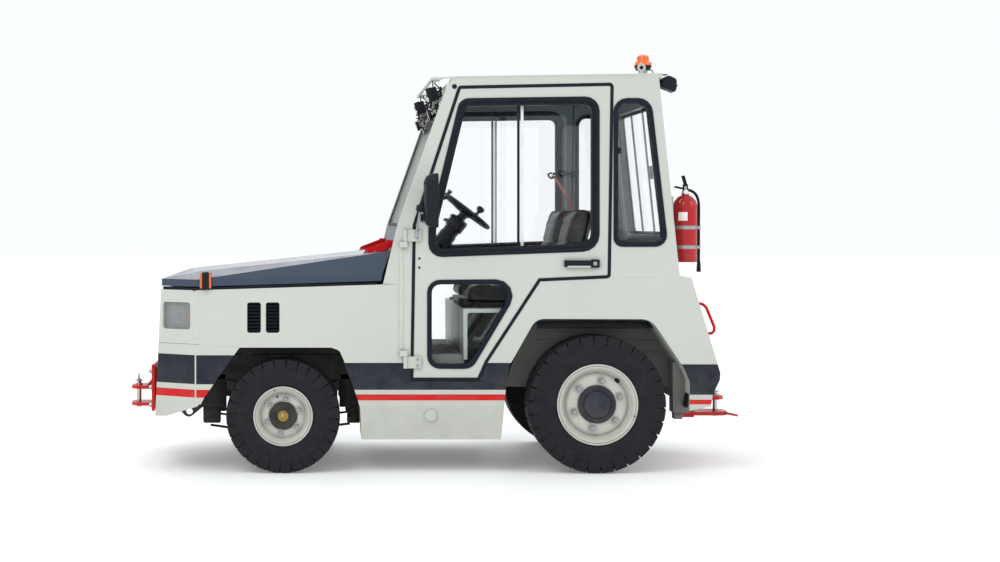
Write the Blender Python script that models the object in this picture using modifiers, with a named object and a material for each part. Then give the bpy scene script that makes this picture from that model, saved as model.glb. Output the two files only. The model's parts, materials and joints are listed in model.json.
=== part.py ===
"""Airport baggage tug: a towing tractor with a closed two-seat cab.

Frame: +X forward, +Y to the driver's left, +Z up, metres.  The origin is on the ground under
the middle of the vehicle's length and width.  Each sub-part is one named object in the
collection "baggage_tug"; the shapes that cut or join them are in the collection "cutters".
"""

import math

import bmesh
import bpy
from mathutils import Matrix
from mathutils import Vector

# ---------------------------------------------------------------- driving dimensions
SEAM = 0.0003             # between two faces that touch
SHUT_GAP = 0.006          # round a door or the bonnet

BODY_WIDTH = 1.45
HALF_WIDTH = BODY_WIDTH / 2
ROOF_Z = 2.042            # top of the roof, at its rear edge
WHEELBASE = 1.604

FRONT_AXLE_X = 0.8125
REAR_AXLE_X = FRONT_AXLE_X - WHEELBASE

FRONT_TYRE_RADIUS = 0.292
FRONT_TYRE_WIDTH = 0.172
FRONT_RIM_RADIUS = 0.1546
FRONT_TYRE_INSET = 0.022  # outer sidewall in from the body's side
REAR_TYRE_RADIUS = 0.352
REAR_TYRE_WIDTH = 0.225
REAR_RIM_RADIUS = 0.2095
REAR_TYRE_INSET = 0.010

SKIN = 0.030              # body panels
CAB_WALL = 0.050          # cab posts and rails
DOOR_WALL = 0.042
WINDOW_UNIT = 0.022       # glass with its frame
GLASS = 0.008

# Heights of the body's lines
SKIRT_BOTTOM_Z = 0.173
CREASE_Z = 0.351
STEP_Z = 0.4705
DOOR_BOTTOM_Z = 0.4806
SILL_TOP_Z = 0.567
FLOOR_Z = 0.600
NOSE_SPLIT_Z = 0.660
SIDE_SPLIT_Z = 0.650
SEAT_DECK_Z = 0.840
PANEL_TOP_Z = 0.936
BELT_Z = 1.002
COWL_TOP_Z = 1.262

# Stations along the body
NOSE_X = FRONT_AXLE_X + 0.6325
NOSE_CHAMFER_X = FRONT_AXLE_X + 0.4365
NOSE_CHAMFER_Y = 0.150
NOSE_SEAM_X = NOSE_CHAMFER_X - 0.010
NOSE_LEAN = 0.047         # the nose runs forward this much for each metre down
COWL_X = 0.303            # firewall, at the bonnet's rear lower corner
POST_X = 0.227            # front of the door post
DOOR_FRONT_X = 0.1545
DOOR_REAR_X = REAR_AXLE_X - 0.0595
CAB_REAR_X = REAR_AXLE_X - 0.4160
TAIL_TOP_X = REAR_AXLE_X - 0.4715
TAIL_X = REAR_AXLE_X - 0.6220

# Frame and running gear
RAIL_OUT_Y = 0.310
RAIL_IN_Y = 0.240
RAIL_BOTTOM_Z = 0.450
FLOOR_SHEET = 0.020
RAIL_TOP_Z = FLOOR_Z - FLOOR_SHEET - SEAM
KINGPIN_Y = 0.500
KINGPIN_RADIUS = 0.015
PIN_PLAY = 0.0005
STEER_ARM = 0.130

FRAME_REAR_X = TAIL_X + 0.100
TAIL_PLATE = 0.012

FRONT_WHEEL_Y = HALF_WIDTH - FRONT_TYRE_INSET - FRONT_TYRE_WIDTH / 2
REAR_WHEEL_Y = HALF_WIDTH - REAR_TYRE_INSET - REAR_TYRE_WIDTH / 2
TYRE_BEAD = 0.018         # the tyre reaches this far inside the rim's edge
SPINDLE_RADIUS = 0.020
SPINDLE_PLAY = 0.0005
STUB_RADIUS = 0.045
WHEEL_STEPS = 32          # sides of a turned wheel
SPRING_Y = (RAIL_IN_Y + RAIL_OUT_Y) / 2
BEAM_HALF = 0.030
BEAM_TOP_Z = FRONT_TYRE_RADIUS + BEAM_HALF
BEAM_BOTTOM_Z = FRONT_TYRE_RADIUS - BEAM_HALF
YOKE = 0.020
YOKE_GAP = 0.003
ARM_TOP_Z = BEAM_BOTTOM_Z - YOKE_GAP
ARM_BOTTOM_Z = ARM_TOP_Z - YOKE
STUD_RADIUS = 0.008
TIE_ROD_RADIUS = 0.013
TIE_ROD_EYE = 0.016       # half the eye's height
TIE_ROD_Z = ARM_BOTTOM_Z - YOKE_GAP - TIE_ROD_EYE

# Nose and bonnet
HEADLAMP_LENGTH = 0.186
HEADLAMP_HEIGHT = 0.138
HEADLAMP_Z = 0.804
HEADLAMP_DEPTH = 0.050
HEADLAMP_SHARE = 0.55     # how far along the chamfered corner its middle is
POCKET_WALL = 0.012
LOUVRE_BOTTOM_Z = 0.720
LOUVRE_TOP_Z = 0.875
LOUVRE_WIDTH = 0.070
LOUVRES_X = (FRONT_AXLE_X + 0.147, FRONT_AXLE_X + 0.052)
BONNET_HINGE_X = 0.268
BONNET_HINGE_Z = 1.172
BONNET_SHEET = 0.018
BONNET_CREASE_IN = 0.125
BONNET_LIP_REAR_Z = 0.985
BONNET_LIP_FRONT_Z = 0.955
BONNET_LIP_HEIGHT = 0.036
BONNET_CREASE_SLOPE = 0.1055
BONNET_CREASE_REAR_Z = 1.1345

# Lower body
SKIRT_LEAN = 0.040
STEP_WELL_Y = HALF_WIDTH - 0.165
WHEEL_BOX_WALL = 0.018
WHEEL_BOX_Y = 0.430
TAIL_KNEE_Z = 0.516       # where the sloped tail turns under
TAIL_EDGE_Z = 0.4806
TAIL_FOOT_Z = 0.404
TAIL_FOOT_X = TAIL_X + 0.038

# Cab
CAB_REACH = HALF_WIDTH - CAB_WALL - SEAM
WINDSCREEN_RAKE = 0.3542  # backward run for each metre up
DOOR_RAKE = 0.3285        # the same, at the door's sloped front edge
REAR_WALL_LEAN = 0.1046   # forward run for each metre up
REAR_WALL = 0.035
ROOF_FRONT_UNDER_Z = ROOF_Z - 0.035
ROOF_UNDER_Z = ROOF_Z - 0.024
ROOF_CROWN_FALL = 0.0152  # from the roof's rear edge to its front bend
ROOF_BEND = 0.030         # length of the front bend
WINDOW_TOP_Z = ROOF_Z - 0.137
HEADER_BOTTOM_Z = ROOF_Z - 0.187
HEADER_FRONT = 0.004      # the header's faces, behind the windscreen's plane
HEADER_BACK = 0.044
SCREEN_INSET = 0.010
QUARTER_FOOT_Z = 1.1672
FLOOR_REAR_X = CAB_REAR_X + REAR_WALL + 0.002
SEAT_BOX_X = -0.110
DASH_X = 0.120
DASH_TOP_Z = 1.170

# Doors
DOOR_HINGE_X = 0.190
DOOR_HINGE_OUT = 0.012
DOOR_HINGES_Z = (1.215, 0.570)
HINGE_HALF = 0.030        # half the height of a hinge strap
HINGE_STRAP_GAP = 0.003   # between the strap and the door's face
HINGE_PIN_RADIUS = 0.005

# Seats
SEAT_Y = 0.330
SEAT_WIDTH = 0.470
CUSHION_TOP_Z = 0.935
SEAT_BACK_TOP_Z = 1.375

# Hitches and fittings
HITCH_PIN_RADIUS = 0.0135
HITCH_PIN_PLAY = 0.0015
EXTINGUISHER_RADIUS = 0.0634
EXTINGUISHER = (REAR_AXLE_X - 0.4755, HALF_WIDTH - 0.165, 1.077)
HOSE_RADIUS = 0.0080
BEACON = (REAR_AXLE_X - 0.2765, HALF_WIDTH - 0.275)
LAMP_Y = HALF_WIDTH - 0.171
LAMP_SIZE = (0.060, 0.110, 0.080)
LAMP_LEAN = 17.0

# Steering wheel
WHEEL_HUB = (-0.153, 0.330, 1.342)
WHEEL_TILT = 38.0         # the column's lean from upright, in degrees
WHEEL_RIM_RADIUS = 0.142

# ---------------------------------------------------------------- finishes: colour, roughness, metallic
FINISHES = {
    "white_paint": ("D3D5CF", 0.35, 0.0),
    "slate_paint": ("3A4250", 0.35, 0.0),
    "red_paint": ("C8161E", 0.35, 0.0),
    "black_paint": ("1E2126", 0.5, 0.0),
    "grey_paint": ("5E656C", 0.5, 0.0),
    "tyre_rubber": ("24252A", 0.8, 0.0),
    "rubber": ("1C1E22", 0.7, 0.0),
    "plastic": ("202226", 0.5, 0.0),
    "glass": ("DCE6E6", 0.05, 0.0),
    "steel": ("B8BABC", 0.35, 1.0),
    "amber": ("F0782A", 0.25, 0.0),
    "seat_cover": ("3A3C40", 0.8, 0.0),
    "cast_iron": ("3C3E42", 0.6, 0.8),
}

for old in list(bpy.data.objects):
    bpy.data.objects.remove(old, do_unlink=True)

parts = bpy.data.collections.new("baggage_tug")
cutters = bpy.data.collections.new("cutters")
bpy.context.scene.collection.children.link(parts)
bpy.context.scene.collection.children.link(cutters)


# ---------------------------------------------------------------- tools
def linear(pair):
    value = int(pair, 16) / 255
    return value / 12.92 if value <= 0.04045 else ((value + 0.055) / 1.055) ** 2.4


def finish(obj, name):
    """Give an object its own Principled material in one of the named finishes."""
    code, roughness, metallic = FINISHES[name]
    colour = [linear(code[i:i + 2]) for i in (0, 2, 4)] + [1.0]
    material = bpy.data.materials.new(obj.name + "_" + name)
    material.use_nodes = True
    shader = material.node_tree.nodes["Principled BSDF"]
    shader.inputs["Base Color"].default_value = colour
    shader.inputs["Roughness"].default_value = roughness
    shader.inputs["Metallic"].default_value = metallic
    obj.data.materials.clear()
    obj.data.materials.append(material)


def add_object(name, data):
    """A new object: a part if it has a finish later, and until then a cutter."""
    obj = bpy.data.objects.new(name, data)
    cutters.objects.link(obj)
    obj.hide_render = True
    obj.display_type = "WIRE"
    return obj


def as_part(obj, name, finish_name, parent=None):
    """Move a finished shape to the parts collection, under its sub-part's name."""
    obj.name = name
    cutters.objects.unlink(obj)
    parts.objects.link(obj)
    obj.hide_render = False
    obj.display_type = "TEXTURED"
    finish(obj, finish_name)
    if parent:
        world = Matrix.LocRotScale(obj.location, obj.rotation_euler, obj.scale)
        obj.parent = parent
        obj.matrix_parent_inverse.identity()
        obj.matrix_basis = pivot_frames[parent.name].inverted() @ world
    return obj


pivot_frames = {}


def pivot(name, place, parent=None):
    """An empty on a joint's axis, which carries the moving pieces."""
    empty = bpy.data.objects.new(name, None)
    parts.objects.link(empty)
    frame = Matrix.Translation(place)
    pivot_frames[name] = frame
    if parent:
        empty.parent = parent
        frame = pivot_frames[parent.name].inverted() @ frame
    empty.matrix_basis = frame
    return empty


def rounded(corners, steps=4):
    """Turn corners (a, b) or (a, b, radius) into a closed outline with arcs at the corners."""
    outline = []
    count = len(corners)
    for index, corner in enumerate(corners):
        here = Vector(corner[:2])
        radius = corner[2] if len(corner) > 2 else 0.0
        if radius <= 0.0:
            outline.append(tuple(here))
            continue
        back = (Vector(corners[index - 1][:2]) - here).normalized()
        ahead = (Vector(corners[(index + 1) % count][:2]) - here).normalized()
        half = back.angle(ahead) / 2
        reach = radius / math.tan(half)
        centre = here + (back + ahead).normalized() * radius / math.sin(half)
        start = here + back * reach - centre
        sweep = start.angle_signed(here + ahead * reach - centre)
        for step in range(steps + 1):
            turn = -sweep * step / steps
            spoke = Matrix.Rotation(turn, 2) @ start
            outline.append(tuple(centre + spoke))
    return outline


def inset(corners, distance):
    """Move every side of an outline inwards by a distance; the corners keep their radii."""
    area = sum(a[0] * b[1] - b[0] * a[1] for a, b in zip(corners, corners[1:] + corners[:1]))
    inward = distance if area > 0 else -distance
    result = []
    count = len(corners)
    for index, corner in enumerate(corners):
        before = Vector(corners[index - 1][:2])
        here = Vector(corner[:2])
        after = Vector(corners[(index + 1) % count][:2])
        first = (here - before).normalized()
        second = (after - here).normalized()
        first_in = Vector((-first.y, first.x)) * inward
        second_in = Vector((-second.y, second.x)) * inward
        cross = first.x * second.y - first.y * second.x
        if abs(cross) < 1e-6:
            moved = here + first_in
        else:
            gap = second_in - first_in
            along = (gap.x * second.y - gap.y * second.x) / cross
            moved = here + first_in + first * along
        result.append((moved.x, moved.y, *corner[2:]))
    return result


def outline_solid(name, outlines, thickness):
    """A flat outline, with any further outlines as holes in it, as a solid sheet."""
    curve = bpy.data.curves.new(name, "CURVE")
    curve.dimensions = "2D"
    curve.fill_mode = "BOTH"
    curve.extrude = thickness / 2
    for outline in outlines:
        spline = curve.splines.new("POLY")
        spline.points.add(len(outline) - 1)
        spline.use_cyclic_u = True
        for point, (a, b) in zip(spline.points, outline):
            point.co = (a, b, 0.0, 1.0)
    return curve_to_solid(name, curve)


def curve_to_solid(name, curve):
    guide = bpy.data.objects.new(name + "_curve", curve)
    cutters.objects.link(guide)
    bpy.context.view_layer.update()
    graph = bpy.context.evaluated_depsgraph_get()
    mesh = bpy.data.meshes.new_from_object(guide.evaluated_get(graph))
    bpy.data.objects.remove(guide)
    shape = bmesh.new()
    shape.from_mesh(mesh)
    bmesh.ops.remove_doubles(shape, verts=shape.verts, dist=0.00002)
    bmesh.ops.dissolve_limit(shape, angle_limit=0.001, verts=shape.verts, edges=shape.edges)
    bmesh.ops.recalc_face_normals(shape, faces=shape.faces)
    shape.to_mesh(mesh)
    shape.free()
    return add_object(name, mesh)


def side_plate(name, corners, y_low, y_high, holes=()):
    """An outline seen from the side, (x, z), as thick as from y_low to y_high."""
    outlines = [rounded(corners)] + [rounded(hole) for hole in holes]
    obj = outline_solid(name, outlines, y_high - y_low)
    obj.rotation_euler = (math.pi / 2, 0, 0)
    obj.location = (0, (y_low + y_high) / 2, 0)
    return obj


def plan_plate(name, corners, z_low, z_high, holes=()):
    """An outline seen from above, (x, y), as thick as from z_low to z_high."""
    outlines = [rounded(corners)] + [rounded(hole) for hole in holes]
    obj = outline_solid(name, outlines, z_high - z_low)
    obj.location = (0, 0, (z_low + z_high) / 2)
    return obj


def cross_plate(name, corners, x_low, x_high, holes=()):
    """An outline seen from the front, (y, z), as thick as from x_low to x_high."""
    outlines = [rounded(corners)] + [rounded(hole) for hole in holes]
    obj = outline_solid(name, outlines, x_high - x_low)
    obj.rotation_euler = (math.pi / 2, 0, math.pi / 2)
    obj.location = ((x_low + x_high) / 2, 0, 0)
    return obj


def box(name, low, high):
    shape = bmesh.new()
    bmesh.ops.create_cube(shape, size=1.0)
    size = [b - a for a, b in zip(low, high)]
    bmesh.ops.scale(shape, vec=size, verts=shape.verts)
    mesh = bpy.data.meshes.new(name)
    shape.to_mesh(mesh)
    shape.free()
    obj = add_object(name, mesh)
    obj.location = [(a + b) / 2 for a, b in zip(low, high)]
    return obj


def rod(name, start, end, radius, end_radius=None, sides=20):
    """A round bar or cone between two points."""
    start = Vector(start)
    run = Vector(end) - start
    shape = bmesh.new()
    tip = radius if end_radius is None else end_radius
    bmesh.ops.create_cone(
        shape, cap_ends=True, segments=sides, radius1=radius, radius2=tip, depth=run.length
    )
    mesh = bpy.data.meshes.new(name)
    shape.to_mesh(mesh)
    shape.free()
    obj = add_object(name, mesh)
    obj.location = start + run / 2
    obj.rotation_euler = run.to_track_quat("Z", "Y").to_euler()
    return obj


def tube(name, points, radius, resolution=2):
    """A bent round bar through the given points."""
    curve = bpy.data.curves.new(name, "CURVE")
    curve.dimensions = "3D"
    curve.bevel_depth = radius
    curve.bevel_resolution = resolution
    curve.use_fill_caps = True
    spline = curve.splines.new("POLY")
    spline.points.add(len(points) - 1)
    for point, place in zip(spline.points, points):
        point.co = (*place, 1.0)
    return curve_to_solid(name, curve)


def turned(name, profile, steps=32, ring=False):
    """A profile (radius, height) turned about Z; it runs down its outer side."""
    mesh = bpy.data.meshes.new(name)
    edges = [(i, i + 1) for i in range(len(profile) - 1)]
    if ring:
        edges.append((len(profile) - 1, 0))
    mesh.from_pydata([(radius, 0, height) for radius, height in profile], edges, [])
    obj = add_object(name, mesh)
    screw = obj.modifiers.new("turn", "SCREW")
    screw.steps = steps
    screw.render_steps = steps
    screw.use_merge_vertices = True
    screw.merge_threshold = 0.0001
    screw.use_smooth_shade = True
    return obj


def combine(obj, tool, operation):
    step = obj.modifiers.new(operation.lower(), "BOOLEAN")
    step.operation = operation
    step.object = tool
    step.solver = "EXACT"
    return obj


def join(obj, *others):
    for other in others:
        combine(obj, other, "UNION")
    return obj


def cut(obj, *others):
    for other in others:
        combine(obj, other, "DIFFERENCE")
    return obj


def soften(obj, width, segments=2, angle=40):
    step = obj.modifiers.new("edges", "BEVEL")
    step.width = width
    step.segments = segments
    step.limit_method = "ANGLE"
    step.angle_limit = math.radians(angle)
    step.use_clamp_overlap = True
    return obj


def mirrored(points):
    """The same outline on the other side of the middle: (y, z) or (x, y, z) with y reversed."""
    return [(-p[0], *p[1:]) for p in points]


def both_sides():
    return (("left", 1), ("right", -1))


def span(side, near, far):
    """The two y values, lowest first, of a piece from near to far out on one side."""
    return sorted((side * near, side * far))


# ---------------------------------------------------------------- running gear
def chassis_frame():
    """Two deep rails with cross members, the front plate, tie-down eyes and hitch mounts."""
    front = NOSE_X - 0.06
    rear = FRAME_REAR_X
    rails = None
    for side in (1, -1):
        low, high = span(side, RAIL_IN_Y, RAIL_OUT_Y)
        rail = box("rail", (rear, low, RAIL_BOTTOM_Z), (front, high, RAIL_TOP_Z))
        rails = rail if rails is None else join(rails, rail)
    inner = RAIL_IN_Y + 0.01
    stations = (front - 0.05, COWL_X, REAR_AXLE_X + 0.30, REAR_AXLE_X - 0.25)
    for x in stations:
        member = box("member", (x - 0.03, -inner, RAIL_BOTTOM_Z + 0.01),
                     (x + 0.03, inner, RAIL_TOP_Z - 0.01))
        join(rails, member)
    join(rails, box("head_plate", (front - 0.01, -0.42, 0.36), (front + 0.012, 0.42, RAIL_TOP_Z)))
    join(rails, box("tail_plate", (rear - TAIL_PLATE, -0.42, 0.33), (rear + 0.02, 0.42, RAIL_TOP_Z)))
    for side in (1, -1):
        low, high = span(side, 0.262, 0.278)
        eye = side_plate(
            "eye",
            [(front - 0.15, 0.47), (front - 0.14, 0.30, 0.02), (front - 0.06, 0.235, 0.03),
             (front + 0.005, 0.30, 0.02),
             (front + 0.005, 0.47)],
            low, high, holes=[round_hole(front - 0.065, 0.275, 0.018)],
        )
        join(rails, eye)
    return as_part(rails, "chassis_frame", "black_paint")


def round_hole(a, b, radius, steps=12):
    turns = [2 * math.pi * i / steps for i in range(steps)]
    return [(a + radius * math.cos(t), b + radius * math.sin(t)) for t in turns]


def engine_block():
    width = RAIL_IN_Y - 0.02
    low = (COWL_X + 0.09, -width, RAIL_BOTTOM_Z + 0.02)
    high = (FRONT_AXLE_X + 0.30, width, 0.90)
    block = box("engine", low, high)
    lug_top = RAIL_TOP_Z + 0.05
    for x in (COWL_X + 0.15, FRONT_AXLE_X + 0.20):
        lug = box("lug", (x - 0.03, -RAIL_OUT_Y, RAIL_TOP_Z + SEAM), (x + 0.03, RAIL_OUT_Y, lug_top))
        join(block, lug)
    return as_part(block, "engine_block", "cast_iron")


def front_axle():
    """Beam axle with bored kingpin bosses and two leaf springs that reach up to the rails."""
    reach = KINGPIN_Y - 0.02
    beam = box("beam", (FRONT_AXLE_X - 0.04, -reach, BEAM_BOTTOM_Z), (FRONT_AXLE_X + 0.04, reach,
                                                                      BEAM_TOP_Z))
    for side in (1, -1):
        y = side * KINGPIN_Y
        join(beam, rod("boss", (FRONT_AXLE_X, y, BEAM_BOTTOM_Z), (FRONT_AXLE_X, y, BEAM_TOP_Z), 0.036))
    half = 0.36
    top = RAIL_BOTTOM_Z - SEAM
    for side in (1, -1):
        low, high = span(side, SPRING_Y - 0.030, SPRING_Y + 0.030)
        spring = side_plate(
            "spring",
            [(FRONT_AXLE_X - half, top), (FRONT_AXLE_X - half, top - 0.035), (FRONT_AXLE_X - 0.06,
                                                                              BEAM_TOP_Z - 0.01),
             (FRONT_AXLE_X + 0.06, BEAM_TOP_Z - 0.01), (FRONT_AXLE_X + half, top - 0.035),
             (FRONT_AXLE_X + half, top),
             (FRONT_AXLE_X + half - 0.05, top), (FRONT_AXLE_X + 0.06, BEAM_TOP_Z + 0.045),
             (FRONT_AXLE_X - 0.06, BEAM_TOP_Z + 0.045), (FRONT_AXLE_X - half + 0.05, top)],
            low, high,
        )
        join(beam, spring)
    for side in (1, -1):
        y = side * KINGPIN_Y
        bore = rod("bore", (FRONT_AXLE_X, y, BEAM_BOTTOM_Z - 0.01), (FRONT_AXLE_X, y, BEAM_TOP_Z + 0.01),
                   KINGPIN_RADIUS + PIN_PLAY)
        cut(beam, bore)
    return as_part(beam, "front_axle", "black_paint")


def steering_knuckle(name, side, parent):
    """Yoke round the axle end, kingpin, wheel spindle and steering arm with its ball stud."""
    y = side * KINGPIN_Y
    top = BEAM_TOP_Z + YOKE_GAP
    low, high = span(side, KINGPIN_Y + 0.042, KINGPIN_Y + 0.060)
    knuckle = box("web", (FRONT_AXLE_X - 0.035, low, ARM_BOTTOM_Z), (FRONT_AXLE_X + 0.035, high,
                                                                     top + YOKE))
    low, high = span(side, KINGPIN_Y - 0.030, KINGPIN_Y + 0.045)
    for z in (ARM_BOTTOM_Z, top):
        join(knuckle, box("lug", (FRONT_AXLE_X - 0.030, low, z), (FRONT_AXLE_X + 0.030, high, z + YOKE)))
    join(knuckle, rod("kingpin", (FRONT_AXLE_X, y, ARM_BOTTOM_Z + 0.005), (FRONT_AXLE_X, y, top + 0.015),
                      KINGPIN_RADIUS, sides=16))
    spindle_end = side * (FRONT_WHEEL_Y + 0.010)
    join(knuckle, rod("spindle", (FRONT_AXLE_X, side * (KINGPIN_Y + 0.05), FRONT_TYRE_RADIUS),
                      (FRONT_AXLE_X, spindle_end, FRONT_TYRE_RADIUS), SPINDLE_RADIUS))
    low, high = span(side, KINGPIN_Y - 0.014, KINGPIN_Y + 0.014)
    join(knuckle, box("arm", (FRONT_AXLE_X - STEER_ARM - 0.016, low, ARM_BOTTOM_Z),
                      (FRONT_AXLE_X - 0.02, high, ARM_TOP_Z)))
    stud_x = FRONT_AXLE_X - STEER_ARM
    join(knuckle, rod("stud", (stud_x, y, TIE_ROD_Z - 0.014), (stud_x, y, ARM_BOTTOM_Z + 0.005),
                      STUD_RADIUS,
                      sides=16))
    return as_part(knuckle, name, "black_paint", parent)


def tie_rod(parent):
    """Cross rod with an eye round each knuckle's ball stud."""
    x = FRONT_AXLE_X - STEER_ARM
    reach = KINGPIN_Y - 0.01
    bar = rod("bar", (x, -reach, TIE_ROD_Z), (x, reach, TIE_ROD_Z), TIE_ROD_RADIUS, sides=16)
    for side in (1, -1):
        y = side * KINGPIN_Y
        join(bar, rod("eye", (x, y, TIE_ROD_Z - TIE_ROD_EYE), (x, y, TIE_ROD_Z + TIE_ROD_EYE), 0.020,
                      sides=16))
    for side in (1, -1):
        y = side * KINGPIN_Y
        cut(bar, rod("eye_bore", (x, y, TIE_ROD_Z - 0.03), (x, y, TIE_ROD_Z + 0.03), STUD_RADIUS + PIN_PLAY,
                     sides=16))
    return as_part(bar, "tie_rod", "black_paint", parent)


def rear_axle():
    """Turned housing with the differential's bulge, drum plates, stub ends and frame pads."""
    inner = REAR_WHEEL_Y - REAR_TYRE_WIDTH / 2
    stub = REAR_WHEEL_Y + 0.04
    half = [
        (0.0, stub), (STUB_RADIUS, stub), (STUB_RADIUS, inner - 0.03), (0.15, inner - 0.03),
        (0.15, inner - 0.07),
        (0.065, inner - 0.08), (0.065, 0.17), (0.13, 0.11),
    ]
    profile = half + [(0.155, 0.04), (0.155, -0.04)] + [(r, -z) for r, z in reversed(half)]
    housing = turned("housing", profile, steps=24)
    housing.rotation_euler = (-math.pi / 2, 0, 0)
    housing.location = (REAR_AXLE_X, 0, REAR_TYRE_RADIUS)
    pad = box("pads", (REAR_AXLE_X - 0.06, -RAIL_OUT_Y, REAR_TYRE_RADIUS),
              (REAR_AXLE_X + 0.06, RAIL_OUT_Y, RAIL_BOTTOM_Z - SEAM))
    join(housing, pad)
    return as_part(housing, "rear_axle", "black_paint")


def tyre(name, radius, width, rim_radius, place, side, parent):
    """Flat tread with shoulders, bulged sidewalls and a bore that sits on the rim."""
    half = width / 2
    bore = rim_radius - TYRE_BEAD
    profile = [
        (radius, half - 0.020), (radius, -half + 0.020), (radius - 0.016, -half + 0.004),
        (radius - 0.055, -half), (bore + 0.030, -half + 0.008), (bore, -half + 0.022),
        (bore, half - 0.022), (bore + 0.030, half - 0.008), (radius - 0.055, half),
        (radius - 0.016, half - 0.004),
    ]
    obj = turned(name, profile, steps=WHEEL_STEPS, ring=True)
    obj.rotation_euler = (-side * math.pi / 2, 0, 0)
    obj.location = place
    return as_part(obj, name, "tyre_rubber", parent)


def front_rim(name, place, side, parent):
    """Pressed disc wheel with its hub, which runs on the spindle."""
    half = FRONT_TYRE_WIDTH / 2
    seat = FRONT_RIM_RADIUS - TYRE_BEAD - SEAM
    bore = SPINDLE_RADIUS + SPINDLE_PLAY
    profile = [
        (0.0, half - 0.012), (0.034, half - 0.012), (0.036, half - 0.060), (0.085, half - 0.060),
        (0.118, half - 0.045), (0.130, half - 0.012), (0.132, half - 0.006), (seat, half - 0.006),
        (seat, -half + 0.006), (seat - 0.012, -half + 0.006), (seat - 0.014, half - 0.075),
        (0.060, half - 0.085), (0.040, half - 0.110), (bore, half - 0.110), (bore, half - 0.050),
        (0.0, half - 0.050),
    ]
    obj = turned(name, profile, steps=WHEEL_STEPS)
    obj.rotation_euler = (-side * math.pi / 2, 0, 0)
    obj.location = place
    return as_part(obj, name, "white_paint", parent)


def rear_rim(name, place, side, parent):
    half = REAR_TYRE_WIDTH / 2
    seat = REAR_RIM_RADIUS - TYRE_BEAD - SEAM
    bore = STUB_RADIUS + SPINDLE_PLAY
    profile = [
        (0.0, half - 0.008), (0.066, half - 0.008), (0.068, half - 0.020), (0.098, half - 0.022),
        (0.100, half - 0.050), (0.150, half - 0.055), (0.172, half - 0.030), (0.182, half - 0.004),
        (seat, half - 0.004), (seat, -half + 0.006), (seat - 0.014, -half + 0.006),
        (seat - 0.016, half - 0.080),
        (0.100, half - 0.085), (bore, half - 0.085), (bore, half - 0.040), (0.0, half - 0.040),
    ]
    obj = turned(name, profile, steps=WHEEL_STEPS)
    obj.rotation_euler = (-side * math.pi / 2, 0, 0)
    obj.location = place
    return as_part(obj, name, "white_paint", parent)


# ---------------------------------------------------------------- nose, bonnet and lower body
FRONT_ARCH_TOP_Z = 0.645
FRONT_ARCH = [
    (FRONT_AXLE_X + 0.4265, 0.34), (FRONT_AXLE_X + 0.4035, 0.385), (FRONT_AXLE_X + 0.2635, 0.587),
    (FRONT_AXLE_X + 0.2205, FRONT_ARCH_TOP_Z), (FRONT_AXLE_X - 0.2205, FRONT_ARCH_TOP_Z, 0.05),
    (FRONT_AXLE_X - 0.311, 0.567, 0.03), (FRONT_AXLE_X - 0.362, 0.435), (FRONT_AXLE_X - 0.3925, 0.34),
    (FRONT_AXLE_X - 0.4065, 0.10), (FRONT_AXLE_X + 0.4265, 0.10),
]


def arch_cutter(corners):
    return side_plate("arch", corners, -HALF_WIDTH - 0.05, HALF_WIDTH + 0.05)


def nose_x(z):
    return NOSE_X + NOSE_LEAN * (PANEL_TOP_Z - z)


def nose_band(name, rear_x, z_low, z_high):
    """A wrap-round panel: the two sides, chamfered corners and the leaning front."""
    corner_y = HALF_WIDTH - NOSE_CHAMFER_Y
    shape = bmesh.new()
    rows = []
    for z in (z_low, z_high):
        front = nose_x(z)
        plan = [
            (rear_x, HALF_WIDTH), (NOSE_CHAMFER_X, HALF_WIDTH), (front, corner_y), (front, -corner_y),
            (NOSE_CHAMFER_X, -HALF_WIDTH), (rear_x, -HALF_WIDTH),
        ]
        rows.append([shape.verts.new((x, y, z)) for x, y in plan])
    for i in range(len(rows[0]) - 1):
        shape.faces.new((rows[0][i + 1], rows[0][i], rows[1][i], rows[1][i + 1]))
    mesh = bpy.data.meshes.new(name)
    shape.to_mesh(mesh)
    shape.free()
    obj = add_object(name, mesh)
    shell = obj.modifiers.new("wall", "SOLIDIFY")
    shell.thickness = SKIN
    shell.offset = -1.0
    shell.use_even_offset = True
    return obj


def headlamp_block(name, side, grow, front, back):
    """A rounded block square to the chamfered corner, from front to back of its outer face."""
    start = Vector((NOSE_CHAMFER_X, HALF_WIDTH, HEADLAMP_Z))
    end = Vector((nose_x(HEADLAMP_Z), HALF_WIDTH - NOSE_CHAMFER_Y, HEADLAMP_Z))
    run = (end - start).normalized()
    out = Vector((-run.y, run.x, 0))
    half_l = HEADLAMP_LENGTH / 2 + grow
    half_h = HEADLAMP_HEIGHT / 2 + grow
    corners = [(-half_l, -half_h, 0.016), (half_l, -half_h, 0.016), (half_l, half_h, 0.016),
               (-half_l, half_h, 0.016)]
    obj = outline_solid(name, [rounded(corners, 3)], front + back)
    middle = start + (end - start) * HEADLAMP_SHARE + out * (front - back) / 2
    for vector in (middle, run, out):
        vector.y *= side
    frame = Matrix((run * side, Vector((0, 0, 1)), out)).transposed()
    obj.location = middle
    obj.rotation_euler = frame.to_euler()
    return obj


def nose_panel():
    """Wrap-round nose with a closed pocket for each headlamp."""
    nose = nose_band("nose", NOSE_SEAM_X, NOSE_SPLIT_Z + 0.0018, PANEL_TOP_Z)
    for side in (1, -1):
        join(nose, headlamp_block("pocket", side, POCKET_WALL, -SKIN / 2, HEADLAMP_DEPTH + POCKET_WALL))
        cut(nose, headlamp_block("pocket_hollow", side, 0.0, 0.030, HEADLAMP_DEPTH))
    return as_part(nose, "nose_panel", "white_paint")


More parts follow.
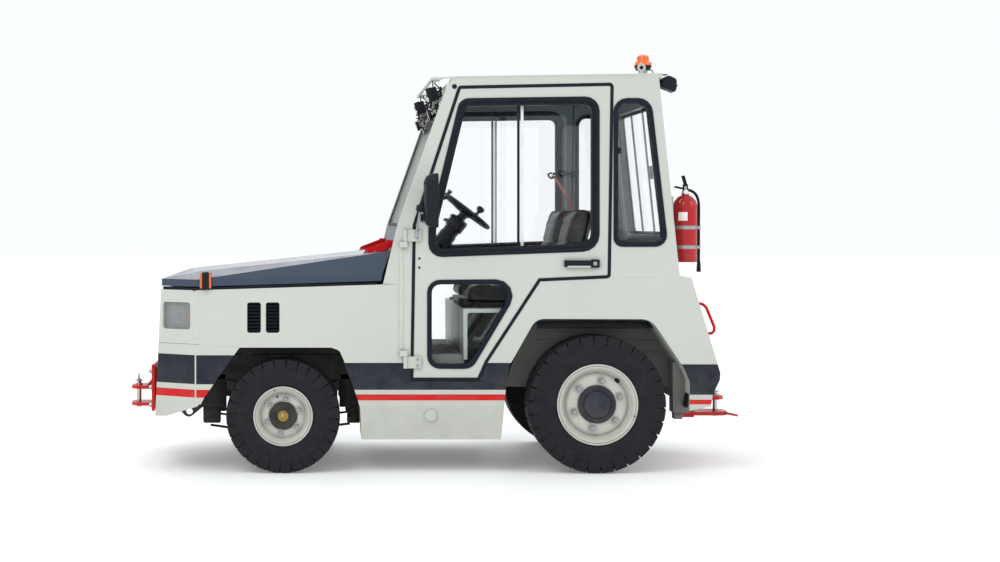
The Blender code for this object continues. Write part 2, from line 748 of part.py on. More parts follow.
def front_bumper():
    """Lower nose panel with the front of the wheel arches, cut up to the tie-down eyes."""
    bumper = nose_band("bumper", FRONT_AXLE_X + 0.217, 0.25, NOSE_SPLIT_Z)
    cut(bumper, arch_cutter(FRONT_ARCH))
    rise = [
        (NOSE_CHAMFER_X - 0.30, 0.15), (NOSE_X + 0.10, 0.15), (NOSE_X + 0.10, 0.277),
        (NOSE_X - 0.035, 0.287, 0.02),
        (NOSE_CHAMFER_X, 0.345), (NOSE_CHAMFER_X - 0.01, 0.356), (NOSE_CHAMFER_X - 0.30, 0.356),
    ]
    cut(bumper, arch_cutter(rise))
    step = SIDE_SPLIT_Z - SEAM
    notch = [(FRONT_AXLE_X + 0.10, step), (NOSE_SEAM_X, step), (NOSE_SEAM_X, step + 0.10),
             (FRONT_AXLE_X + 0.10, step + 0.10)]
    cut(bumper, arch_cutter(notch))
    return as_part(bumper, "front_bumper", "white_paint")


def side_panel(name, side):
    """Engine side panel from the nose corner to the door post, with two louvre openings."""
    low, high = span(side, HALF_WIDTH - SKIN, HALF_WIDTH)
    rear_top_z = PANEL_TOP_Z + 0.030
    front = NOSE_SEAM_X - SEAM
    corners = [
        (front, SIDE_SPLIT_Z), (front, PANEL_TOP_Z + 0.001), (COWL_X, rear_top_z),
        (POST_X + SEAM, rear_top_z), (POST_X + SEAM, SILL_TOP_Z + SEAM), (FRONT_AXLE_X - 0.311 - 0.004,
                                                                          SILL_TOP_Z + SEAM),
        (FRONT_AXLE_X - 0.288, 0.630, 0.03), (FRONT_AXLE_X - 0.245, FRONT_ARCH_TOP_Z, 0.02),
        (FRONT_AXLE_X + 0.2165, FRONT_ARCH_TOP_Z), (FRONT_AXLE_X + 0.2165, SIDE_SPLIT_Z),
    ]
    holes = []
    for x in LOUVRES_X:
        near = x - LOUVRE_WIDTH / 2
        far = x + LOUVRE_WIDTH / 2
        holes.append([(near, LOUVRE_BOTTOM_Z, 0.012), (far, LOUVRE_BOTTOM_Z, 0.012),
                      (far, LOUVRE_TOP_Z, 0.012),
                      (near, LOUVRE_TOP_Z, 0.012)])
    panel = side_plate(name, corners, low, high, holes)
    return as_part(panel, name, "white_paint")


def bonnet(parent):
    """Hipped bonnet: an upright lip, then facets that lean in to the flat top's crease."""
    rear_x = COWL_X + 0.010
    top_rear_x = COWL_X - 0.043
    corner_y = HALF_WIDTH - NOSE_CHAMFER_Y
    crease_y = HALF_WIDTH - BONNET_CREASE_IN
    tip = NOSE_X - 0.004
    rake = (BONNET_LIP_REAR_Z - BONNET_LIP_FRONT_Z) / (NOSE_CHAMFER_X - rear_x)
    fall = BONNET_CREASE_SLOPE

    def lip_z(x):
        return BONNET_LIP_REAR_Z - rake * (min(x, NOSE_CHAMFER_X) - rear_x)

    def crease_z(x):
        return BONNET_CREASE_REAR_Z - fall * (x - top_rear_x)

    plan = [(rear_x, HALF_WIDTH), (NOSE_CHAMFER_X, HALF_WIDTH), (tip, corner_y)]
    lip = [(x, y, lip_z(x)) for x, y in plan]
    brow = [(x - 0.006 * (x == rear_x), y, lip_z(x) + BONNET_LIP_HEIGHT) for x, y in plan]
    crease = [(top_rear_x, crease_y), (NOSE_CHAMFER_X - 0.02, crease_y), (tip - 0.115, corner_y - 0.09)]
    crease = [(x, y, crease_z(x)) for x, y in crease]
    crown = [(x, 0.0, z + 0.010) for x, y, z in crease]
    crown[1] = ((crown[0][0] + crown[2][0]) / 2, 0.0, (crown[0][2] + crown[2][2]) / 2)
    shape = bmesh.new()
    rows = [[shape.verts.new(p) for p in row] for row in (lip, brow, crease)]
    for lower, upper in zip(rows, rows[1:]):
        for i in range(2):
            shape.faces.new((lower[i + 1], lower[i], upper[i], upper[i + 1]))
    middle = [shape.verts.new(p) for p in crown]
    lip_tip = shape.verts.new((tip, 0.0, lip[2][2]))
    brow_tip = shape.verts.new((tip, 0.0, brow[2][2]))
    shape.faces.new((lip_tip, rows[0][2], rows[1][2], brow_tip))
    shape.faces.new((brow_tip, rows[1][2], rows[2][2], middle[2]))
    shape.faces.new((middle[2], rows[2][2], rows[2][1], middle[1]))
    shape.faces.new((middle[1], rows[2][1], rows[2][0], middle[0]))
    bmesh.ops.recalc_face_normals(shape, faces=shape.faces)
    mesh = bpy.data.meshes.new("bonnet")
    shape.to_mesh(mesh)
    shape.free()
    obj = add_object("bonnet", mesh)
    whole = obj.modifiers.new("other_half", "MIRROR")
    whole.use_axis = (False, True, False)
    whole.merge_threshold = 0.0001
    sheet = obj.modifiers.new("sheet", "SOLIDIFY")
    sheet.thickness = BONNET_SHEET
    sheet.offset = -1.0
    sheet.use_even_offset = True
    gap = SHUT_GAP
    low_x = COWL_X - 0.002 + gap
    high_x = POST_X - 0.004 + gap
    cut(obj, arch_cutter([(low_x, 0.80), (low_x, PANEL_TOP_Z + 0.033), (high_x, COWL_TOP_Z),
                          (0.0, COWL_TOP_Z), (0.0, 0.80)]))
    for side in (1, -1):
        low, high = span(side, 0.500, 0.545)
        arm = side_plate(
            "hinge_arm",
            [(BONNET_HINGE_X - 0.016, BONNET_HINGE_Z + 0.014, 0.012), (BONNET_HINGE_X - 0.016,
                                                                       BONNET_HINGE_Z - 0.014, 0.012),
             (BONNET_HINGE_X + 0.02, BONNET_HINGE_Z - 0.055), (BONNET_HINGE_X + 0.13,
                                                               BONNET_HINGE_Z - 0.062),
             (BONNET_HINGE_X + 0.12, BONNET_HINGE_Z - 0.036, 0.01)],
            low, high, holes=[round_hole(BONNET_HINGE_X, BONNET_HINGE_Z, 0.0065)],
        )
        join(obj, arm)
    return as_part(obj, "bonnet", "slate_paint", parent)


OPENING_DIAGONAL_TOP = (REAR_AXLE_X + 0.2961, BELT_Z - 0.016)
OPENING_DIAGONAL_FOOT = (REAR_AXLE_X + 0.5657, 0.5722)
OPENING_FOOT_REAR = (REAR_AXLE_X + 0.6064, DOOR_BOTTOM_Z)


def skirt(name, side):
    """Sill, step tread and the tank behind the skirt, in one section along the vehicle."""
    rear = REAR_AXLE_X + 0.4435
    front = FRONT_AXLE_X - 0.25
    inner = RAIL_OUT_Y + SEAM
    section = [
        (HALF_WIDTH, SILL_TOP_Z), (HALF_WIDTH, CREASE_Z), (HALF_WIDTH - SKIRT_LEAN, SKIRT_BOTTOM_Z),
        (inner, SKIRT_BOTTOM_Z), (inner, STEP_Z), (HALF_WIDTH - SKIN, STEP_Z),
        (HALF_WIDTH - SKIN, SILL_TOP_Z),
    ]
    if side < 0:
        section = mirrored(section)
    body = cross_plate(name, section, rear - 0.02, front)
    cut(body, arch_cutter(FRONT_ARCH))
    cut(body, arch_cutter([(rear, SILL_TOP_Z + 0.02), (rear + 0.023, 0.478),
                           (rear + 0.0485, SKIRT_BOTTOM_Z - 0.02),
                           (rear - 0.10, SKIRT_BOTTOM_Z - 0.02), (rear - 0.10, SILL_TOP_Z + 0.02)]))
    low, high = span(side, HALF_WIDTH - SKIN - 0.01, HALF_WIDTH + 0.05)
    foot = OPENING_DIAGONAL_FOOT
    notch = side_plate("door_notch", [(OPENING_FOOT_REAR[0] - 0.008, STEP_Z), (DOOR_FRONT_X + 0.006,
                                                                               STEP_Z),
                                      (DOOR_FRONT_X + 0.006, SILL_TOP_Z + 0.05),
                                      (foot[0] - 0.03, SILL_TOP_Z + 0.05),
                                      (foot[0] - 0.002, SILL_TOP_Z)], low, high)
    cut(body, notch)
    return as_part(body, name, "white_paint")


REAR_ARCH = [
    (REAR_AXLE_X + 0.4435, SILL_TOP_Z), (REAR_AXLE_X + 0.3165, 0.791, 0.07), (REAR_AXLE_X - 0.2711, 0.789,
                                                                              0.09),
    (REAR_AXLE_X - 0.4365, 0.5417, 0.05), (REAR_AXLE_X - 0.4665, 0.470, 0.03), (REAR_AXLE_X - 0.4665,
                                                                                0.323),
]


def rear_fender(name, side):
    """Rear side panel with its arch, and the arched box that stands over the wheel."""
    low, high = span(side, HALF_WIDTH - SKIN, HALF_WIDTH)
    top = [
        (TAIL_FOOT_X + 0.0005, TAIL_FOOT_Z), (TAIL_X + 0.0025, TAIL_EDGE_Z), (TAIL_X, TAIL_KNEE_Z),
        (TAIL_TOP_X - 0.0025, BELT_Z, 0.012),
        (DOOR_REAR_X, BELT_Z), OPENING_DIAGONAL_TOP, OPENING_DIAGONAL_FOOT,
        (OPENING_DIAGONAL_FOOT[0] + 0.0025, SILL_TOP_Z + SEAM),
    ]
    foot = [(REAR_AXLE_X + 0.4435, SILL_TOP_Z + SEAM)]
    tail_foot = [(REAR_AXLE_X - 0.4665, 0.323), (REAR_AXLE_X - 0.5735, 0.345)]
    corners = foot + REAR_ARCH[1:-1] + tail_foot + top
    panel = side_plate(name, corners, low, high)
    arch = rounded([(REAR_ARCH[0][0], SILL_TOP_Z + 0.02)] + REAR_ARCH[1:])
    grown = [(REAR_ARCH[0][0] + 0.018, SILL_TOP_Z + 0.02)]
    shifts = ((0.014, 0.018), (-0.014, 0.018), (-0.016, 0.010), (-0.018, 0.004))
    for corner, (dx, dz) in zip(REAR_ARCH[1:-1], shifts):
        grown.append((corner[0] + dx, corner[1] + dz, corner[2] + WHEEL_BOX_WALL / 2))
    grown.append((REAR_ARCH[-1][0] - WHEEL_BOX_WALL, REAR_ARCH[-1][1]))
    band = arch + list(reversed(rounded(grown)))
    near, far = span(side, WHEEL_BOX_Y, HALF_WIDTH - SKIN / 2)
    join(panel, side_plate("wheel_box", band, near, far))
    return as_part(panel, name, "white_paint")


def tail_panel():
    """Rear deck behind the cab and the sloped back panel down to the hitch."""
    wall = SKIN
    reach = HALF_WIDTH - SKIN - SEAM
    deck_x = FLOOR_REAR_X - FLOOR_SHEET - SEAM
    outer = [(deck_x, BELT_Z), (TAIL_TOP_X, BELT_Z, 0.012), (TAIL_X, TAIL_KNEE_Z),
             (TAIL_X + 0.0025, TAIL_EDGE_Z), (TAIL_FOOT_X, TAIL_FOOT_Z)]
    inner = [(TAIL_FOOT_X + wall, TAIL_FOOT_Z), (TAIL_X + 0.0025 + wall, TAIL_EDGE_Z),
             (TAIL_X + wall, TAIL_KNEE_Z),
             (TAIL_TOP_X + wall * 0.8, BELT_Z - wall), (deck_x, BELT_Z - wall)]
    panel = side_plate("tail_panel", outer + inner, -reach, reach)
    mount_x = FRAME_REAR_X - TAIL_PLATE - SEAM
    join(panel, box("mount", (TAIL_X + wall, -0.30, 0.43), (mount_x, 0.30, 0.50)))
    return as_part(panel, "tail_panel", "white_paint")


# ---------------------------------------------------------------- cab
OPENING_KNEE = (DOOR_FRONT_X - 0.0065, COWL_TOP_Z + 0.007)
OPENING_TOP_Z = ROOF_Z - 0.0686
OPENING_TOP_FRONT = (OPENING_KNEE[0] - DOOR_RAKE * (OPENING_TOP_Z - OPENING_KNEE[1]), OPENING_TOP_Z)
OPENING_TOP_REAR = (DOOR_REAR_X - 0.0152, ROOF_Z - 0.0534)
OPENING = [
    (DOOR_FRONT_X + 0.006, DOOR_BOTTOM_Z), OPENING_KNEE, (*OPENING_TOP_FRONT, 0.012),
    (*OPENING_TOP_REAR, 0.012),
    (DOOR_REAR_X, BELT_Z, 0.012), OPENING_DIAGONAL_TOP, OPENING_DIAGONAL_FOOT, OPENING_FOOT_REAR,
]


def windscreen_x(z, back=0.0):
    """The windscreen's outer plane, or a plane that far behind it."""
    return POST_X - back - WINDSCREEN_RAKE * (z - COWL_TOP_Z - 0.012)


def rear_wall_x(z, ahead=0.0):
    """The outer face of the cab's rear wall, or a plane ahead of it."""
    return CAB_REAR_X + ahead + REAR_WALL_LEAN * (z - BELT_Z)


ROOF_FRONT_X = windscreen_x(ROOF_FRONT_UNDER_Z) - 0.0153
ROOF_REAR_X = rear_wall_x(ROOF_UNDER_Z) - 0.0168
CAB_REAR_TOP_X = ROOF_REAR_X + 0.0125


def roof_under_z(x):
    """The roof sheet's underside, which falls towards the front."""
    share = (x - ROOF_REAR_X) / (ROOF_FRONT_X - ROOF_REAR_X)
    return ROOF_UNDER_Z + (ROOF_FRONT_UNDER_Z - ROOF_UNDER_Z) * share


def roof_top_z(x):
    share = (x - ROOF_REAR_X) / (ROOF_FRONT_X - ROOF_BEND - ROOF_REAR_X)
    return ROOF_Z - ROOF_CROWN_FALL * share


QUARTER = [
    (DOOR_REAR_X - 0.028, QUARTER_FOOT_Z, 0.035), (DOOR_REAR_X - 0.028, WINDOW_TOP_Z, 0.060),
    (rear_wall_x(WINDOW_TOP_Z, 0.060), WINDOW_TOP_Z, 0.065),
    (rear_wall_x(QUARTER_FOOT_Z, 0.052), QUARTER_FOOT_Z, 0.050),
]


def cab_side(name, side):
    """Door post, roof rail and rear quarter of one side, with the quarter window's opening."""
    low, high = span(side, HALF_WIDTH - CAB_WALL, HALF_WIDTH)
    rear_top_x = rear_wall_x(ROOF_UNDER_Z)
    header_z = ROOF_FRONT_UNDER_Z - 0.020
    corners = [
        (OPENING[0][0] - 0.0015, SILL_TOP_Z + SEAM), OPENING_KNEE, (*OPENING_TOP_FRONT, 0.018),
        (*OPENING_TOP_REAR, 0.018), (DOOR_REAR_X, BELT_Z + SEAM), (rear_wall_x(BELT_Z), BELT_Z + SEAM),
        (rear_top_x, roof_under_z(rear_top_x) - SEAM), (ROOF_FRONT_X, ROOF_FRONT_UNDER_Z - SEAM),
        (windscreen_x(header_z), header_z), (POST_X, COWL_TOP_Z + 0.012),
        (COWL_X, PANEL_TOP_Z + 0.033), (POST_X, PANEL_TOP_Z + 0.030 + SEAM), (POST_X, SILL_TOP_Z + SEAM),
    ]
    frame = side_plate(name, corners, low, high, holes=[QUARTER])
    return as_part(frame, name, "white_paint")


def cab_roof():
    """Roof sheet with the header that drops to the windscreen's top edge."""
    under = [(ROOF_FRONT_X, ROOF_FRONT_UNDER_Z), (ROOF_REAR_X, ROOF_UNDER_Z)]
    bend_x = ROOF_FRONT_X - ROOF_BEND
    top = [(ROOF_REAR_X, ROOF_Z), (bend_x, roof_top_z(bend_x)), (ROOF_FRONT_X, ROOF_Z - 0.022)]
    sheet = side_plate("cab_roof", under + top, -HALF_WIDTH, HALF_WIDTH)
    low_z = HEADER_BOTTOM_Z
    top_z = ROOF_FRONT_UNDER_Z + 0.008
    header = side_plate(
        "header",
        [(windscreen_x(low_z, HEADER_FRONT), low_z), (windscreen_x(top_z, HEADER_FRONT), top_z),
         (windscreen_x(top_z, HEADER_BACK), top_z), (windscreen_x(low_z, HEADER_BACK), low_z)],
        -CAB_REACH, CAB_REACH,
    )
    join(sheet, header)
    return as_part(sheet, "cab_roof", "white_paint")


def windscreen():
    low_z = COWL_TOP_Z + SEAM
    top_z = HEADER_BOTTOM_Z - SEAM
    pane = side_plate(
        "windscreen",
        [(windscreen_x(low_z, SCREEN_INSET), low_z), (windscreen_x(top_z, SCREEN_INSET), top_z),
         (windscreen_x(top_z, SCREEN_INSET + GLASS), top_z), (windscreen_x(low_z, SCREEN_INSET + GLASS),
                                                              low_z)],
        -CAB_REACH, CAB_REACH,
    )
    return as_part(pane, "windscreen", "glass")


REAR_WINDOW_Y = HALF_WIDTH - 0.205
REAR_WINDOW_LOW_Z = 1.215
REAR_WINDOW_TOP_Z = ROOF_Z - 0.150
REAR_WINDOW = [
    (-REAR_WINDOW_Y, REAR_WINDOW_LOW_Z, 0.05), (REAR_WINDOW_Y, REAR_WINDOW_LOW_Z, 0.05),
    (REAR_WINDOW_Y, REAR_WINDOW_TOP_Z, 0.05), (-REAR_WINDOW_Y, REAR_WINDOW_TOP_Z, 0.05),
]


def rear_wall_slab(name, y_reach, low_z, top_z, ahead, behind):
    """A slab in the rear wall's plane."""
    return side_plate(
        name,
        [(rear_wall_x(low_z, behind), low_z), (rear_wall_x(top_z, behind), top_z),
         (rear_wall_x(top_z, ahead), top_z), (rear_wall_x(low_z, ahead), low_z)],
        -y_reach, y_reach,
    )


def cab_rear_panel():
    """Rear wall between the cab sides with the window opening and the extinguisher's bracket."""
    panel = rear_wall_slab("cab_rear_panel", CAB_REACH, BELT_Z + SEAM, ROOF_UNDER_Z - 0.0012, REAR_WALL,
                           0.0)
    cut(panel, cross_plate("rear_window_hole", REAR_WINDOW, CAB_REAR_X - 0.1, CAB_REAR_TOP_X + 0.15))
    x, y, bottom = EXTINGUISHER
    strap_low, strap_high = y - 0.02, y + 0.02
    back = x + EXTINGUISHER_RADIUS + SEAM
    join(panel, box("strip", (back, strap_low, bottom + 0.03), (back + 0.06, strap_high, bottom + 0.34)))
    return as_part(panel, "cab_rear_panel", "white_paint")


def rear_window():
    pane = rear_wall_slab(
        "rear_window", REAR_WINDOW_Y + 0.08, REAR_WINDOW_LOW_Z - 0.1, REAR_WINDOW_TOP_Z + 0.1,
        0.025, 0.025 - 2 * GLASS - 0.001,
    )
    hole = cross_plate("trim_to_hole", inset_hole(REAR_WINDOW), CAB_REAR_X - 0.1, CAB_REAR_TOP_X + 0.15)
    combine(pane, hole, "INTERSECT")
    return as_part(pane, "rear_window", "glass")


def inset_hole(corners):
    return inset(list(corners), SEAM)


def quarter_window(name, side):
    middle = HALF_WIDTH - CAB_WALL / 2
    low, high = span(side, middle - WINDOW_UNIT / 2, middle + WINDOW_UNIT / 2)
    return as_part(side_plate(name, inset_hole(QUARTER), low, high), name, "glass")


COWL_OUTLINE = [
    (COWL_X - 0.002, FLOOR_Z + SEAM), (COWL_X - 0.002, PANEL_TOP_Z + 0.033),
    (POST_X - 0.004, COWL_TOP_Z), (POST_X - 0.050, COWL_TOP_Z),
    (POST_X - 0.046, DASH_TOP_Z), (DASH_X, DASH_TOP_Z - 0.01, 0.02), (DASH_X + 0.02, 0.930, 0.02),
    (COWL_X - 0.032, 0.880), (COWL_X - 0.032, FLOOR_Z + SEAM),
]


def cab_cowl():
    """Firewall with the windscreen ledge on top and the dashboard behind it."""
    wall = side_plate("cab_cowl", COWL_OUTLINE, -CAB_REACH, CAB_REACH)
    for side in (1, -1):
        y_low, y_high = span(side, 0.478, 0.568)
        base = side_plate("hinge_base", [
            (POST_X - 0.010, BONNET_HINGE_Z - 0.022), (POST_X - 0.010, BONNET_HINGE_Z + 0.012),
            (BONNET_HINGE_X + 0.012, BONNET_HINGE_Z + 0.016, 0.01), (BONNET_HINGE_X + 0.014,
                                                                     BONNET_HINGE_Z - 0.014, 0.01),
            (BONNET_HINGE_X - 0.012, BONNET_HINGE_Z - 0.022)], y_low, y_high)
        inner_low, inner_high = span(side, 0.495, 0.550)
        slot = box("slot", (BONNET_HINGE_X - 0.024, inner_low, BONNET_HINGE_Z - 0.2),
                   (BONNET_HINGE_X + 0.10, inner_high, BONNET_HINGE_Z + 0.1))
        cut(base, slot)
        pin_low, pin_high = span(side, 0.485, 0.560)
        join(base, rod("pin", (BONNET_HINGE_X, pin_low, BONNET_HINGE_Z), (BONNET_HINGE_X, pin_high,
                                                                          BONNET_HINGE_Z),
                       0.006, sides=16))
        join(wall, base)
    return as_part(wall, "cab_cowl", "grey_paint")


def cab_floor():
    """Floor sheet with its step risers, the seat box's front and the deck under the seats."""
    sheet = FLOOR_SHEET
    rear = FLOOR_REAR_X
    corners = [
        (COWL_X, FLOOR_Z), (COWL_X, FLOOR_Z - sheet), (SEAT_BOX_X - sheet, FLOOR_Z - sheet),
        (SEAT_BOX_X - sheet, SEAT_DECK_Z - sheet), (rear - sheet, SEAT_DECK_Z - sheet),
        (rear - sheet, BELT_Z),
        (rear, BELT_Z), (rear, SEAT_DECK_Z), (SEAT_BOX_X, SEAT_DECK_Z), (SEAT_BOX_X, FLOOR_Z),
    ]
    floor = side_plate("cab_floor", corners, -CAB_REACH, CAB_REACH)
    for side in (1, -1):
        low, high = span(side, STEP_WELL_Y, CAB_REACH + 0.01)
        well_low = (SEAT_BOX_X - 0.001, low, FLOOR_Z - 0.1)
        cut(floor, box("step_well", well_low, (POST_X - 0.06, high, FLOOR_Z + 0.1)))
        low, high = span(side, STEP_WELL_Y - 0.015, STEP_WELL_Y)
        riser_low = (SEAT_BOX_X - 0.01, low, STEP_Z + SEAM)
        join(floor, box("riser", riser_low, (POST_X - 0.06, high, FLOOR_Z - 0.001)))
    return as_part(floor, "cab_floor", "grey_paint")


# ---------------------------------------------------------------- doors
def door_pivot(side):
    return (DOOR_HINGE_X, side * (HALF_WIDTH + DOOR_HINGE_OUT), FLOOR_Z)


UPPER_WINDOW = [
    (DOOR_FRONT_X - 0.0904, 1.112, 0.060), (DOOR_FRONT_X - 0.0904, 1.250, 0.060),
    (OPENING_TOP_FRONT[0] - 0.0109, ROOF_Z - 0.137, 0.050), (DOOR_REAR_X + 0.061, ROOF_Z - 0.127, 0.065),
    (DOOR_REAR_X + 0.061, 1.1438, 0.080),
]
LOWER_WINDOW = [
    (DOOR_FRONT_X - 0.0853, 0.5467, 0.055), (DOOR_FRONT_X - 0.0853, 0.980, 0.055),
    (OPENING_DIAGONAL_TOP[0] + 0.0916, 0.984, 0.075), (OPENING_DIAGONAL_FOOT[0] + 0.081, 0.5467, 0.060),
]


def door(name, side, parent):
    """Door leaf with its window openings, hinge eyes and handle plate."""
    low, high = span(side, HALF_WIDTH - DOOR_WALL, HALF_WIDTH)
    leaf = side_plate(name, inset(OPENING, SHUT_GAP), low, high, holes=[UPPER_WINDOW, LOWER_WINDOW])
    x, y, _ = door_pivot(side)
    strap_x = DOOR_FRONT_X - 0.045
    strap_low, strap_high = span(side, HALF_WIDTH + HINGE_STRAP_GAP, HALF_WIDTH + DOOR_HINGE_OUT - 0.001)
    foot_low, foot_high = span(side, HALF_WIDTH - 0.005, HALF_WIDTH + 0.004)
    for middle in DOOR_HINGES_Z:
        foot = middle - HINGE_HALF
        head = middle + HINGE_HALF
        strap = box("strap", (strap_x, strap_low, foot), (x + 0.003, strap_high, head))
        join(strap, box("strap_foot", (strap_x, foot_low, foot), (DOOR_FRONT_X - 0.008, foot_high, head)))
        join(strap, rod("eye", (x, y, foot), (x, y, head), 2 * HINGE_PIN_RADIUS, sides=16))
        cut(strap, rod("eye_bore", (x, y, foot - 0.02), (x, y, head + 0.02), HINGE_PIN_RADIUS + PIN_PLAY,
                       sides=12))
        join(leaf, strap)
    grip_low, grip_high = span(side, HALF_WIDTH - 0.002, HALF_WIDTH + 0.020)
    join(leaf, box("handle", (DOOR_REAR_X + 0.056, grip_low, 1.053), (DOOR_REAR_X + 0.230, grip_high,
                                                                      1.092)))
    return as_part(leaf, name, "white_paint", parent)


def hinge_post(frame, side):
    """Pins fixed to the cab's post, the upper from below and the lower from above."""
    x, y, _ = door_pivot(side)
    for z, way in zip(DOOR_HINGES_Z, (-1, 1)):
        pin = rod("pin", (x, y, z + way * 0.050), (x, y, z - way * 0.020), HINGE_PIN_RADIUS, sides=12)
        join(frame, pin)
        low, high = span(side, HALF_WIDTH - 0.004, HALF_WIDTH + DOOR_HINGE_OUT + 0.010)
        foot_low, foot_high = sorted((z + way * 0.060, z + way * 0.0315))
        join(frame, box("pin_foot", (x - 0.010, low, foot_low), (x + 0.030, high, foot_high)))
    return frame


def door_window(name, side, corners, parent):
    middle = HALF_WIDTH - DOOR_WALL / 2
    low, high = span(side, middle - WINDOW_UNIT / 2, middle + WINDOW_UNIT / 2)
    return as_part(side_plate(name, inset_hole(corners), low, high), name, "glass", parent)


def door_mirror(name, side, parent):
    """Mirror housing on a bent arm from the door's upper front corner."""
    y_near = HALF_WIDTH + 0.055
    head_low, head_high = span(side, y_near, y_near + 0.170)
    head = box(name, (0.034, head_low, 1.256), (0.102, head_high, 1.528))
    soften(head, 0.020, 2)
    y = side * (HALF_WIDTH + 0.060)
    foot = (DOOR_FRONT_X - 0.060, side * (HALF_WIDTH + 0.004), 1.305)
    arm = tube("arm", [foot, (foot[0], side * (HALF_WIDTH + 0.045), 1.32), (0.085, y + side * 0.02,
                                                                            1.36)], 0.008)
    join(head, arm)
    low, high = span(side, HALF_WIDTH + SEAM, HALF_WIDTH + 0.010)
    join(head, box("arm_foot", (foot[0] - 0.018, low, 1.285), (foot[0] + 0.018, high, 1.325)))
    return as_part(head, name, "plastic", parent)


# ---------------------------------------------------------------- inside the cab
def seat(name, y):
    """Low-backed seat: cushion and back as one plain solid on the deck."""
    front = SEAT_BOX_X - 0.002
    corners = [
        (front, SEAT_DECK_Z + SEAM), (front, CUSHION_TOP_Z - 0.005, 0.030),
        (front - 0.430, CUSHION_TOP_Z - 0.025, 0.020),
        (front - 0.545, SEAT_BACK_TOP_Z, 0.040), (front - 0.670, SEAT_BACK_TOP_Z - 0.01, 0.050),
        (front - 0.560, SEAT_DECK_Z + SEAM),
    ]
    body = side_plate(name, corners, y - SEAT_WIDTH / 2, y + SEAT_WIDTH / 2)
    return as_part(body, name, "seat_cover")


def tilt_axis():
    lean = math.radians(WHEEL_TILT)
    return Vector((-math.sin(lean), 0.0, math.cos(lean)))


def steering_column():
    """Column from the dashboard's face up to the wheel's hub."""
    hub = Vector(WHEEL_HUB)
    axis = tilt_axis()
    top = hub - axis * (0.030 + SEAM)
    foot_x = DASH_X + 0.040
    length = (foot_x - top.x) / math.sin(math.radians(WHEEL_TILT))
    foot = top - axis * length
    column = rod("column", foot, top, 0.030, 0.024)
    join(column, rod("sleeve", top - axis * 0.14, top - axis * 0.055, 0.042))
    y = WHEEL_HUB[1]
    cut(column, side_plate("dash", inset(COWL_OUTLINE, -SEAM), y - 0.1, y + 0.1))
    return as_part(column, "steering_column", "plastic")


def torus(name, radius, section, place):
    bpy.ops.mesh.primitive_torus_add(
        major_radius=radius, minor_radius=section, major_segments=32, minor_segments=8, location=place
    )
    ring = bpy.context.object
    mesh = ring.data
    bpy.data.objects.remove(ring)
    obj = add_object(name, mesh)
    obj.location = place
    return obj


def steering_wheel(parent):
    """Rim, three spokes, hub and spinner knob, joined flat and then stood on the tilted axis."""
    rim_z = 0.012
    wheel = rod("hub", (0, 0, -0.030), (0, 0, rim_z), 0.030)
    join(wheel, torus("rim", WHEEL_RIM_RADIUS, 0.012, (0, 0, rim_z)))
    for angle in (90, 210, 330):
        turn = math.radians(angle)
        reach = WHEEL_RIM_RADIUS - 0.004
        tip = (reach * math.cos(turn), reach * math.sin(turn), rim_z)
        join(wheel, rod("spoke", (0, 0, -0.004), tip, 0.011, 0.008, sides=10))
    turn = math.radians(160)
    knob = (WHEEL_RIM_RADIUS * math.cos(turn), WHEEL_RIM_RADIUS * math.sin(turn))
    join(wheel, rod("knob", (*knob, 0.018), (*knob, 0.062), 0.012, 0.020, sides=16))
    bpy.context.view_layer.update()
    graph = bpy.context.evaluated_depsgraph_get()
    mesh = bpy.data.meshes.new_from_object(wheel.evaluated_get(graph))
    mesh.transform(wheel.matrix_world)
    stood = add_object("stood_wheel", mesh)
    stood.rotation_euler = (0, -math.radians(WHEEL_TILT), 0)
    stood.location = WHEEL_HUB
    return as_part(stood, "steering_wheel", "plastic", parent)


# ---------------------------------------------------------------- hitches and fittings
FRONT_HITCH_X = nose_x(0.34) + SEAM


def front_hitch():
    """Face plate with an upper and a lower jaw, bored for the drop pin, and a pin lug on top."""
    base = FRONT_HITCH_X
    face = base + 0.050
    hitch = side_plate("block", [(nose_x(0.27) + SEAM, 0.27), (face, 0.27), (face, 0.50),
                                 (nose_x(0.50) + SEAM, 0.50)], -0.10, 0.10)
    join(hitch, box("plate", (face - 0.006, -0.140, 0.262), (face + 0.010, 0.140, 0.512)))
    tip = face + 0.1272
    for low, high in ((0.285, 0.303), (0.376, 0.394)):
        jaw = plan_plate("jaw", [(face, -0.085), (tip - 0.03, -0.085, 0.0), (tip, -0.045, 0.02),
                                 (tip, 0.045, 0.02),
                                 (tip - 0.03, 0.085, 0.0), (face, 0.085)], low, high)
        join(hitch, jaw)
    for side in (1, -1):
        low, high = span(side, 0.040, 0.052)
        join(hitch, side_plate("gusset", [(face, 0.392), (face, 0.450), (face + 0.045, 0.392)], low, high))
    pin_x = face + 0.092
    cut(hitch, rod("pin_bore", (pin_x, 0, 0.27), (pin_x, 0, 0.42), HITCH_PIN_RADIUS + HITCH_PIN_PLAY))
    return as_part(hitch, "front_hitch", "red_paint")


def hitch_pin(name, x, low, collar, top):
    """Drop pin with a collar that rests on the upper jaw."""
    pin = rod("pin", (x, 0, low), (x, 0, top), HITCH_PIN_RADIUS)
    join(pin, rod("collar", (x, 0, collar + SEAM), (x, 0, collar + 0.008), HITCH_PIN_RADIUS + 0.009))
    return as_part(pin, name, "steel")


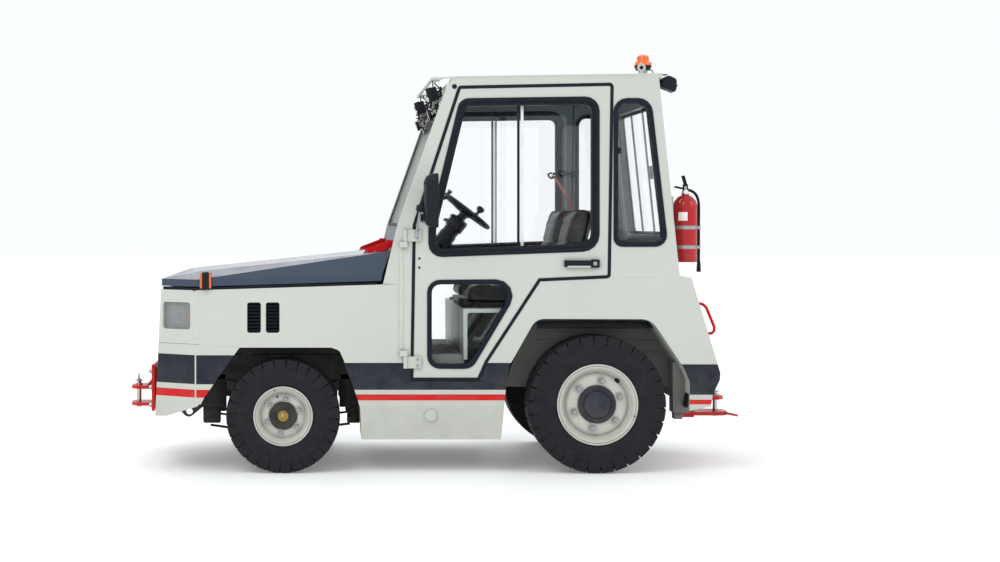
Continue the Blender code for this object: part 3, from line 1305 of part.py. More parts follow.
def rear_hitch():
    """Upper and lower plates on a block at the tail, bored for the pin, with a foot pedal."""
    root_x = TAIL_FOOT_X - SEAM
    face = root_x - 0.030
    hitch = box("block", (face, -0.11, 0.225), (FRAME_REAR_X - TAIL_PLATE - SEAM, 0.11, 0.4037))
    tip = TAIL_X - 0.185
    for low, high, end in ((0.232, 0.252, tip), (0.318, 0.336, tip + 0.022)):
        plate = plan_plate("jaw", [(face + 0.01, -0.09), (end + 0.03, -0.09, 0.0), (end, -0.05, 0.02),
                                   (end, 0.05, 0.02),
                                   (end + 0.03, 0.09, 0.0), (face + 0.01, 0.09)], low, high)
        join(hitch, plate)
    join(hitch, side_plate("pedal", [(tip + 0.02, 0.252), (tip + 0.02, 0.238), (tip - 0.052, 0.226),
                                     (tip - 0.052, 0.236)],
                           0.060, 0.085))
    pin_x = tip + 0.055
    cut(hitch, rod("pin_bore", (pin_x, 0, 0.20), (pin_x, 0, 0.37), HITCH_PIN_RADIUS + HITCH_PIN_PLAY))
    return as_part(hitch, "rear_hitch", "red_paint")


def grab_handle(name, side):
    """Bent round bar that stands off the sloped tail near its corner."""
    y = side * (HALF_WIDTH - 0.105)

    def tail_x(z):
        share = (BELT_Z - z) / (BELT_Z - TAIL_KNEE_Z)
        return TAIL_TOP_X + (TAIL_X - TAIL_TOP_X) * share

    def out(z, off):
        return (tail_x(z) - off, y, z)

    points = [out(0.857, 0.0), out(0.866, 0.020), out(0.860, 0.040), out(0.845, 0.052), out(0.745, 0.062),
              out(0.725, 0.056), out(0.712, 0.040), out(0.708, 0.0)]
    bar = tube("bar", points, 0.0075, 2)
    low, high = span(side, HALF_WIDTH - 0.150, HALF_WIDTH - 0.060)
    for z in (0.857, 0.708):
        foot = side_plate("foot", [(tail_x(z - 0.025) - SEAM, z - 0.025), (tail_x(z + 0.025) - SEAM,
                                                                           z + 0.025),
                                   (tail_x(z + 0.025) - 0.006, z + 0.025), (tail_x(z - 0.025) - 0.006,
                                                                            z - 0.025)],
                          low, high)
        join(bar, foot)
    trim_x = tail_x(0.5)
    trim = side_plate("trim", [(tail_x(0.60) - SEAM, 0.60), (tail_x(0.95) - SEAM, 0.95),
                               (trim_x + 0.3, 0.95),
                               (trim_x + 0.3, 0.60)], y - 0.2, y + 0.2)
    cut(bar, trim)
    return as_part(bar, name, "red_paint")


def fire_extinguisher():
    """Cylinder with its valve, handle and the hose clipped down its side to the nozzle."""
    x, y, z = EXTINGUISHER
    r = EXTINGUISHER_RADIUS
    profile = [
        (0.0, 0.357), (0.018, 0.352), (0.032, 0.345), (0.050, 0.330), (r, 0.300), (r, 0.006),
        (r - 0.006, 0.0),
        (0.0, 0.0),
    ]
    body = turned("cylinder", profile, steps=24)
    body.location = (x, y, z)
    join(body, rod("valve", (x, y, z + 0.340), (x, y, z + 0.395), 0.017, sides=16))
    lever = side_plate("lever", [(x - 0.010, z + 0.385), (x - 0.012, z + 0.400), (x + 0.040, z + 0.452,
                                                                                  0.006),
                                 (x + 0.050, z + 0.446, 0.006), (x + 0.020, z + 0.385)], y - 0.010,
                                 y + 0.010)
    join(body, lever)
    hose_x = x - r - 0.007
    hose = tube("hose", [(x, y, z + 0.372), (x - 0.030, y, z + 0.366), (x - 0.055, y, z + 0.345),
                         (hose_x, y, z + 0.300),
                         (hose_x, y, z + 0.200), (hose_x, y, z + 0.08), (hose_x, y, z + 0.0),
                         (hose_x, y, z - 0.010)], HOSE_RADIUS, 2)
    join(body, hose)
    join(body, rod("nozzle", (hose_x, y, z - 0.052), (hose_x, y, z + 0.004), 0.012, 0.009, sides=16))
    return as_part(body, "fire_extinguisher", "red_paint")


def beacon():
    x, y = BEACON
    z = roof_top_z(x) + 0.0008
    profile = [
        (0.0, 0.118), (0.018, 0.114), (0.028, 0.098), (0.029, 0.080), (0.045, 0.078), (0.047, 0.062),
        (0.040, 0.060),
        (0.038, 0.034), (0.022, 0.033), (0.022, 0.008), (0.045, 0.006), (0.045, 0.0), (0.0, 0.0),
    ]
    lamp = turned("beacon", profile, steps=24)
    lamp.location = (x, y, z)
    return as_part(lamp, "beacon", "amber")


def lamp_box(x, y, z, lean):
    half = [size / 2 for size in LAMP_SIZE]
    body = box("lamp", [-h for h in half], half)
    soften(body, 0.010, 2)
    body.location = (x, y, z)
    body.rotation_euler = (0, math.radians(lean), 0)
    return body


def front_work_lamps():
    """Two box lamps that hang from a bar across the roof's front edge."""
    x = ROOF_FRONT_X + 0.052
    z = ROOF_FRONT_UNDER_Z + 0.010
    tab_x = windscreen_x(z - 0.003, 0.004) + SEAM
    bar = box("bar", (x - 0.010, -HALF_WIDTH + 0.04, z - 0.010), (x + 0.010, HALF_WIDTH - 0.04, z + 0.010))
    for y in (-LAMP_Y, 0.0, LAMP_Y):
        join(bar, box("tab", (tab_x, y - 0.025, z - 0.003), (x, y + 0.025, z + 0.003)))
    for y in (-LAMP_Y, LAMP_Y):
        join(bar, box("stem", (x + 0.004, y - 0.015, z - 0.045), (x + 0.010, y + 0.015, z)))
        join(bar, lamp_box(x + 0.032, y, z - 0.075, LAMP_LEAN))
    return as_part(bar, "front_work_lamps", "plastic")


def rear_work_lamp():
    """Box lamp on a bent bracket that is bolted to the rear wall under the roof."""
    z = ROOF_UNDER_Z - 0.010
    y = LAMP_Y + 0.046
    x = ROOF_REAR_X - 0.062
    wall_x = rear_wall_x(z) - SEAM
    bracket = side_plate("bracket", [
        (x, z), (x, z - 0.006), (wall_x - 0.006, z - 0.006), (rear_wall_x(z - 0.06) - 0.006, z - 0.06),
        (rear_wall_x(z - 0.06) - SEAM, z - 0.06), (wall_x, z)], y - 0.020, y + 0.020)
    join(bracket, lamp_box(x, y, z, -LAMP_LEAN))
    return as_part(bracket, "rear_work_lamp", "plastic")


# ---------------------------------------------------------------- assembly
def build():
    chassis_frame()
    engine_block()
    front_axle()
    rear_axle()
    steering_wheel(pivot("steering_wheel_axis", WHEEL_HUB))
    steering_column()
    bonnet(pivot("bonnet_axis", (BONNET_HINGE_X, 0, BONNET_HINGE_Z)))
    nose_panel()
    front_bumper()
    cab_cowl()
    cab_floor()
    cab_roof()
    cab_rear_panel()
    tail_panel()
    windscreen()
    rear_window()
    front_hitch()
    face = FRONT_HITCH_X + 0.050
    hitch_pin("front_hitch_pin", face + 0.092, 0.272, 0.394, 0.425)
    rear_hitch()
    hitch_pin("rear_hitch_pin", TAIL_X - 0.130, 0.222, 0.336, 0.362)
    fire_extinguisher()
    beacon()
    front_work_lamps()
    rear_work_lamp()
    for word, side in both_sides():
        axis = (FRONT_AXLE_X, side * KINGPIN_Y, FRONT_TYRE_RADIUS)
        kingpin = pivot(word + "_kingpin", axis)
        steering_knuckle("steering_knuckle_" + word, side, kingpin)
        if side > 0:
            stud = (FRONT_AXLE_X - STEER_ARM, KINGPIN_Y, TIE_ROD_Z)
            tie_rod(pivot("tie_rod_stud", stud, kingpin))
        place = (FRONT_AXLE_X, side * FRONT_WHEEL_Y, FRONT_TYRE_RADIUS)
        hub = pivot("front_hub_" + word, place, kingpin)
        front_rim("front_rim_" + word, place, side, hub)
        tyre("front_tyre_" + word, FRONT_TYRE_RADIUS, FRONT_TYRE_WIDTH, FRONT_RIM_RADIUS, place, side, hub)
        place = (REAR_AXLE_X, side * REAR_WHEEL_Y, REAR_TYRE_RADIUS)
        hub = pivot("rear_hub_" + word, place)
        rear_rim("rear_rim_" + word, place, side, hub)
        tyre("rear_tyre_" + word, REAR_TYRE_RADIUS, REAR_TYRE_WIDTH, REAR_RIM_RADIUS, place, side, hub)
        side_panel("side_panel_" + word, side)
        skirt("skirt_" + word, side)
        rear_fender("rear_fender_" + word, side)
        hinge_post(cab_side("cab_side_" + word, side), side)
        quarter_window("quarter_window_" + word, side)
        hinge = pivot("door_hinge_" + word, door_pivot(side))
        door("door_" + word, side, hinge)
        door_window("door_window_" + word, side, UPPER_WINDOW, hinge)
        door_window("door_lower_window_" + word, side, LOWER_WINDOW, hinge)
        door_mirror("door_mirror_" + word, side, hinge)
        grab_handle("grab_handle_" + word, side)
    seat("driver_seat", SEAT_Y)
    seat("passenger_seat", -SEAT_Y)


build()
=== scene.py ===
# %% [markdown]
# # Airport baggage tug
# This lesson dresses a finished mechanical model of a small towing tractor: a steel cab with glass all
# round, a long bonnet, four industrial tyres and a drop-pin hitch at each end.  The mechanical model is
# already packed as named bodies with joints, so nothing here moves or resizes it.  Each step adds the
# surface that people see and says which body it rides on, so that doors, wheels and bonnet still work.

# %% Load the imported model
import json
import math

import bmesh
import bpy
from mathutils import Matrix, Vector


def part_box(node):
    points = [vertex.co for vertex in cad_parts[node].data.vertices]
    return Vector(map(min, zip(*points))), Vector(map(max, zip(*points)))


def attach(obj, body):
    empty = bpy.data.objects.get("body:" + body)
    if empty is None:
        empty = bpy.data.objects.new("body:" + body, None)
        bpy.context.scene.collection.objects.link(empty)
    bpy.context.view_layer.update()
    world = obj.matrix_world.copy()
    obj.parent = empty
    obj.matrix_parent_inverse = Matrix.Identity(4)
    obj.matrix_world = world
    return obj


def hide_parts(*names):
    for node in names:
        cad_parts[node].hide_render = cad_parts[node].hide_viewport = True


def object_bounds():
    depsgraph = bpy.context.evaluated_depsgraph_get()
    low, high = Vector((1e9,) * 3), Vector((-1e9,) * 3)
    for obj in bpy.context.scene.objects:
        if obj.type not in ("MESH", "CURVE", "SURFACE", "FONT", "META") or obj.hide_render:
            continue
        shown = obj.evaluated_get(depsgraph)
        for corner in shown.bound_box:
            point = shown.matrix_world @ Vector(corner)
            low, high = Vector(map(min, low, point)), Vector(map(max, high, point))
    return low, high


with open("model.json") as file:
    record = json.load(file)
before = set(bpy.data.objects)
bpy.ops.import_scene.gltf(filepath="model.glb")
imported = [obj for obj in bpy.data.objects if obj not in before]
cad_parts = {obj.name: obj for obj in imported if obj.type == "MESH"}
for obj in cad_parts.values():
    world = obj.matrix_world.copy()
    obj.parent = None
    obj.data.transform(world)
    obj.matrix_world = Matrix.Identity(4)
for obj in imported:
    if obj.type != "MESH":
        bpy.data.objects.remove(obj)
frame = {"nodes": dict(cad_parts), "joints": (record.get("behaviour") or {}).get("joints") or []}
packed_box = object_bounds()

print("nodes:", len(frame["nodes"]), "box:", [[round(v, 3) for v in corner] for corner in packed_box])

# %% [markdown]
# ## Camera, floor and light
# The tug is seen square from its left side, from ten metres away at eye height, with a long lens: doors
# and wheels keep their true outline and the far windows show through the near ones.  The floor is a plain
# pale sheet, and the light is a bright overcast sky with two large soft boxes, which is how white paint is
# usually shown: no hard shadows, only a soft one under the tyres.

# %% Camera
scene = bpy.context.scene
scene.view_settings.view_transform = "Standard"
camera = bpy.data.objects.new("camera", bpy.data.cameras.new("camera"))
camera.location = (0.634, 10.025, 1.284)
camera.rotation_euler = (math.radians(90), 0, math.radians(180))
camera.data.lens = 65.8
camera.data.sensor_width = 36
camera.data.shift_x = 0.182
camera.data.shift_y = -0.059
scene.collection.objects.link(camera)
scene.camera = camera
print("camera at", tuple(camera.location), "with a", camera.data.lens, "mm lens")


# %% Soft boxes and sky
def soft_box(name, place, aim, width, watts):
    light = bpy.data.objects.new(name, bpy.data.lights.new(name, "AREA"))
    light.data.shape = "DISK"
    light.data.size = width
    light.data.energy = watts
    light.location = place
    light.rotation_euler = (Vector(aim) - Vector(place)).to_track_quat("-Z", "Y").to_euler()
    scene.collection.objects.link(light)
    return light


MIDDLE = (0.0, 0.0, 0.9)
soft_box("key_box", (3.5, 6.0, 6.5), MIDDLE, 5.0, 210)
soft_box("fill_box", (-6.0, 3.0, 4.0), MIDDLE, 4.0, 60)
soft_box("back_box", (1.0, -7.0, 5.0), MIDDLE, 5.0, 110)
sky = bpy.data.worlds.new("overcast_sky")
scene.world = sky
sky.use_nodes = True
sky.node_tree.nodes["Background"].inputs["Color"].default_value = (0.96, 0.98, 1.0, 1)
sky.node_tree.nodes["Background"].inputs["Strength"].default_value = 1.02

# %% [markdown]
# ## Colours and nodes
# Paint shops write colours as sRGB hex codes, and Blender's shaders want linear light, so one function
# turns a code into a linear colour.  Every pattern below is built from nodes, and one small function adds
# a node with its settings and its links.  Patterns read Object coordinates: every mesh here keeps its
# place in its own vertices, so those coordinates are metres on the tug and stay with a part as it moves.


# %% Colour and node helpers
def colour(code):
    """Linear RGBA of an sRGB hex code."""
    channels = []
    for i in (0, 2, 4):
        value = int(code[i:i + 2], 16) / 255
        channels.append(value / 12.92 if value <= 0.04045 else ((value + 0.055) / 1.055) ** 2.4)
    return (*channels, 1.0)


def shade(code, share):
    """A hex colour made darker or lighter in linear light."""
    return (*(min(1.0, share * value) for value in colour(code)[:3]), 1.0)


def add_node(tree, kind, inputs=None, **settings):
    """Adds one node; an input is given a value or, if it is another node's socket, a link."""
    node = tree.nodes.new(kind)
    for name, value in settings.items():
        setattr(node, name, value)
    for name, value in (inputs or {}).items():
        if isinstance(value, bpy.types.NodeSocket):
            tree.links.new(value, node.inputs[name])
        else:
            node.inputs[name].default_value = value
    return node


def new_material(name, code, roughness, metallic=0.0, **sockets):
    """A named Principled material.  Even values go straight on the shader's own sockets."""
    material = bpy.data.materials.new(name)
    material.use_nodes = True
    shader = material.node_tree.nodes["Principled BSDF"]
    shader.inputs["Base Color"].default_value = colour(code)
    shader.inputs["Roughness"].default_value = roughness
    shader.inputs["Metallic"].default_value = metallic
    for socket, value in sockets.items():
        shader.inputs[socket.replace("_", " ")].default_value = value
    material.diffuse_color = colour(code)
    return material, material.node_tree, shader


print("body white in linear light:", [round(v, 3) for v in colour("D3D5CF")])


# %% [markdown]
# ## Patterns that several finishes share
# Real paint is never one flat tone.  Three small patterns give it away: slow drifts in tone across a panel,
# dust that thickens towards the ground, and rubbed edges; a fourth layer paints shade into corners.
# Each one is a function that takes the colour so far and returns the colour with its layer on top.


# %% Layers of tone, dust, painted corner shade and wear
MM = 0.001


def place_of(tree):
    return add_node(tree, "ShaderNodeTexCoord").outputs["Object"]


def noise(tree, size, detail=3.0, roughness=0.55, stretch=None):
    """Noise whose blobs are about `size` metres across."""
    place = place_of(tree)
    if stretch:
        place = add_node(tree, "ShaderNodeMapping", {"Vector": place, "Scale": stretch}).outputs["Vector"]
    made = add_node(tree, "ShaderNodeTexNoise", {"Vector": place, "Scale": 1 / size, "Detail": detail,
        "Roughness": roughness})
    return made.outputs["Fac"]


def between(tree, value, low, high, to_low=0.0, to_high=1.0):
    made = add_node(tree, "ShaderNodeMapRange", {"Value": value, "From Min": low, "From Max": high,
        "To Min": to_low, "To Max": to_high})
    return made.outputs["Result"]


def maths(tree, operation, a, b, c=None):
    node = add_node(tree, "ShaderNodeMath", operation=operation)
    for socket, value in zip(node.inputs, (a, b, c)):
        if isinstance(value, bpy.types.NodeSocket):
            tree.links.new(value, socket)
        elif value is not None:
            socket.default_value = value
    return node.outputs["Value"]


def blend_over(tree, under, over, share):
    """The colour `under` with `over` laid on it where `share` is 1."""
    node = add_node(tree, "ShaderNodeMix", data_type="RGBA")
    for socket, value in ((node.inputs[0], share), (node.inputs[6], under), (node.inputs[7], over)):
        if isinstance(value, bpy.types.NodeSocket):
            tree.links.new(value, socket)
        else:
            socket.default_value = value
    return node.outputs[2]


def drift(tree, under, darker, size=0.45):
    return blend_over(tree, under, darker, between(tree, noise(tree, size, 2.0), 0.35, 0.75, 0.0, 0.55))


def dust(tree, under, code="8B8375", amount=0.3, top=0.75):
    """Road dust, thickest near the ground."""
    height = add_node(tree, "ShaderNodeSeparateXYZ", {"Vector": place_of(tree)}).outputs["Z"]
    low_down = between(tree, height, top, 0.12, 0.0, 1.0)
    patchy = between(tree, noise(tree, 0.09, 6.0, 0.65), 0.38, 0.72, 0.25, 1.0)
    share = maths(tree, "MULTIPLY", maths(tree, "MULTIPLY", low_down, patchy), amount)
    return blend_over(tree, under, colour(code), share)


def corner_shade_and_dust(tree, under, code="3B3833", amount=0.45, reach=0.022):
    """Painted shade in corners, where a point sees little open air; with a light colour it is dust in
    hollows.
    """
    seen = add_node(tree, "ShaderNodeAmbientOcclusion", {"Distance": reach}, samples=5, only_local=True)
    hidden = between(tree, seen.outputs["AO"], 0.85, 0.3, 0.0, amount)
    return blend_over(tree, under, colour(code), hidden)


def rubbed_edges(tree, under, code, amount=0.5, width=0.004):
    """Edges rubbed thin: the softened normal differs from the true one only near an edge."""
    soft = add_node(tree, "ShaderNodeBevel", {"Radius": width}, samples=4).outputs["Normal"]
    true = add_node(tree, "ShaderNodeNewGeometry").outputs["Normal"]
    same = add_node(tree, "ShaderNodeVectorMath", {0: soft, 1: true},
        operation="DOT_PRODUCT").outputs["Value"]
    edge = between(tree, same, 0.985, 0.8, 0.0, 1.0)
    broken = between(tree, noise(tree, 0.03, 5.0, 0.7), 0.52, 0.66, 0.0, amount)
    return blend_over(tree, under, colour(code), maths(tree, "MULTIPLY", edge, broken))


def bump(tree, shader, height, depth, strength=1.0):
    """Lays a bump of `depth` metres over the shader's normal, on top of any bump it has."""
    node = add_node(tree, "ShaderNodeBump", {"Height": height, "Distance": depth, "Strength": strength})
    socket = shader.inputs["Normal"]
    if socket.links:
        tree.links.new(socket.links[0].from_socket, node.inputs["Normal"])
    tree.links.new(node.outputs["Normal"], socket)


def vary_roughness(tree, shader, size, low, high):
    tree.links.new(between(tree, noise(tree, size, 4.0), 0.3, 0.7, low, high), shader.inputs["Roughness"])


print("a millimetre is", MM, "here")

# %% [markdown]
# ## Sprayed enamel
# The body is folded steel sheet, primed and sprayed with two-pack enamel, then oven dried.  That gives a
# satin gloss under a faint orange peel of about 3 mm, and a panel that is never quite flat.  Two painted
# bands run round the lower body, a slate one and a narrow red one.  They could be thin decal meshes, but
# they are paint, so they are masked in the paint's own nodes by height, and only on the outer faces.


# %% Enamel
CAB_CENTRE = (-0.45, 0.0, 1.3)
WINDSCREEN_POST_X = -0.055     # ahead of this the posts are white inside as well


def facing_inwards(tree):
    """1 on the faces that look towards the middle of the cab, which carry its lining."""
    to_middle = add_node(tree, "ShaderNodeVectorMath", {0: CAB_CENTRE, 1: place_of(tree)},
        operation="SUBTRACT")
    facing = add_node(tree, "ShaderNodeTexCoord").outputs["Normal"]
    towards = add_node(tree, "ShaderNodeVectorMath", {0: to_middle.outputs["Vector"], 1: facing},
        operation="DOT_PRODUCT")
    faces_in = maths(tree, "GREATER_THAN", towards.outputs["Value"], 0.3)
    along = add_node(tree, "ShaderNodeSeparateXYZ", {"Vector": place_of(tree)}).outputs["X"]
    return maths(tree, "MULTIPLY", faces_in, maths(tree, "LESS_THAN", along, WINDSCREEN_POST_X))


def enamel(name, code, roughness=0.33, bands=(), dusty=0.3, worn="8F9296", lining=None, gloss=0.12):
    material, tree, shader = new_material(name, code, roughness, Coat_Weight=0.06, Coat_Roughness=0.12,
        Specular_IOR_Level=gloss)
    tone = drift(tree, colour(code), shade(code, 0.9))
    if bands:
        axes = add_node(tree, "ShaderNodeSeparateXYZ", {"Vector": place_of(tree)}).outputs
        far_out = maths(tree, "GREATER_THAN", maths(tree, "ABSOLUTE", axes["Y"], 0.0), 0.7215)
        far_along = maths(tree, "GREATER_THAN", maths(tree, "ABSOLUTE", axes["X"], 0.0), 1.262)
        outside = maths(tree, "MAXIMUM", far_out, far_along)
        for low, high, band_code in bands:
            in_band = maths(tree, "COMPARE", axes["Z"], (low + high) / 2, (high - low) / 2)
            tone = blend_over(tree, tone, colour(band_code), maths(tree, "MULTIPLY", in_band, outside))
    if lining:
        tone = blend_over(tree, tone, colour(lining), facing_inwards(tree))
    tone = dust(tree, tone, amount=dusty)
    # painted shade: the enamel's corners are darkened where they see little open air
    tone = corner_shade_and_dust(tree, tone)
    tone = rubbed_edges(tree, tone, worn, amount=0.35)
    tree.links.new(tone, shader.inputs["Base Color"])
    vary_roughness(tree, shader, 0.12, roughness - 0.05, roughness + 0.09)
    bump(tree, shader, noise(tree, 3.0 * MM, 2.0), 0.05 * MM, 0.6)
    bump(tree, shader, noise(tree, 0.22, 1.0), 0.8 * MM, 0.35)
    return material


BODY_WHITE = "BEC1BA"
SLATE = "131C2B"
SIGNAL_RED = "C2040E"
body_enamel = enamel("white_two_pack_enamel", BODY_WHITE)
cab_enamel = enamel("white_enamel_lined_grey", BODY_WHITE, lining="747E85")
inside_enamel = enamel("pale_green_grey_enamel", "A9B1AB")
bonnet_enamel = enamel("slate_two_pack_enamel", "29374A", roughness=0.3, gloss=0.5)
hitch_enamel = enamel("signal_red_enamel", SIGNAL_RED, roughness=0.3, worn="70767C")
bumper_enamel = enamel("white_enamel_banded_bumper", BODY_WHITE, bands=[(0.458, 0.606, SLATE),
    (0.39, 0.43, SIGNAL_RED)])
sill_enamel = enamel("white_enamel_banded_sill", BODY_WHITE, bands=[(0.43, 0.5672, SLATE),
    (0.376, 0.407, SIGNAL_RED)])
tail_enamel = enamel("white_enamel_banded_tail", BODY_WHITE, bands=[(0.405, 0.56, SLATE),
    (0.356, 0.38, SIGNAL_RED)])
wheel_enamel = enamel("white_wheel_enamel", "C2C3BB", roughness=0.36, dusty=0.5)
print("enamels:", [m.name for m in bpy.data.materials if "enamel" in m.name])

# %% [markdown]
# ## Chassis black, hammered grey and engine iron
# Frame, axles and brackets get one coat of semi-matt chassis black over blasted steel: rougher, grainier,
# and dusted most.  The cab's inside is textured grey, sprayed thick so that it hides hand marks; its grain
# is about 1.5 mm.  The engine is cast iron under brushed grey paint.


# %% Frame, cab lining and engine finishes
def chassis_paint(name="chassis_black_paint"):
    material, tree, shader = new_material(name, "1D2024", 0.55)
    tone = drift(tree, colour("1D2024"), colour("2A2D30"), 0.2)
    tone = dust(tree, tone, "6F675A", 0.55, 0.8)
    tone = rubbed_edges(tree, tone, "5A534B", 0.5)
    tree.links.new(tone, shader.inputs["Base Color"])
    vary_roughness(tree, shader, 0.06, 0.45, 0.75)
    bump(tree, shader, noise(tree, 2.5 * MM, 3.0), 0.12 * MM, 0.8)
    return material


def textured_grey(name="textured_grey_lining", code="6A7076"):
    material, tree, shader = new_material(name, code, 0.55)
    tone = drift(tree, colour(code), shade(code, 0.82), 0.3)
    # painted shade: the lining's corners are darkened where they see little open air
    tree.links.new(corner_shade_and_dust(tree, tone, amount=0.6, reach=0.04), shader.inputs["Base Color"])
    bump(tree, shader, noise(tree, 1.5 * MM, 2.0), 0.18 * MM, 0.9)
    return material


def cast_iron(name="painted_cast_iron"):
    material, tree, shader = new_material(name, "4A5056", 0.62, 0.35)
    tone = drift(tree, colour("4A5056"), colour("34302B"), 0.1)
    tree.links.new(dust(tree, tone, "5B5145", 0.5, 1.0), shader.inputs["Base Color"])
    bump(tree, shader, noise(tree, 4.0 * MM, 5.0, 0.7), 0.6 * MM, 0.9)
    return material


frame_paint = chassis_paint()
cab_lining = textured_grey()
box_grey = textured_grey("textured_grey_wheel_box", "62645F")
engine_iron = cast_iron()
print("frame finishes ready")

# %% [markdown]
# ## Rubber and plastic
# Tyre rubber is carbon black cured in a steel mould, so its skin is smooth and slightly shiny until it has
# run: the tread then turns grey-brown with dust held in fine scuffs.  Window and door seals are extruded
# EPDM, duller and cleaner.  Mirrors, lamp bodies and levers are ABS moulded with a fine spark grain, which
# is 0.4 mm on the real part and drawn at 0.8 mm here so that it still shows.


# %% Rubber and moulded plastic
def tyre_rubber(name, tread_radius):
    material, tree, shader = new_material(name, "1B1B20", 0.62, Specular_IOR_Level=0.18)
    tone = drift(tree, colour("19191F"), colour("262628"), 0.07)
    tone = corner_shade_and_dust(tree, tone, "5F574B", 0.5, 0.018)
    tone = rubbed_edges(tree, tone, "4B473F", 0.8, 0.003)
    tree.links.new(tone, shader.inputs["Base Color"])
    vary_roughness(tree, shader, 0.05, 0.52, 0.78)
    bump(tree, shader, noise(tree, 1.6 * MM, 4.0, 0.6), 0.15 * MM, 0.7)
    bump(tree, shader, noise(tree, 0.02, 3.0), 0.5 * MM, 0.3)
    print(name, "for a tyre of radius", round(tread_radius, 3), "m")
    return material


def seal_rubber(name="epdm_seal_rubber"):
    material, tree, shader = new_material(name, "131720", 0.58, Specular_IOR_Level=0.16)
    tree.links.new(drift(tree, colour("12161F"), colour("1C212B"), 0.05), shader.inputs["Base Color"])
    bump(tree, shader, noise(tree, 1.2 * MM, 2.0), 0.06 * MM, 0.6)
    return material


def moulded_abs(name, code="12151C", roughness=0.45):
    material, tree, shader = new_material(name, code, roughness, Specular_IOR_Level=0.2)
    tone = drift(tree, colour(code), shade(code, 1.35), 0.08)
    tree.links.new(tone, shader.inputs["Base Color"])
    vary_roughness(tree, shader, 0.04, roughness - 0.06, roughness + 0.12)
    bump(tree, shader, noise(tree, 0.8 * MM, 2.0), 0.07 * MM, 0.8)
    return material


front_tyre_rubber = tyre_rubber("front_tyre_rubber", 0.292)
rear_tyre_rubber = tyre_rubber("rear_tyre_rubber", 0.352)
epdm_rubber = seal_rubber()
black_abs = moulded_abs("black_abs")
grey_abs = moulded_abs("grey_abs", "5A5F66", 0.5)
print("rubbers and plastics ready")

# %% [markdown]
# ## Glass, lenses and bright metal
# The windows are 5 mm toughened glass.  A solid block of it would look grey, because light crosses two
# faces and a ray tracer makes every crossing cost light, so the pane is mostly see-through by its alpha
# and keeps a true glass reflection on top.  Lenses are tinted polycarbonate.  Bolts are zinc plated: dull
# silver with a faint yellow-blue cast, and polished pins are plain bright steel with fine scratches.


# %% Glass, lenses and bright metal
def pane_glass(name="toughened_glass"):
    material, tree, shader = new_material(name, "E3ECEA", 0.02, IOR=1.52, Transmission_Weight=1.0,
        Alpha=0.07)
    smeary = between(tree, noise(tree, 0.12, 5.0, 0.65), 0.45, 0.75, 0.01, 0.1)
    tree.links.new(smeary, shader.inputs["Roughness"])
    return material


def lens(name, code, roughness=0.12, glow=0.0):
    material, tree, shader = new_material(name, code, roughness, IOR=1.58, Transmission_Weight=0.55,
        Coat_Weight=0.4, Emission_Color=colour(code), Emission_Strength=glow)
    rings = add_node(tree, "ShaderNodeTexWave", {"Vector": place_of(tree), "Scale": 52.0},
        wave_type="BANDS", bands_direction="Z")
    bump(tree, shader, rings.outputs["Fac"], 0.5 * MM, 0.6)
    return material


def plated_steel(name, code="A9ABAA", roughness=0.34, scratch=0.02):
    material, tree, shader = new_material(name, code, roughness, 1.0)
    tone = drift(tree, colour(code), colour("8C8678"), 0.02)
    # painted shade: dark colour in the corners round heads and pins, where little open air is seen
    tree.links.new(corner_shade_and_dust(tree, tone, "2C2924", 0.6, 0.008), shader.inputs["Base Color"])
    streaks = noise(tree, scratch, 3.0, 0.6, (1.0, 1.0, 14.0))
    tree.links.new(between(tree, streaks, 0.3, 0.7, roughness - 0.1, roughness + 0.16),
        shader.inputs["Roughness"])
    bump(tree, shader, noise(tree, 1.0 * MM, 2.0), 0.03 * MM, 0.5)
    return material


window_glass = pane_glass()
amber_lens = lens("amber_polycarbonate", "F07A1C", glow=0.1)
red_lens = lens("red_polycarbonate", "C01018")
clear_lens = lens("clear_polycarbonate", "E9EEEE", 0.08)
zinc_steel = plated_steel("zinc_plated_steel")
bright_steel = plated_steel("polished_steel", "C4C6C8", 0.22)
dark_steel = plated_steel("phosphated_steel", "3A3D42", 0.48)
brass = plated_steel("turned_brass", "B08A42", 0.3)
print("glass and metals ready")

# %% [markdown]
# ## A small kit of shapes
# Nearly everything on a tug is folded plate, turned bar, bent tube or a bolt.  Each function below adds one
# such shape to an open bmesh in its true place, and `fit` closes that bmesh into a named piece, gives it
# its finish and ties it to the body it rides on.  Building many bolts into one mesh keeps the scene light.


# %% Plates, rods and turned shapes
def new_shape():
    return bmesh.new()


def set_square(bm, verts, matrix):
    bmesh.ops.transform(bm, verts=verts, matrix=matrix)


def add_block(bm, low, high, round_by=0.0, turn=None, about=None, segments=2):
    """A block between two corners, its edges rounded, then turned about a point if asked."""
    low, high = Vector(low), Vector(high)
    verts = bmesh.ops.create_cube(bm, size=1.0)["verts"]
    set_square(bm, verts, Matrix.Translation((low + high) / 2) @ Matrix.Diagonal((*(high - low), 1.0)))
    if round_by > 0:
        edges = list({edge for vert in verts for edge in vert.link_edges})
        made = bmesh.ops.bevel(bm, geom=edges, offset=round_by, segments=segments, affect="EDGES",
            profile=0.5)
        verts = list({vert for face in made["faces"] for vert in face.verts} | {v for v in verts
            if v.is_valid})
    if turn is not None:
        about = Vector(about) if about is not None else (low + high) / 2
        set_square(bm, verts, Matrix.Translation(about) @ turn.to_4x4() @ Matrix.Translation(-about))
    return verts


def tipped(degrees, axis="Y"):
    return Matrix.Rotation(math.radians(degrees), 3, axis)


def aimed(start, direction):
    """A matrix whose Z runs along `direction` from `start`."""
    return Matrix.Translation(Vector(start)) @ Vector(direction).to_track_quat("Z",
        "Y").to_matrix().to_4x4()


def add_rod(bm, start, end, radius, end_radius=None, sides=24):
    start, end = Vector(start), Vector(end)
    made = bmesh.ops.create_cone(bm, cap_ends=True, segments=sides, radius1=radius,
        radius2=radius if end_radius is None else end_radius, depth=(end - start).length)["verts"]
    set_square(bm, made, aimed((start + end) / 2, end - start))
    return made


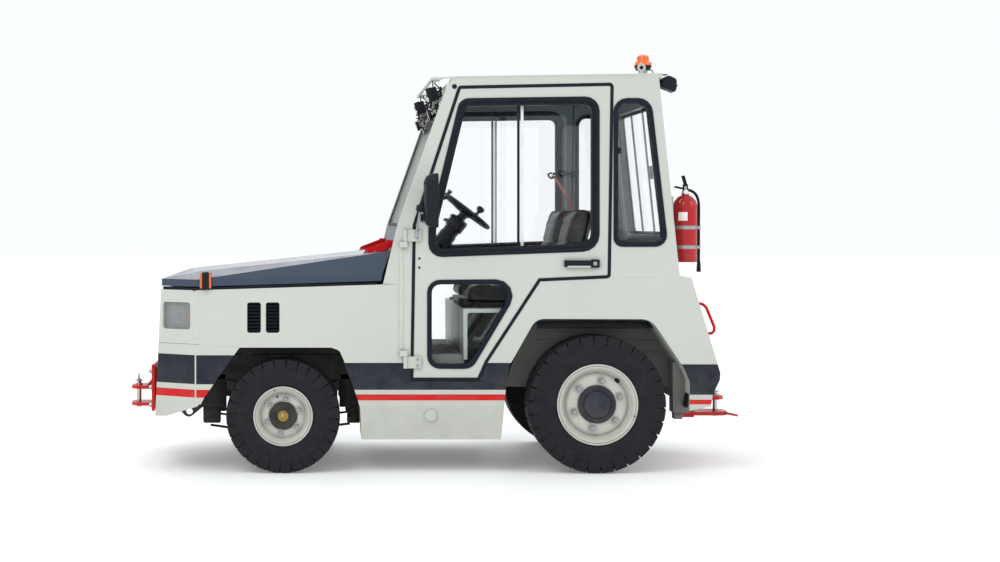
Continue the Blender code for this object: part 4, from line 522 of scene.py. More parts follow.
def add_turned(bm, place, axis, profile, steps=32, closed=False):
    """Turns (radius, height) points about an axis; a closed profile makes a ring."""
    matrix = aimed(place, axis)
    rings = []
    for radius, height in profile:
        if radius < 1e-6:
            rings.append([bm.verts.new(matrix @ Vector((0, 0, height)))] * steps)
            continue
        angles = [2 * math.pi * i / steps for i in range(steps)]
        rings.append([bm.verts.new(matrix @ Vector((radius * math.cos(a), radius * math.sin(a), height)))
            for a in angles])
    pairs = list(zip(rings, rings[1:]))
    if closed:
        pairs.append((rings[-1], rings[0]))
    made = [vert for ring in rings for vert in ring]
    for lower, upper in pairs:
        for i in range(steps):
            j = (i + 1) % steps
            corners = []
            for vert in (lower[i], lower[j], upper[j], upper[i]):
                if vert not in corners:
                    corners.append(vert)
            if len(corners) > 2:
                bm.faces.new(corners)
    if not closed:
        for ring in (rings[0], rings[-1]):
            if ring[0] is not ring[1]:
                bm.faces.new(ring)
    return list(set(made))


# %% Tubes, bolts and outlines
def join_rings(bm, rings, closed=False, capped=True):
    """Skins rings of points one after another, and caps the ends."""
    for a, b in zip(rings, rings[1:] + rings[:1] if closed else rings[1:]):
        for k in range(len(a)):
            j = (k + 1) % len(a)
            bm.faces.new((a[k], a[j], b[j], b[k]))
    if capped and not closed:
        bm.faces.new(rings[0])
        bm.faces.new(rings[-1])


def smooth_path(points, steps=6):
    """A Catmull-Rom curve through given points."""
    points = [Vector(p) for p in points]
    ends = [points[0] * 2 - points[1]] + points + [points[-1] * 2 - points[-2]]
    path = []
    for i in range(1, len(ends) - 2):
        a, b, c, d = ends[i - 1:i + 3]
        for k in range(steps):
            t = k / steps
            path.append(0.5 * (2 * b + (c - a) * t + (2 * a - 5 * b + 4 * c - d) * t ** 2
                + (3 * b - a - 3 * c + d) * t ** 3))
    return path + [points[-1]]


def rounded_path(points, radius, steps=5):
    """Straight runs through corners that are bent to a radius, as a tube bender leaves them."""
    points = [Vector(p) for p in points]
    path = [points[0]]
    for before, corner, after in zip(points, points[1:], points[2:]):
        run_in, run_out = (before - corner), (after - corner)
        reach = min(radius, run_in.length * 0.48, run_out.length * 0.48)
        start, end = corner + run_in.normalized() * reach, corner + run_out.normalized() * reach
        for k in range(steps + 1):
            t = k / steps
            path.append((1 - t) ** 2 * start + 2 * t * (1 - t) * corner + t ** 2 * end)
    return path + [points[-1]]


def add_tube(bm, path, radius, sides=12, flat=1.0, closed=False):
    """Sweeps a round, or with `flat` an oval, section along a path."""
    path = [Vector(p) for p in path]
    count = len(path)
    side = None
    rings = []
    for i, point in enumerate(path):
        ahead = path[(i + 1) % count] if closed or i < count - 1 else point
        behind = path[i - 1] if closed or i > 0 else point
        along = (ahead - behind).normalized()
        if side is None:
            side = along.orthogonal().normalized()
            if abs(along.z) < 0.9:
                side = along.cross(Vector((0, 0, 1))).normalized()
        side = (side - along * side.dot(along)).normalized()
        up = along.cross(side)
        ring = []
        for k in range(sides):
            a = 2 * math.pi * k / sides
            ring.append(bm.verts.new(point + side * radius * math.cos(a) + up * radius * flat
                * math.sin(a)))
        rings.append(ring)
    join_rings(bm, rings, closed)
    return [vert for ring in rings for vert in ring]


def add_bolt(bm, place, axis, across, washer=True, stud=0.0):
    """A hexagon head on its washer, and the end of its stud where it is a nut."""
    place, axis = Vector(place), Vector(axis).normalized()
    foot = 0.0
    if washer:
        foot = across * 0.14
        add_rod(bm, place, place + axis * foot, across * 0.98, sides=20)
    height = across * 0.62
    profile = [(across * 0.5774, 0.0), (across * 0.5774, height * 0.86), (across * 0.47, height)]
    add_turned(bm, place + axis * foot, axis, [(0, 0)] + profile + [(0, height)], steps=6)
    if stud > 0:
        add_rod(bm, place + axis * (foot + height), place + axis * (foot + height + stud), across * 0.3,
            across * 0.26, sides=14)


def rounded_outline(corners, steps=5):
    """(a, b, radius) corners as a list of points, each corner an arc."""
    points = []
    count = len(corners)
    for i, corner in enumerate(corners):
        here = Vector(corner[:2])
        radius = corner[2] if len(corner) > 2 else 0.0
        if radius <= 0:
            points.append(here)
            continue
        to_prev = (Vector(corners[i - 1][:2]) - here).normalized()
        to_next = (Vector(corners[(i + 1) % count][:2]) - here).normalized()
        half = to_prev.angle(to_next) / 2
        reach = radius / math.tan(half)
        centre = here + (to_prev + to_next).normalized() * (radius / math.sin(half))
        start, end = here + to_prev * reach, here + to_next * reach
        a0 = math.atan2(*(start - centre).yx)
        turn = math.atan2(*(end - centre).yx) - a0
        turn = (turn + math.pi) % (2 * math.pi) - math.pi
        points += [centre + radius * Vector((math.cos(a0 + turn * k / steps),
            math.sin(a0 + turn * k / steps))) for k in range(steps + 1)]
    return points


def rounded_box(low, high, radius, steps=5):
    """The outline of an upright rectangle between two corners, its own corners rounded."""
    return rounded_outline([(*low, radius), (high[0], low[1], radius), (*high, radius),
        (low[0], high[1], radius)], steps)


def offset_outline(points, distance):
    """The outline moved inwards (to its left if it runs anticlockwise) by a distance."""
    area = sum(a.x * b.y - b.x * a.y for a, b in zip(points, points[1:] + points[:1]))
    way = 1 if area > 0 else -1
    moved = []
    for i, point in enumerate(points):
        run_in = (point - points[i - 1])
        run_out = (points[(i + 1) % len(points)] - point)
        run_in = run_in.normalized() if run_in.length > 1e-9 else run_out.normalized()
        run_out = run_out.normalized() if run_out.length > 1e-9 else run_in
        bisector = Vector((-(run_in + run_out).y, (run_in + run_out).x)).normalized()
        share = max(0.5, bisector.dot(Vector((-run_in.y, run_in.x))))
        moved.append(point + bisector * (way * distance / share))
    return moved


def side_place(y):
    """Puts an (x, z) outline point on a plane of constant y."""
    return lambda point, depth=0.0: Vector((point[0], y + depth, point[1]))


def add_frame(bm, outline, width, place, low, high, crown=0.0):
    """A closed strip between an outline and the same outline `width` further in, from depth low to
    high, its outer face crowned a little as an extruded rubber or a folded frame is."""
    inner = offset_outline(outline, width)
    middle = offset_outline(outline, width / 2)
    rows = [[(p, low) for p in outline], [(p, high) for p in outline], [(p, high + crown) for p in middle],
        [(p, high) for p in inner], [(p, low) for p in inner]]
    verts = [[bm.verts.new(place(p, d)) for p, d in row] for row in rows]
    join_rings(bm, verts, closed=True)


def add_plate(bm, outline, place, low, high):
    """A flat plate of an outline without holes."""
    join_rings(bm, [[bm.verts.new(place(p, depth)) for p in outline] for depth in (low, high)])


# %% Fitting a piece to its body
pieces_made = []


def fit(name, bm, material, body="tractor", replaces=(), angle=35.0, bevel=0.0):
    """Closes a shape into a piece: finish, smooth shading and the body that carries it."""
    bmesh.ops.recalc_face_normals(bm, faces=bm.faces)
    mesh = bpy.data.meshes.new(name)
    bm.to_mesh(mesh)
    bm.free()
    mesh.shade_smooth()
    mesh.set_sharp_from_angle(angle=math.radians(angle))
    piece = bpy.data.objects.new(name, mesh)
    scene.collection.objects.link(piece)
    piece.data.materials.append(material)
    if bevel > 0:
        edge = piece.modifiers.new("rounded_edges", "BEVEL")
        edge.width = bevel
        edge.segments = 2
        edge.limit_method = "ANGLE"
        edge.angle_limit = math.radians(30)
        edge.harden_normals = True
    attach(piece, body)
    if replaces:
        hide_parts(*replaces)
    pieces_made.append(piece)
    return piece


SIDES = (("left", 1), ("right", -1))
print("shape kit ready")

# %% [markdown]
# ## Industrial tyres
# The tug runs on solid-pattern industrial tyres: straight, heavy shoulder lugs cut by narrow notches, one
# moulded ridge on the sidewall and a plain centre rib.  Lugs could be bump, but the notches show against
# the light in outline, so they are real.  One grid is wrapped round the wheel: its columns are crowded at
# each notch, so the notch walls stay crisp, and they lean across the tread, so that the two shoulders are
# half a lug apart.

# %% Tyres
NOTCH_COLUMNS = ((0.0, 1), (0.045, 1), (0.066, 0), (0.12, 0), (0.31, 0), (0.5, 0), (0.69, 0), (0.88, 0),
    (0.934, 0), (0.955, 1))


def tyre_section(radius, half, rim_radius):
    """(radius, offset from the middle) from the outer bead over the tread to the middle line."""
    wall = radius - rim_radius
    ridge = rim_radius + 0.5 * wall
    return [(rim_radius - 0.016, half - 0.026), (rim_radius - 0.006, half - 0.012), (rim_radius + 0.003,
        half - 0.007), (rim_radius + 0.1 * wall, half - 0.0035), (rim_radius + 0.24 * wall, half - 0.0012),
        (rim_radius + 0.4 * wall, half - 0.001), (ridge - 0.0015, half - 0.0018), (ridge - 0.0006, half),
        (ridge + 0.001, half), (ridge + 0.0022, half - 0.0022), (rim_radius + 0.66 * wall, half - 0.004),
        (radius - 0.034, half - 0.0055), (radius - 0.026, half - 0.006), (radius - 0.012, half - 0.007),
        (radius - 0.004, half - 0.01), (radius - 0.0005, half - 0.016), (radius, half * 0.66),
        (radius, half * 0.36), (radius - 0.01, half * 0.34), (radius - 0.01, half * 0.27),
        (radius, half * 0.25), (radius, half * 0.12),]


hub_enamel = enamel("dark_hub_enamel", "1B2230", roughness=0.4, gloss=0.15)
black_hub_enamel = enamel("black_hub_enamel", "0E1118", roughness=0.4, gloss=0.15)
SHOULDER_GROOVE = 0.072     # how far the notches run down the sidewall


def add_tyre(bm, centre, side, radius, width, rim_radius, lugs, depth=0.024):
    half = width / 2
    outer = tyre_section(radius, half, rim_radius)
    section = outer + [(r, -y) for r, y in reversed(outer)]
    pitch = 2 * math.pi / lugs
    columns = []
    for lug in range(lugs):
        for share, notched in NOTCH_COLUMNS:
            ring = []
            for r, y in section:
                lean = 0.25 * pitch * max(-1.0, min(1.0, y / (0.55 * half)))
                angle = (lug + share) * pitch + lean
                if notched and abs(y) > 0.35 * half:
                    r = min(r, radius - depth)
                    groove = min(1.0, max(0.0, (r - radius + SHOULDER_GROOVE) / 0.025))
                    y = math.copysign(min(abs(y), half - 0.02 * groove), y)
                ring.append(bm.verts.new(centre + Vector((r * math.cos(angle), side * y,
                    r * math.sin(angle)))))
            columns.append(ring)
    join_rings(bm, columns, closed=True)


WHEELS = {}
for corner in ("front", "rear"):
    for word, side in SIDES:
        tyre_low, tyre_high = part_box(f"{corner}_tyre_{word}")
        rim_low, rim_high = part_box(f"{corner}_rim_{word}")
        WHEELS[corner, word] = {"centre": (tyre_low + tyre_high) / 2, "side": side,
            "radius": (tyre_high.z - tyre_low.z) / 2, "width": tyre_high.y - tyre_low.y,
            "rim": (rim_high.z - rim_low.z) / 2 + 0.018, "body": f"{corner}_wheel_{word}",}
LUGS = {"front": 28, "rear": 30}
for (corner, word), wheel in WHEELS.items():
    shape = new_shape()
    add_tyre(shape, wheel["centre"], wheel["side"], wheel["radius"] - 0.0004, wheel["width"] - 0.001,
        wheel["rim"], LUGS[corner])
    rubber = front_tyre_rubber if corner == "front" else rear_tyre_rubber
    fit(f"{corner}_tread_and_wall_{word}", shape, rubber, wheel["body"],
        [f"{corner}_tyre_{word}"], angle=38)
print("tyres:", {key: round(wheel["radius"], 3) for key, wheel in WHEELS.items()})

# %% [markdown]
# ## Pressed wheels, hubs and nuts
# Each wheel is a rolled rim with a split lock ring and a pressed disc welded in.  The front disc stands
# behind a black hub with a brass-coloured grease cap; the rear one is held against a dark planetary hub
# with a ring of small bolts.  Everything here is turned, so a profile of radius and height says it all,
# and the nuts are set round it by a loop.


# %% Rims and discs
def around(count, radius, start=0.0):
    """Places evenly round a circle, as pairs."""
    for k in range(count):
        angle = start + 2 * math.pi * k / count
        yield radius * math.cos(angle), radius * math.sin(angle)


def rim_profile(rim, half, well, disc_at, disc_edge):
    """A rolled rim open to the outside: flange, lock ring groove, bead seat, well and disc."""
    lip = rim - 0.002
    return [(disc_edge, disc_at - 0.004), (disc_edge + 0.006, disc_at + 0.004), (well, disc_at + 0.02),
        (well + 0.004, half - 0.02), (well + 0.01, half - 0.01), (lip - 0.015, half - 0.0075),
        (lip - 0.0125, half - 0.0055), (lip - 0.01, half - 0.0085), (lip - 0.0075, half - 0.004),
        (lip - 0.002, half - 0.0025), (lip, half - 0.005), (lip - 0.004, half - 0.011),
        (lip - 0.016, half - 0.016), (lip - 0.017, -half + 0.02), (lip - 0.004, -half + 0.012),
        (lip - 0.001, -half + 0.005), (lip - 0.006, -half + 0.003), (lip - 0.02, -half + 0.012),
        (well, -half + 0.03), (well - 0.002, disc_at - 0.02), (disc_edge, disc_at - 0.012),]


def wheel_point(wheel, across, up, out):
    """A point on a wheel: across is +X, up is +Z and out is away from the tug."""
    return wheel["centre"] + Vector((across, wheel["side"] * out, up))


def out_of(wheel):
    return Vector((0, wheel["side"], 0))


for word, side in SIDES:
    wheel = WHEELS["front", word]
    half = wheel["width"] / 2
    rim = wheel["rim"]
    disc = half - 0.046
    shape = new_shape()
    add_turned(shape, wheel["centre"], out_of(wheel), rim_profile(rim, half, 0.124, disc, 0.113), 72,
        closed=True)
    add_turned(shape, wheel["centre"], out_of(wheel), [(0.05, disc - 0.008), (0.05, disc - 0.002),
        (0.074, disc), (0.08, disc + 0.004), (0.098, disc + 0.004), (0.105, disc), (0.115, disc - 0.003),
        (0.115, disc - 0.01), (0.074, disc - 0.008)], 72, closed=True)
    fit(f"front_wheel_disc_{word}", shape, wheel_enamel, wheel["body"],
        [f"front_rim_{word}"], angle=30)
    hub = new_shape()
    add_turned(hub, wheel["centre"], out_of(wheel), [(0, disc - 0.05), (0.072, disc - 0.05),
        (0.0722, disc + 0.006), (0.07, disc + 0.009), (0.046, disc + 0.013), (0.04, disc + 0.018),
        (0.036, disc + 0.024), (0.03, disc + 0.026), (0, disc + 0.026)], 48)
    fit(f"front_hub_{word}", hub, black_hub_enamel, wheel["body"])
    cap = new_shape()
    add_turned(cap, wheel_point(wheel, 0, 0, disc + 0.024), out_of(wheel), [(0, 0), (0.026, 0),
        (0.026, 0.004), (0.019, 0.005), (0.0165, 0.01), (0.012, 0.0135), (0, 0.0145)], 28)
    fit(f"grease_cap_{word}", cap, brass, wheel["body"])
    nuts = new_shape()
    for x, z in around(6, 0.088, math.radians(39)):
        add_bolt(nuts, wheel_point(wheel, x, z, disc + 0.004), out_of(wheel), 0.021, stud=0.008)
    fit(f"front_wheel_nuts_{word}", nuts, zinc_steel, wheel["body"])
    valve = new_shape()
    add_rod(valve, wheel_point(wheel, 0.03, 0.098, disc), wheel_point(wheel, 0.03, 0.098, disc + 0.03),
        0.0042)
    add_rod(valve, wheel_point(wheel, 0.03, 0.098, disc + 0.026), wheel_point(wheel, 0.03, 0.098,
        disc + 0.038), 0.0055, 0.0048)
    add_block(valve, wheel_point(wheel, 0.04, 0.128, half - 0.012), wheel_point(wheel, 0.046, 0.141,
        half - 0.006))
    fit(f"front_valve_{word}", valve, epdm_rubber, wheel["body"])

for word, side in SIDES:
    wheel = WHEELS["rear", word]
    half = wheel["width"] / 2
    rim = wheel["rim"]
    disc = half - 0.05
    shape = new_shape()
    add_turned(shape, wheel["centre"], out_of(wheel), rim_profile(rim, half, 0.176, disc, 0.163), 88,
        closed=True)
    add_turned(shape, wheel["centre"], out_of(wheel), [(0.085, disc - 0.01), (0.085, disc + 0.01),
        (0.11, disc + 0.012), (0.14, disc + 0.01), (0.152, disc + 0.004), (0.16, disc - 0.004),
        (0.168, disc - 0.006), (0.168, disc - 0.014), (0.12, disc - 0.01)], 88, closed=True)
    fit(f"rear_wheel_disc_{word}", shape, wheel_enamel, wheel["body"], [f"rear_rim_{word}"],
        angle=30)
    hub = new_shape()
    add_turned(hub, wheel["centre"], out_of(wheel), [(0, disc - 0.06), (0.097, disc - 0.06),
        (0.098, disc + 0.02), (0.096, disc + 0.023), (0.07, disc + 0.024), (0.068, disc + 0.034),
        (0.065, disc + 0.037), (0.004, disc + 0.038), (0.004, disc + 0.034), (0, disc + 0.034)], 56)
    for x, z in around(16, 0.0815, math.radians(11)):
        add_bolt(hub, wheel_point(wheel, x, z, disc + 0.0235), out_of(wheel), 0.0125, washer=False)
    fit(f"rear_hub_{word}", hub, hub_enamel, wheel["body"])
    nuts = new_shape()
    for x, z in around(6, 0.1225, math.radians(41)):
        add_bolt(nuts, wheel_point(wheel, x, z, disc + 0.0115), out_of(wheel), 0.026, stud=0.009)
    fit(f"rear_wheel_nuts_{word}", nuts, zinc_steel, wheel["body"])
    valve = new_shape()
    valve_foot = wheel_point(wheel, -0.105, 0.12, disc + 0.001)
    add_rod(valve, valve_foot, valve_foot + out_of(wheel) * 0.004, 0.014)
    add_rod(valve, valve_foot, valve_foot + out_of(wheel) * 0.03, 0.0045)
    add_block(valve, wheel_point(wheel, -0.196, -0.06, half - 0.01), wheel_point(wheel, -0.184, -0.056,
        half - 0.003))
    fit(f"rear_valve_{word}", valve, epdm_rubber, wheel["body"])
print("wheels dressed:", len(WHEELS))

# %% [markdown]
# ## Wheel boxes and running gear
# Behind the wheels a real tug is closed with folded sheet, so that stones stay out of the engine bay and
# the cab.  Under it run leaf springs, brake hoses and U-bolts.  These sheets are plain folded plates with
# pressed ribs in dark grey, set just clear of the tyres at full lock.

# %% Splash sheets and wheel boxes
rear_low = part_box("rear_fender_left")[0]
rail_out = 0.31
front_centre = WHEELS["front", "left"]["centre"]
rear_centre = WHEELS["rear", "left"]["centre"]
for word, side in SIDES:
    sheet = new_shape()
    y = side * (rail_out + 0.006)
    add_block(sheet, (front_centre.x - 0.4, min(y, y + side * 0.004), 0.585), (front_centre.x + 0.41,
        max(y, y + side * 0.004), 0.925), 0.001)
    for dx in (-0.3, -0.1, 0.1, 0.3):
        add_block(sheet, (front_centre.x + dx - 0.012, min(y, y + side * 0.01), 0.6),
            (front_centre.x + dx + 0.012, max(y, y + side * 0.01), 0.91), 0.003)
    fit(f"front_splash_sheet_{word}", sheet, frame_paint)

    box_sheet = new_shape()
    y = side * (rear_low.y + 0.004)
    near, far = sorted((y, y + side * 0.004))
    add_plate(box_sheet, rounded_outline([(rear_centre.x - 0.52, 0.42), (rear_centre.x - 0.12, 0.42),
        (rear_centre.x - 0.1, 0.5, 0.03), (rear_centre.x + 0.1, 0.5, 0.03), (rear_centre.x + 0.12, 0.42),
        (rear_centre.x + 0.45, 0.42), (rear_centre.x + 0.3, 0.835), (rear_centre.x - 0.4, 0.835)], 5),
        side_place(near), 0.0, 0.004)
    for dz in (0.6, 0.66, 0.72, 0.78):
        add_block(box_sheet, (rear_centre.x - 0.36, near, dz - 0.008), (rear_centre.x + 0.28, far + 0.004,
            dz + 0.008), 0.003)
    fit(f"rear_wheel_box_{word}", box_sheet, box_grey)
print("wheel boxes closed at", round(rear_low.y, 3))

# %% [markdown]
# ## Outlines read from the model
# Window seals and shut lines have to follow their openings exactly.  Rather than repeat those outlines,
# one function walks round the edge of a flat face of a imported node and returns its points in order.

# %% Outline of a flat face
def face_loops(node, axis, level, reach=0.0004):
    """The closed outlines on the plane where `axis` (0, 1, 2) is `level`, the longest first."""
    mesh = frame["nodes"][node].data
    others = [i for i in range(3) if i != axis]
    count, spots = {}, {}
    for polygon in mesh.polygons:
        corners = [mesh.vertices[i].co for i in polygon.vertices]
        if any(abs(co[axis] - level) > reach for co in corners):
            continue
        keys = [tuple(round(co[i] * 1e4) for i in others) for co in corners]
        for key, co in zip(keys, corners):
            spots[key] = Vector((co[others[0]], co[others[1]]))
        for a, b in zip(keys, keys[1:] + keys[:1]):
            if a != b:
                edge = frozenset((a, b))
                count[edge] = count.get(edge, 0) + 1
    links = {}
    for edge, uses in count.items():
        if uses == 1:
            a, b = tuple(edge)
            links.setdefault(a, []).append(b)
            links.setdefault(b, []).append(a)
    loops = []
    while links:
        start = next(iter(links))
        loop, here = [start], start
        while links.get(here):
            ahead = links[here].pop()
            links[ahead].remove(here)
            if ahead == start:
                break
            loop.append(ahead)
            here = ahead
        for key in loop:
            if key in links and not links[key]:
                del links[key]
        if len(loop) > 2:
            loops.append([spots[key] for key in loop])
    loops.sort(key=lambda loop: -sum((a - b).length for a, b in zip(loop, loop[1:] + loop[:1])))
    return [tidy_loop(loop) for loop in loops]


def tidy_loop(loop):
    """Drops points that lie on a straight run, and makes the loop run anticlockwise."""
    kept = []
    for i, point in enumerate(loop):
        run_in = (point - loop[i - 1])
        run_out = (loop[(i + 1) % len(loop)] - point)
        if run_in.length > 1e-5 and (run_out.length < 1e-6 or run_in.angle(run_out) > 0.004):
            kept.append(point)
    area = sum(a.x * b.y - b.x * a.y for a, b in zip(kept, kept[1:] + kept[:1]))
    return kept if area > 0 else kept[::-1]


window_low, window_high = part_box("door_window_left")
upper_window = face_loops("door_window_left", 1, window_high.y)[0]
print("upper window outline:", len(upper_window), "points")

# %% [markdown]
# ## Window seals and sliding glass
# The door's upper window is a black aluminium frame clamped into a rubber, with two sliding panes, so it
# shows as two nested bands and two upright bars.  The lower window and the quarter window are plain panes
# in a self-locking rubber.  A seal is an outline with a small section, so each one is a swept strip.

# %% Door and quarter window seals
body_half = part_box("side_panel_left")[1].y


def sided(side, low, high):
    """Depths measured from the left body side, mirrored for the right one."""
    return (low, high) if side > 0 else (-high, -low)


def side_block(bm, side, low, high, round_by=0.0, **shape):
    """A block whose depths (the middle numbers) are measured outwards from the body's side."""
    near, far = sided(side, body_half + low[1], body_half + high[1])
    return add_block(bm, (low[0], near, low[2]), (high[0], far, high[2]), round_by, **shape)


def strip_on_side(bm, outline, width, side, low, high, crown=0.0):
    """A strip whose depths run from y = low to y = high on the left, mirrored on the right."""
    def place(point, depth=0.0):
        return Vector((point[0], side * depth, point[1]))
    add_frame(bm, outline, width, place, low, high, crown)


def fit_seal(name, outline, side, lips, body="tractor"):
    """A rubber made of lips: (how far outside the outline, width, from depth, to depth, crown)."""
    rubber = new_shape()
    for grow, width, low, high, crown in lips:
        strip_on_side(rubber, offset_outline(outline, -grow), width, side, body_half + low,
            body_half + high, crown)
    fit(name, rubber, epdm_rubber, body)


pane_edge_plastic = moulded_abs("clear_draught_strip", "D4DADA", 0.4)
MEETING_SHARE = 0.53     # where the two sliding panes meet
low_z = min(p.y for p in upper_window)
high_z = max(p.y for p in upper_window)
meeting_x = window_high.x + (window_low.x - window_high.x) * MEETING_SHARE
for word, side in SIDES:
    body = f"door_{word}"
    fit_seal(f"door_window_rubber_{word}", upper_window, side, ((0.009, 0.022, -0.03, 0.0035, 0.003),
        (0.02, 0.036, -0.0475, -0.0425, -0.002)), body)
    frame_bar = new_shape()
    strip_on_side(frame_bar, offset_outline(upper_window, 0.012), 0.02, side, body_half - 0.036,
        body_half - 0.004, 0.001)
    side_block(frame_bar, side, (meeting_x - 0.0065, -0.034, low_z + 0.02), (meeting_x + 0.0065, -0.025,
        high_z - 0.02), 0.0015)
    pane_edge = new_shape()
    side_block(pane_edge, side, (meeting_x - 0.0265, -0.033, low_z + 0.022), (meeting_x - 0.012, -0.029,
        high_z - 0.022), 0.001)
    fit(f"sliding_pane_edge_{word}", pane_edge, pane_edge_plastic, body)
    fit(f"sliding_window_frame_{word}", frame_bar, black_abs, body)
    lower = face_loops(f"door_lower_window_{word}", 1, side * window_high.y)[0]
    fit_seal(f"lower_window_rubber_{word}", lower, side, ((0.01, 0.024, -0.03, 0.004, 0.003),
        (0.008, 0.022, -0.048, -0.0425, -0.002)), body)
    quarter = face_loops(f"quarter_window_{word}", 1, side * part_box("quarter_window_left")[1].y)[0]
    fit_seal(f"quarter_window_rubber_{word}", quarter, side, ((0.01, 0.024, -0.034, 0.004, 0.003),
        (0.008, 0.022, -0.056, -0.0505, -0.002)))
    shut = face_loops(f"door_{word}", 1, side * (body_half - 0.042))[0]
    fit_seal(f"door_shut_seal_{word}", shut, side, ((0.0105, 0.0165, -0.0005, 0.0022, 0.0012),), body)
print("door outline:", len(shut), "points")

# %% [markdown]
# ## Windscreen and rear window
# Both are sheets leaning with the cab, held in a rubber.  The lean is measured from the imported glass, and a
# strip is laid along its four edges.  The rear window has two upright bars and a latch where it slides.

# %% Windscreen and rear window rubbers
def leaning_sheet(node, front):
    """Points on the glass's outer face at its low and high edge."""
    low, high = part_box(node)
    verts = [v.co for v in frame["nodes"][node].data.vertices]
    pick = max if front else min
    foot = pick((co for co in verts if co.z < low.z + 0.03), key=lambda co: co.x)
    head = pick((co for co in verts if co.z > high.z - 0.03), key=lambda co: co.x)
    return Vector((foot.x, 0, low.z)), Vector((head.x, 0, high.z)), low, high


def lean_place(foot, head, out):
    """Puts a (y, distance up the sheet) point on the leaning sheet, `depth` metres off the face that `out`'s
    sign picks.
    """
    along = (head - foot).normalized()
    face = Vector((along.z, 0, -along.x)) * (1 if out > 0 else -1)
    def place(point, depth=0.0):
        return foot + along * point[1] + Vector((0, point[0], 0)) + face * depth
    return place


foot, head, low, high = leaning_sheet("windscreen", True)
height = (head - foot).length
screen = rounded_box((low.y, 0.0), (high.y, height), 0.012, 4)
rubber = new_shape()
add_frame(rubber, screen, 0.016, lean_place(foot, head, 1), 0.0004, 0.004, 0.001)
fit("windscreen_rubber", rubber, epdm_rubber)

rear_foot, rear_head, rear_low_corner, rear_high_corner = leaning_sheet("rear_window", False)
height = (rear_head - rear_foot).length
rear_outline = rounded_box((rear_low_corner.y, 0), (rear_high_corner.y, height), 0.05, 6)
place = lean_place(rear_foot, rear_head, -1)
rubber = new_shape()
add_frame(rubber, offset_outline(rear_outline, -0.01), 0.026, place, 0.0085, 0.019, 0.003)
fit("rear_window_rubber", rubber, epdm_rubber)
bars = new_shape()
for y in (-0.175, 0.175):
    corners = [(y - 0.011, 0.0), (y + 0.011, 0.0), (y + 0.011, height), (y - 0.011, height)]
    add_plate(bars, [Vector(c) for c in corners], place, 0.0005, 0.008)
add_plate(bars, rounded_box((0.13, 0.3), (0.215, 0.37), 0.005, 3), place, 0.0085, 0.02)
fit("rear_window_bars", bars, black_abs)
print("rear window height", round(height, 3))

# %% [markdown]
# ## Door handles, hinges and mirrors
# The handle is a black pull with a push-button lock at its rear end.  The hinge straps are bolted through
# the door skin.  The mirror is a deep ABS shell with glass on its back, held to a bent arm by a ball.

# %% Handles and hinge bolts
door_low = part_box("door_left")[0]
for word, side in SIDES:
    body = f"door_{word}"
    handle_rear, handle_front = door_low.x + 0.064, door_low.x + 0.24
    pull = new_shape()
    side_block(pull, side, (handle_rear - 0.001, 0.0002, 1.0515), (handle_rear + 0.046, 0.0212, 1.0935),
        0.004, segments=3)
    side_block(pull, side, (handle_front - 0.016, 0.0002, 1.053), (handle_front + 0.0015, 0.0208, 1.0925),
        0.004, segments=3)
    side_block(pull, side, (handle_rear + 0.03, 0.008, 1.059), (handle_front - 0.004, 0.0216, 1.0925),
        0.006, segments=3)
    fit(f"door_handle_{word}", pull, black_abs, body)
    lock = new_shape()
    add_turned(lock, (handle_rear + 0.022, side * (body_half + 0.0205), 1.073), (0, side, 0),
        [(0, 0), (0.0105, 0), (0.0105, 0.0012), (0.0085, 0.0016), (0.008, 0.0009), (0, 0.0009)], 28)
    fit(f"door_lock_{word}", lock, zinc_steel, body)
    bolts = new_shape()
    for z in (1.215, 0.57):
        for dz in (-0.016, 0.016):
            add_bolt(bolts, (0.128, side * (body_half + 0.0121), z + dz), (0, side, 0), 0.013, washer=False)
        add_rod(bolts, (0.19, side * (body_half + 0.012), z + 0.0302), (0.19, side * (body_half + 0.012),
            z + 0.0335), 0.0085)
    fit(f"hinge_bolts_{word}", bolts, zinc_steel, body)
    holes = new_shape()
    for z in (1.098, 1.052):
        add_rod(holes, (0.118, side * (body_half + 0.0002), z), (0.118, side * (body_half + 0.0024), z),
            0.006, 0.0045)
    fit(f"door_trim_plugs_{word}", holes, epdm_rubber, body)

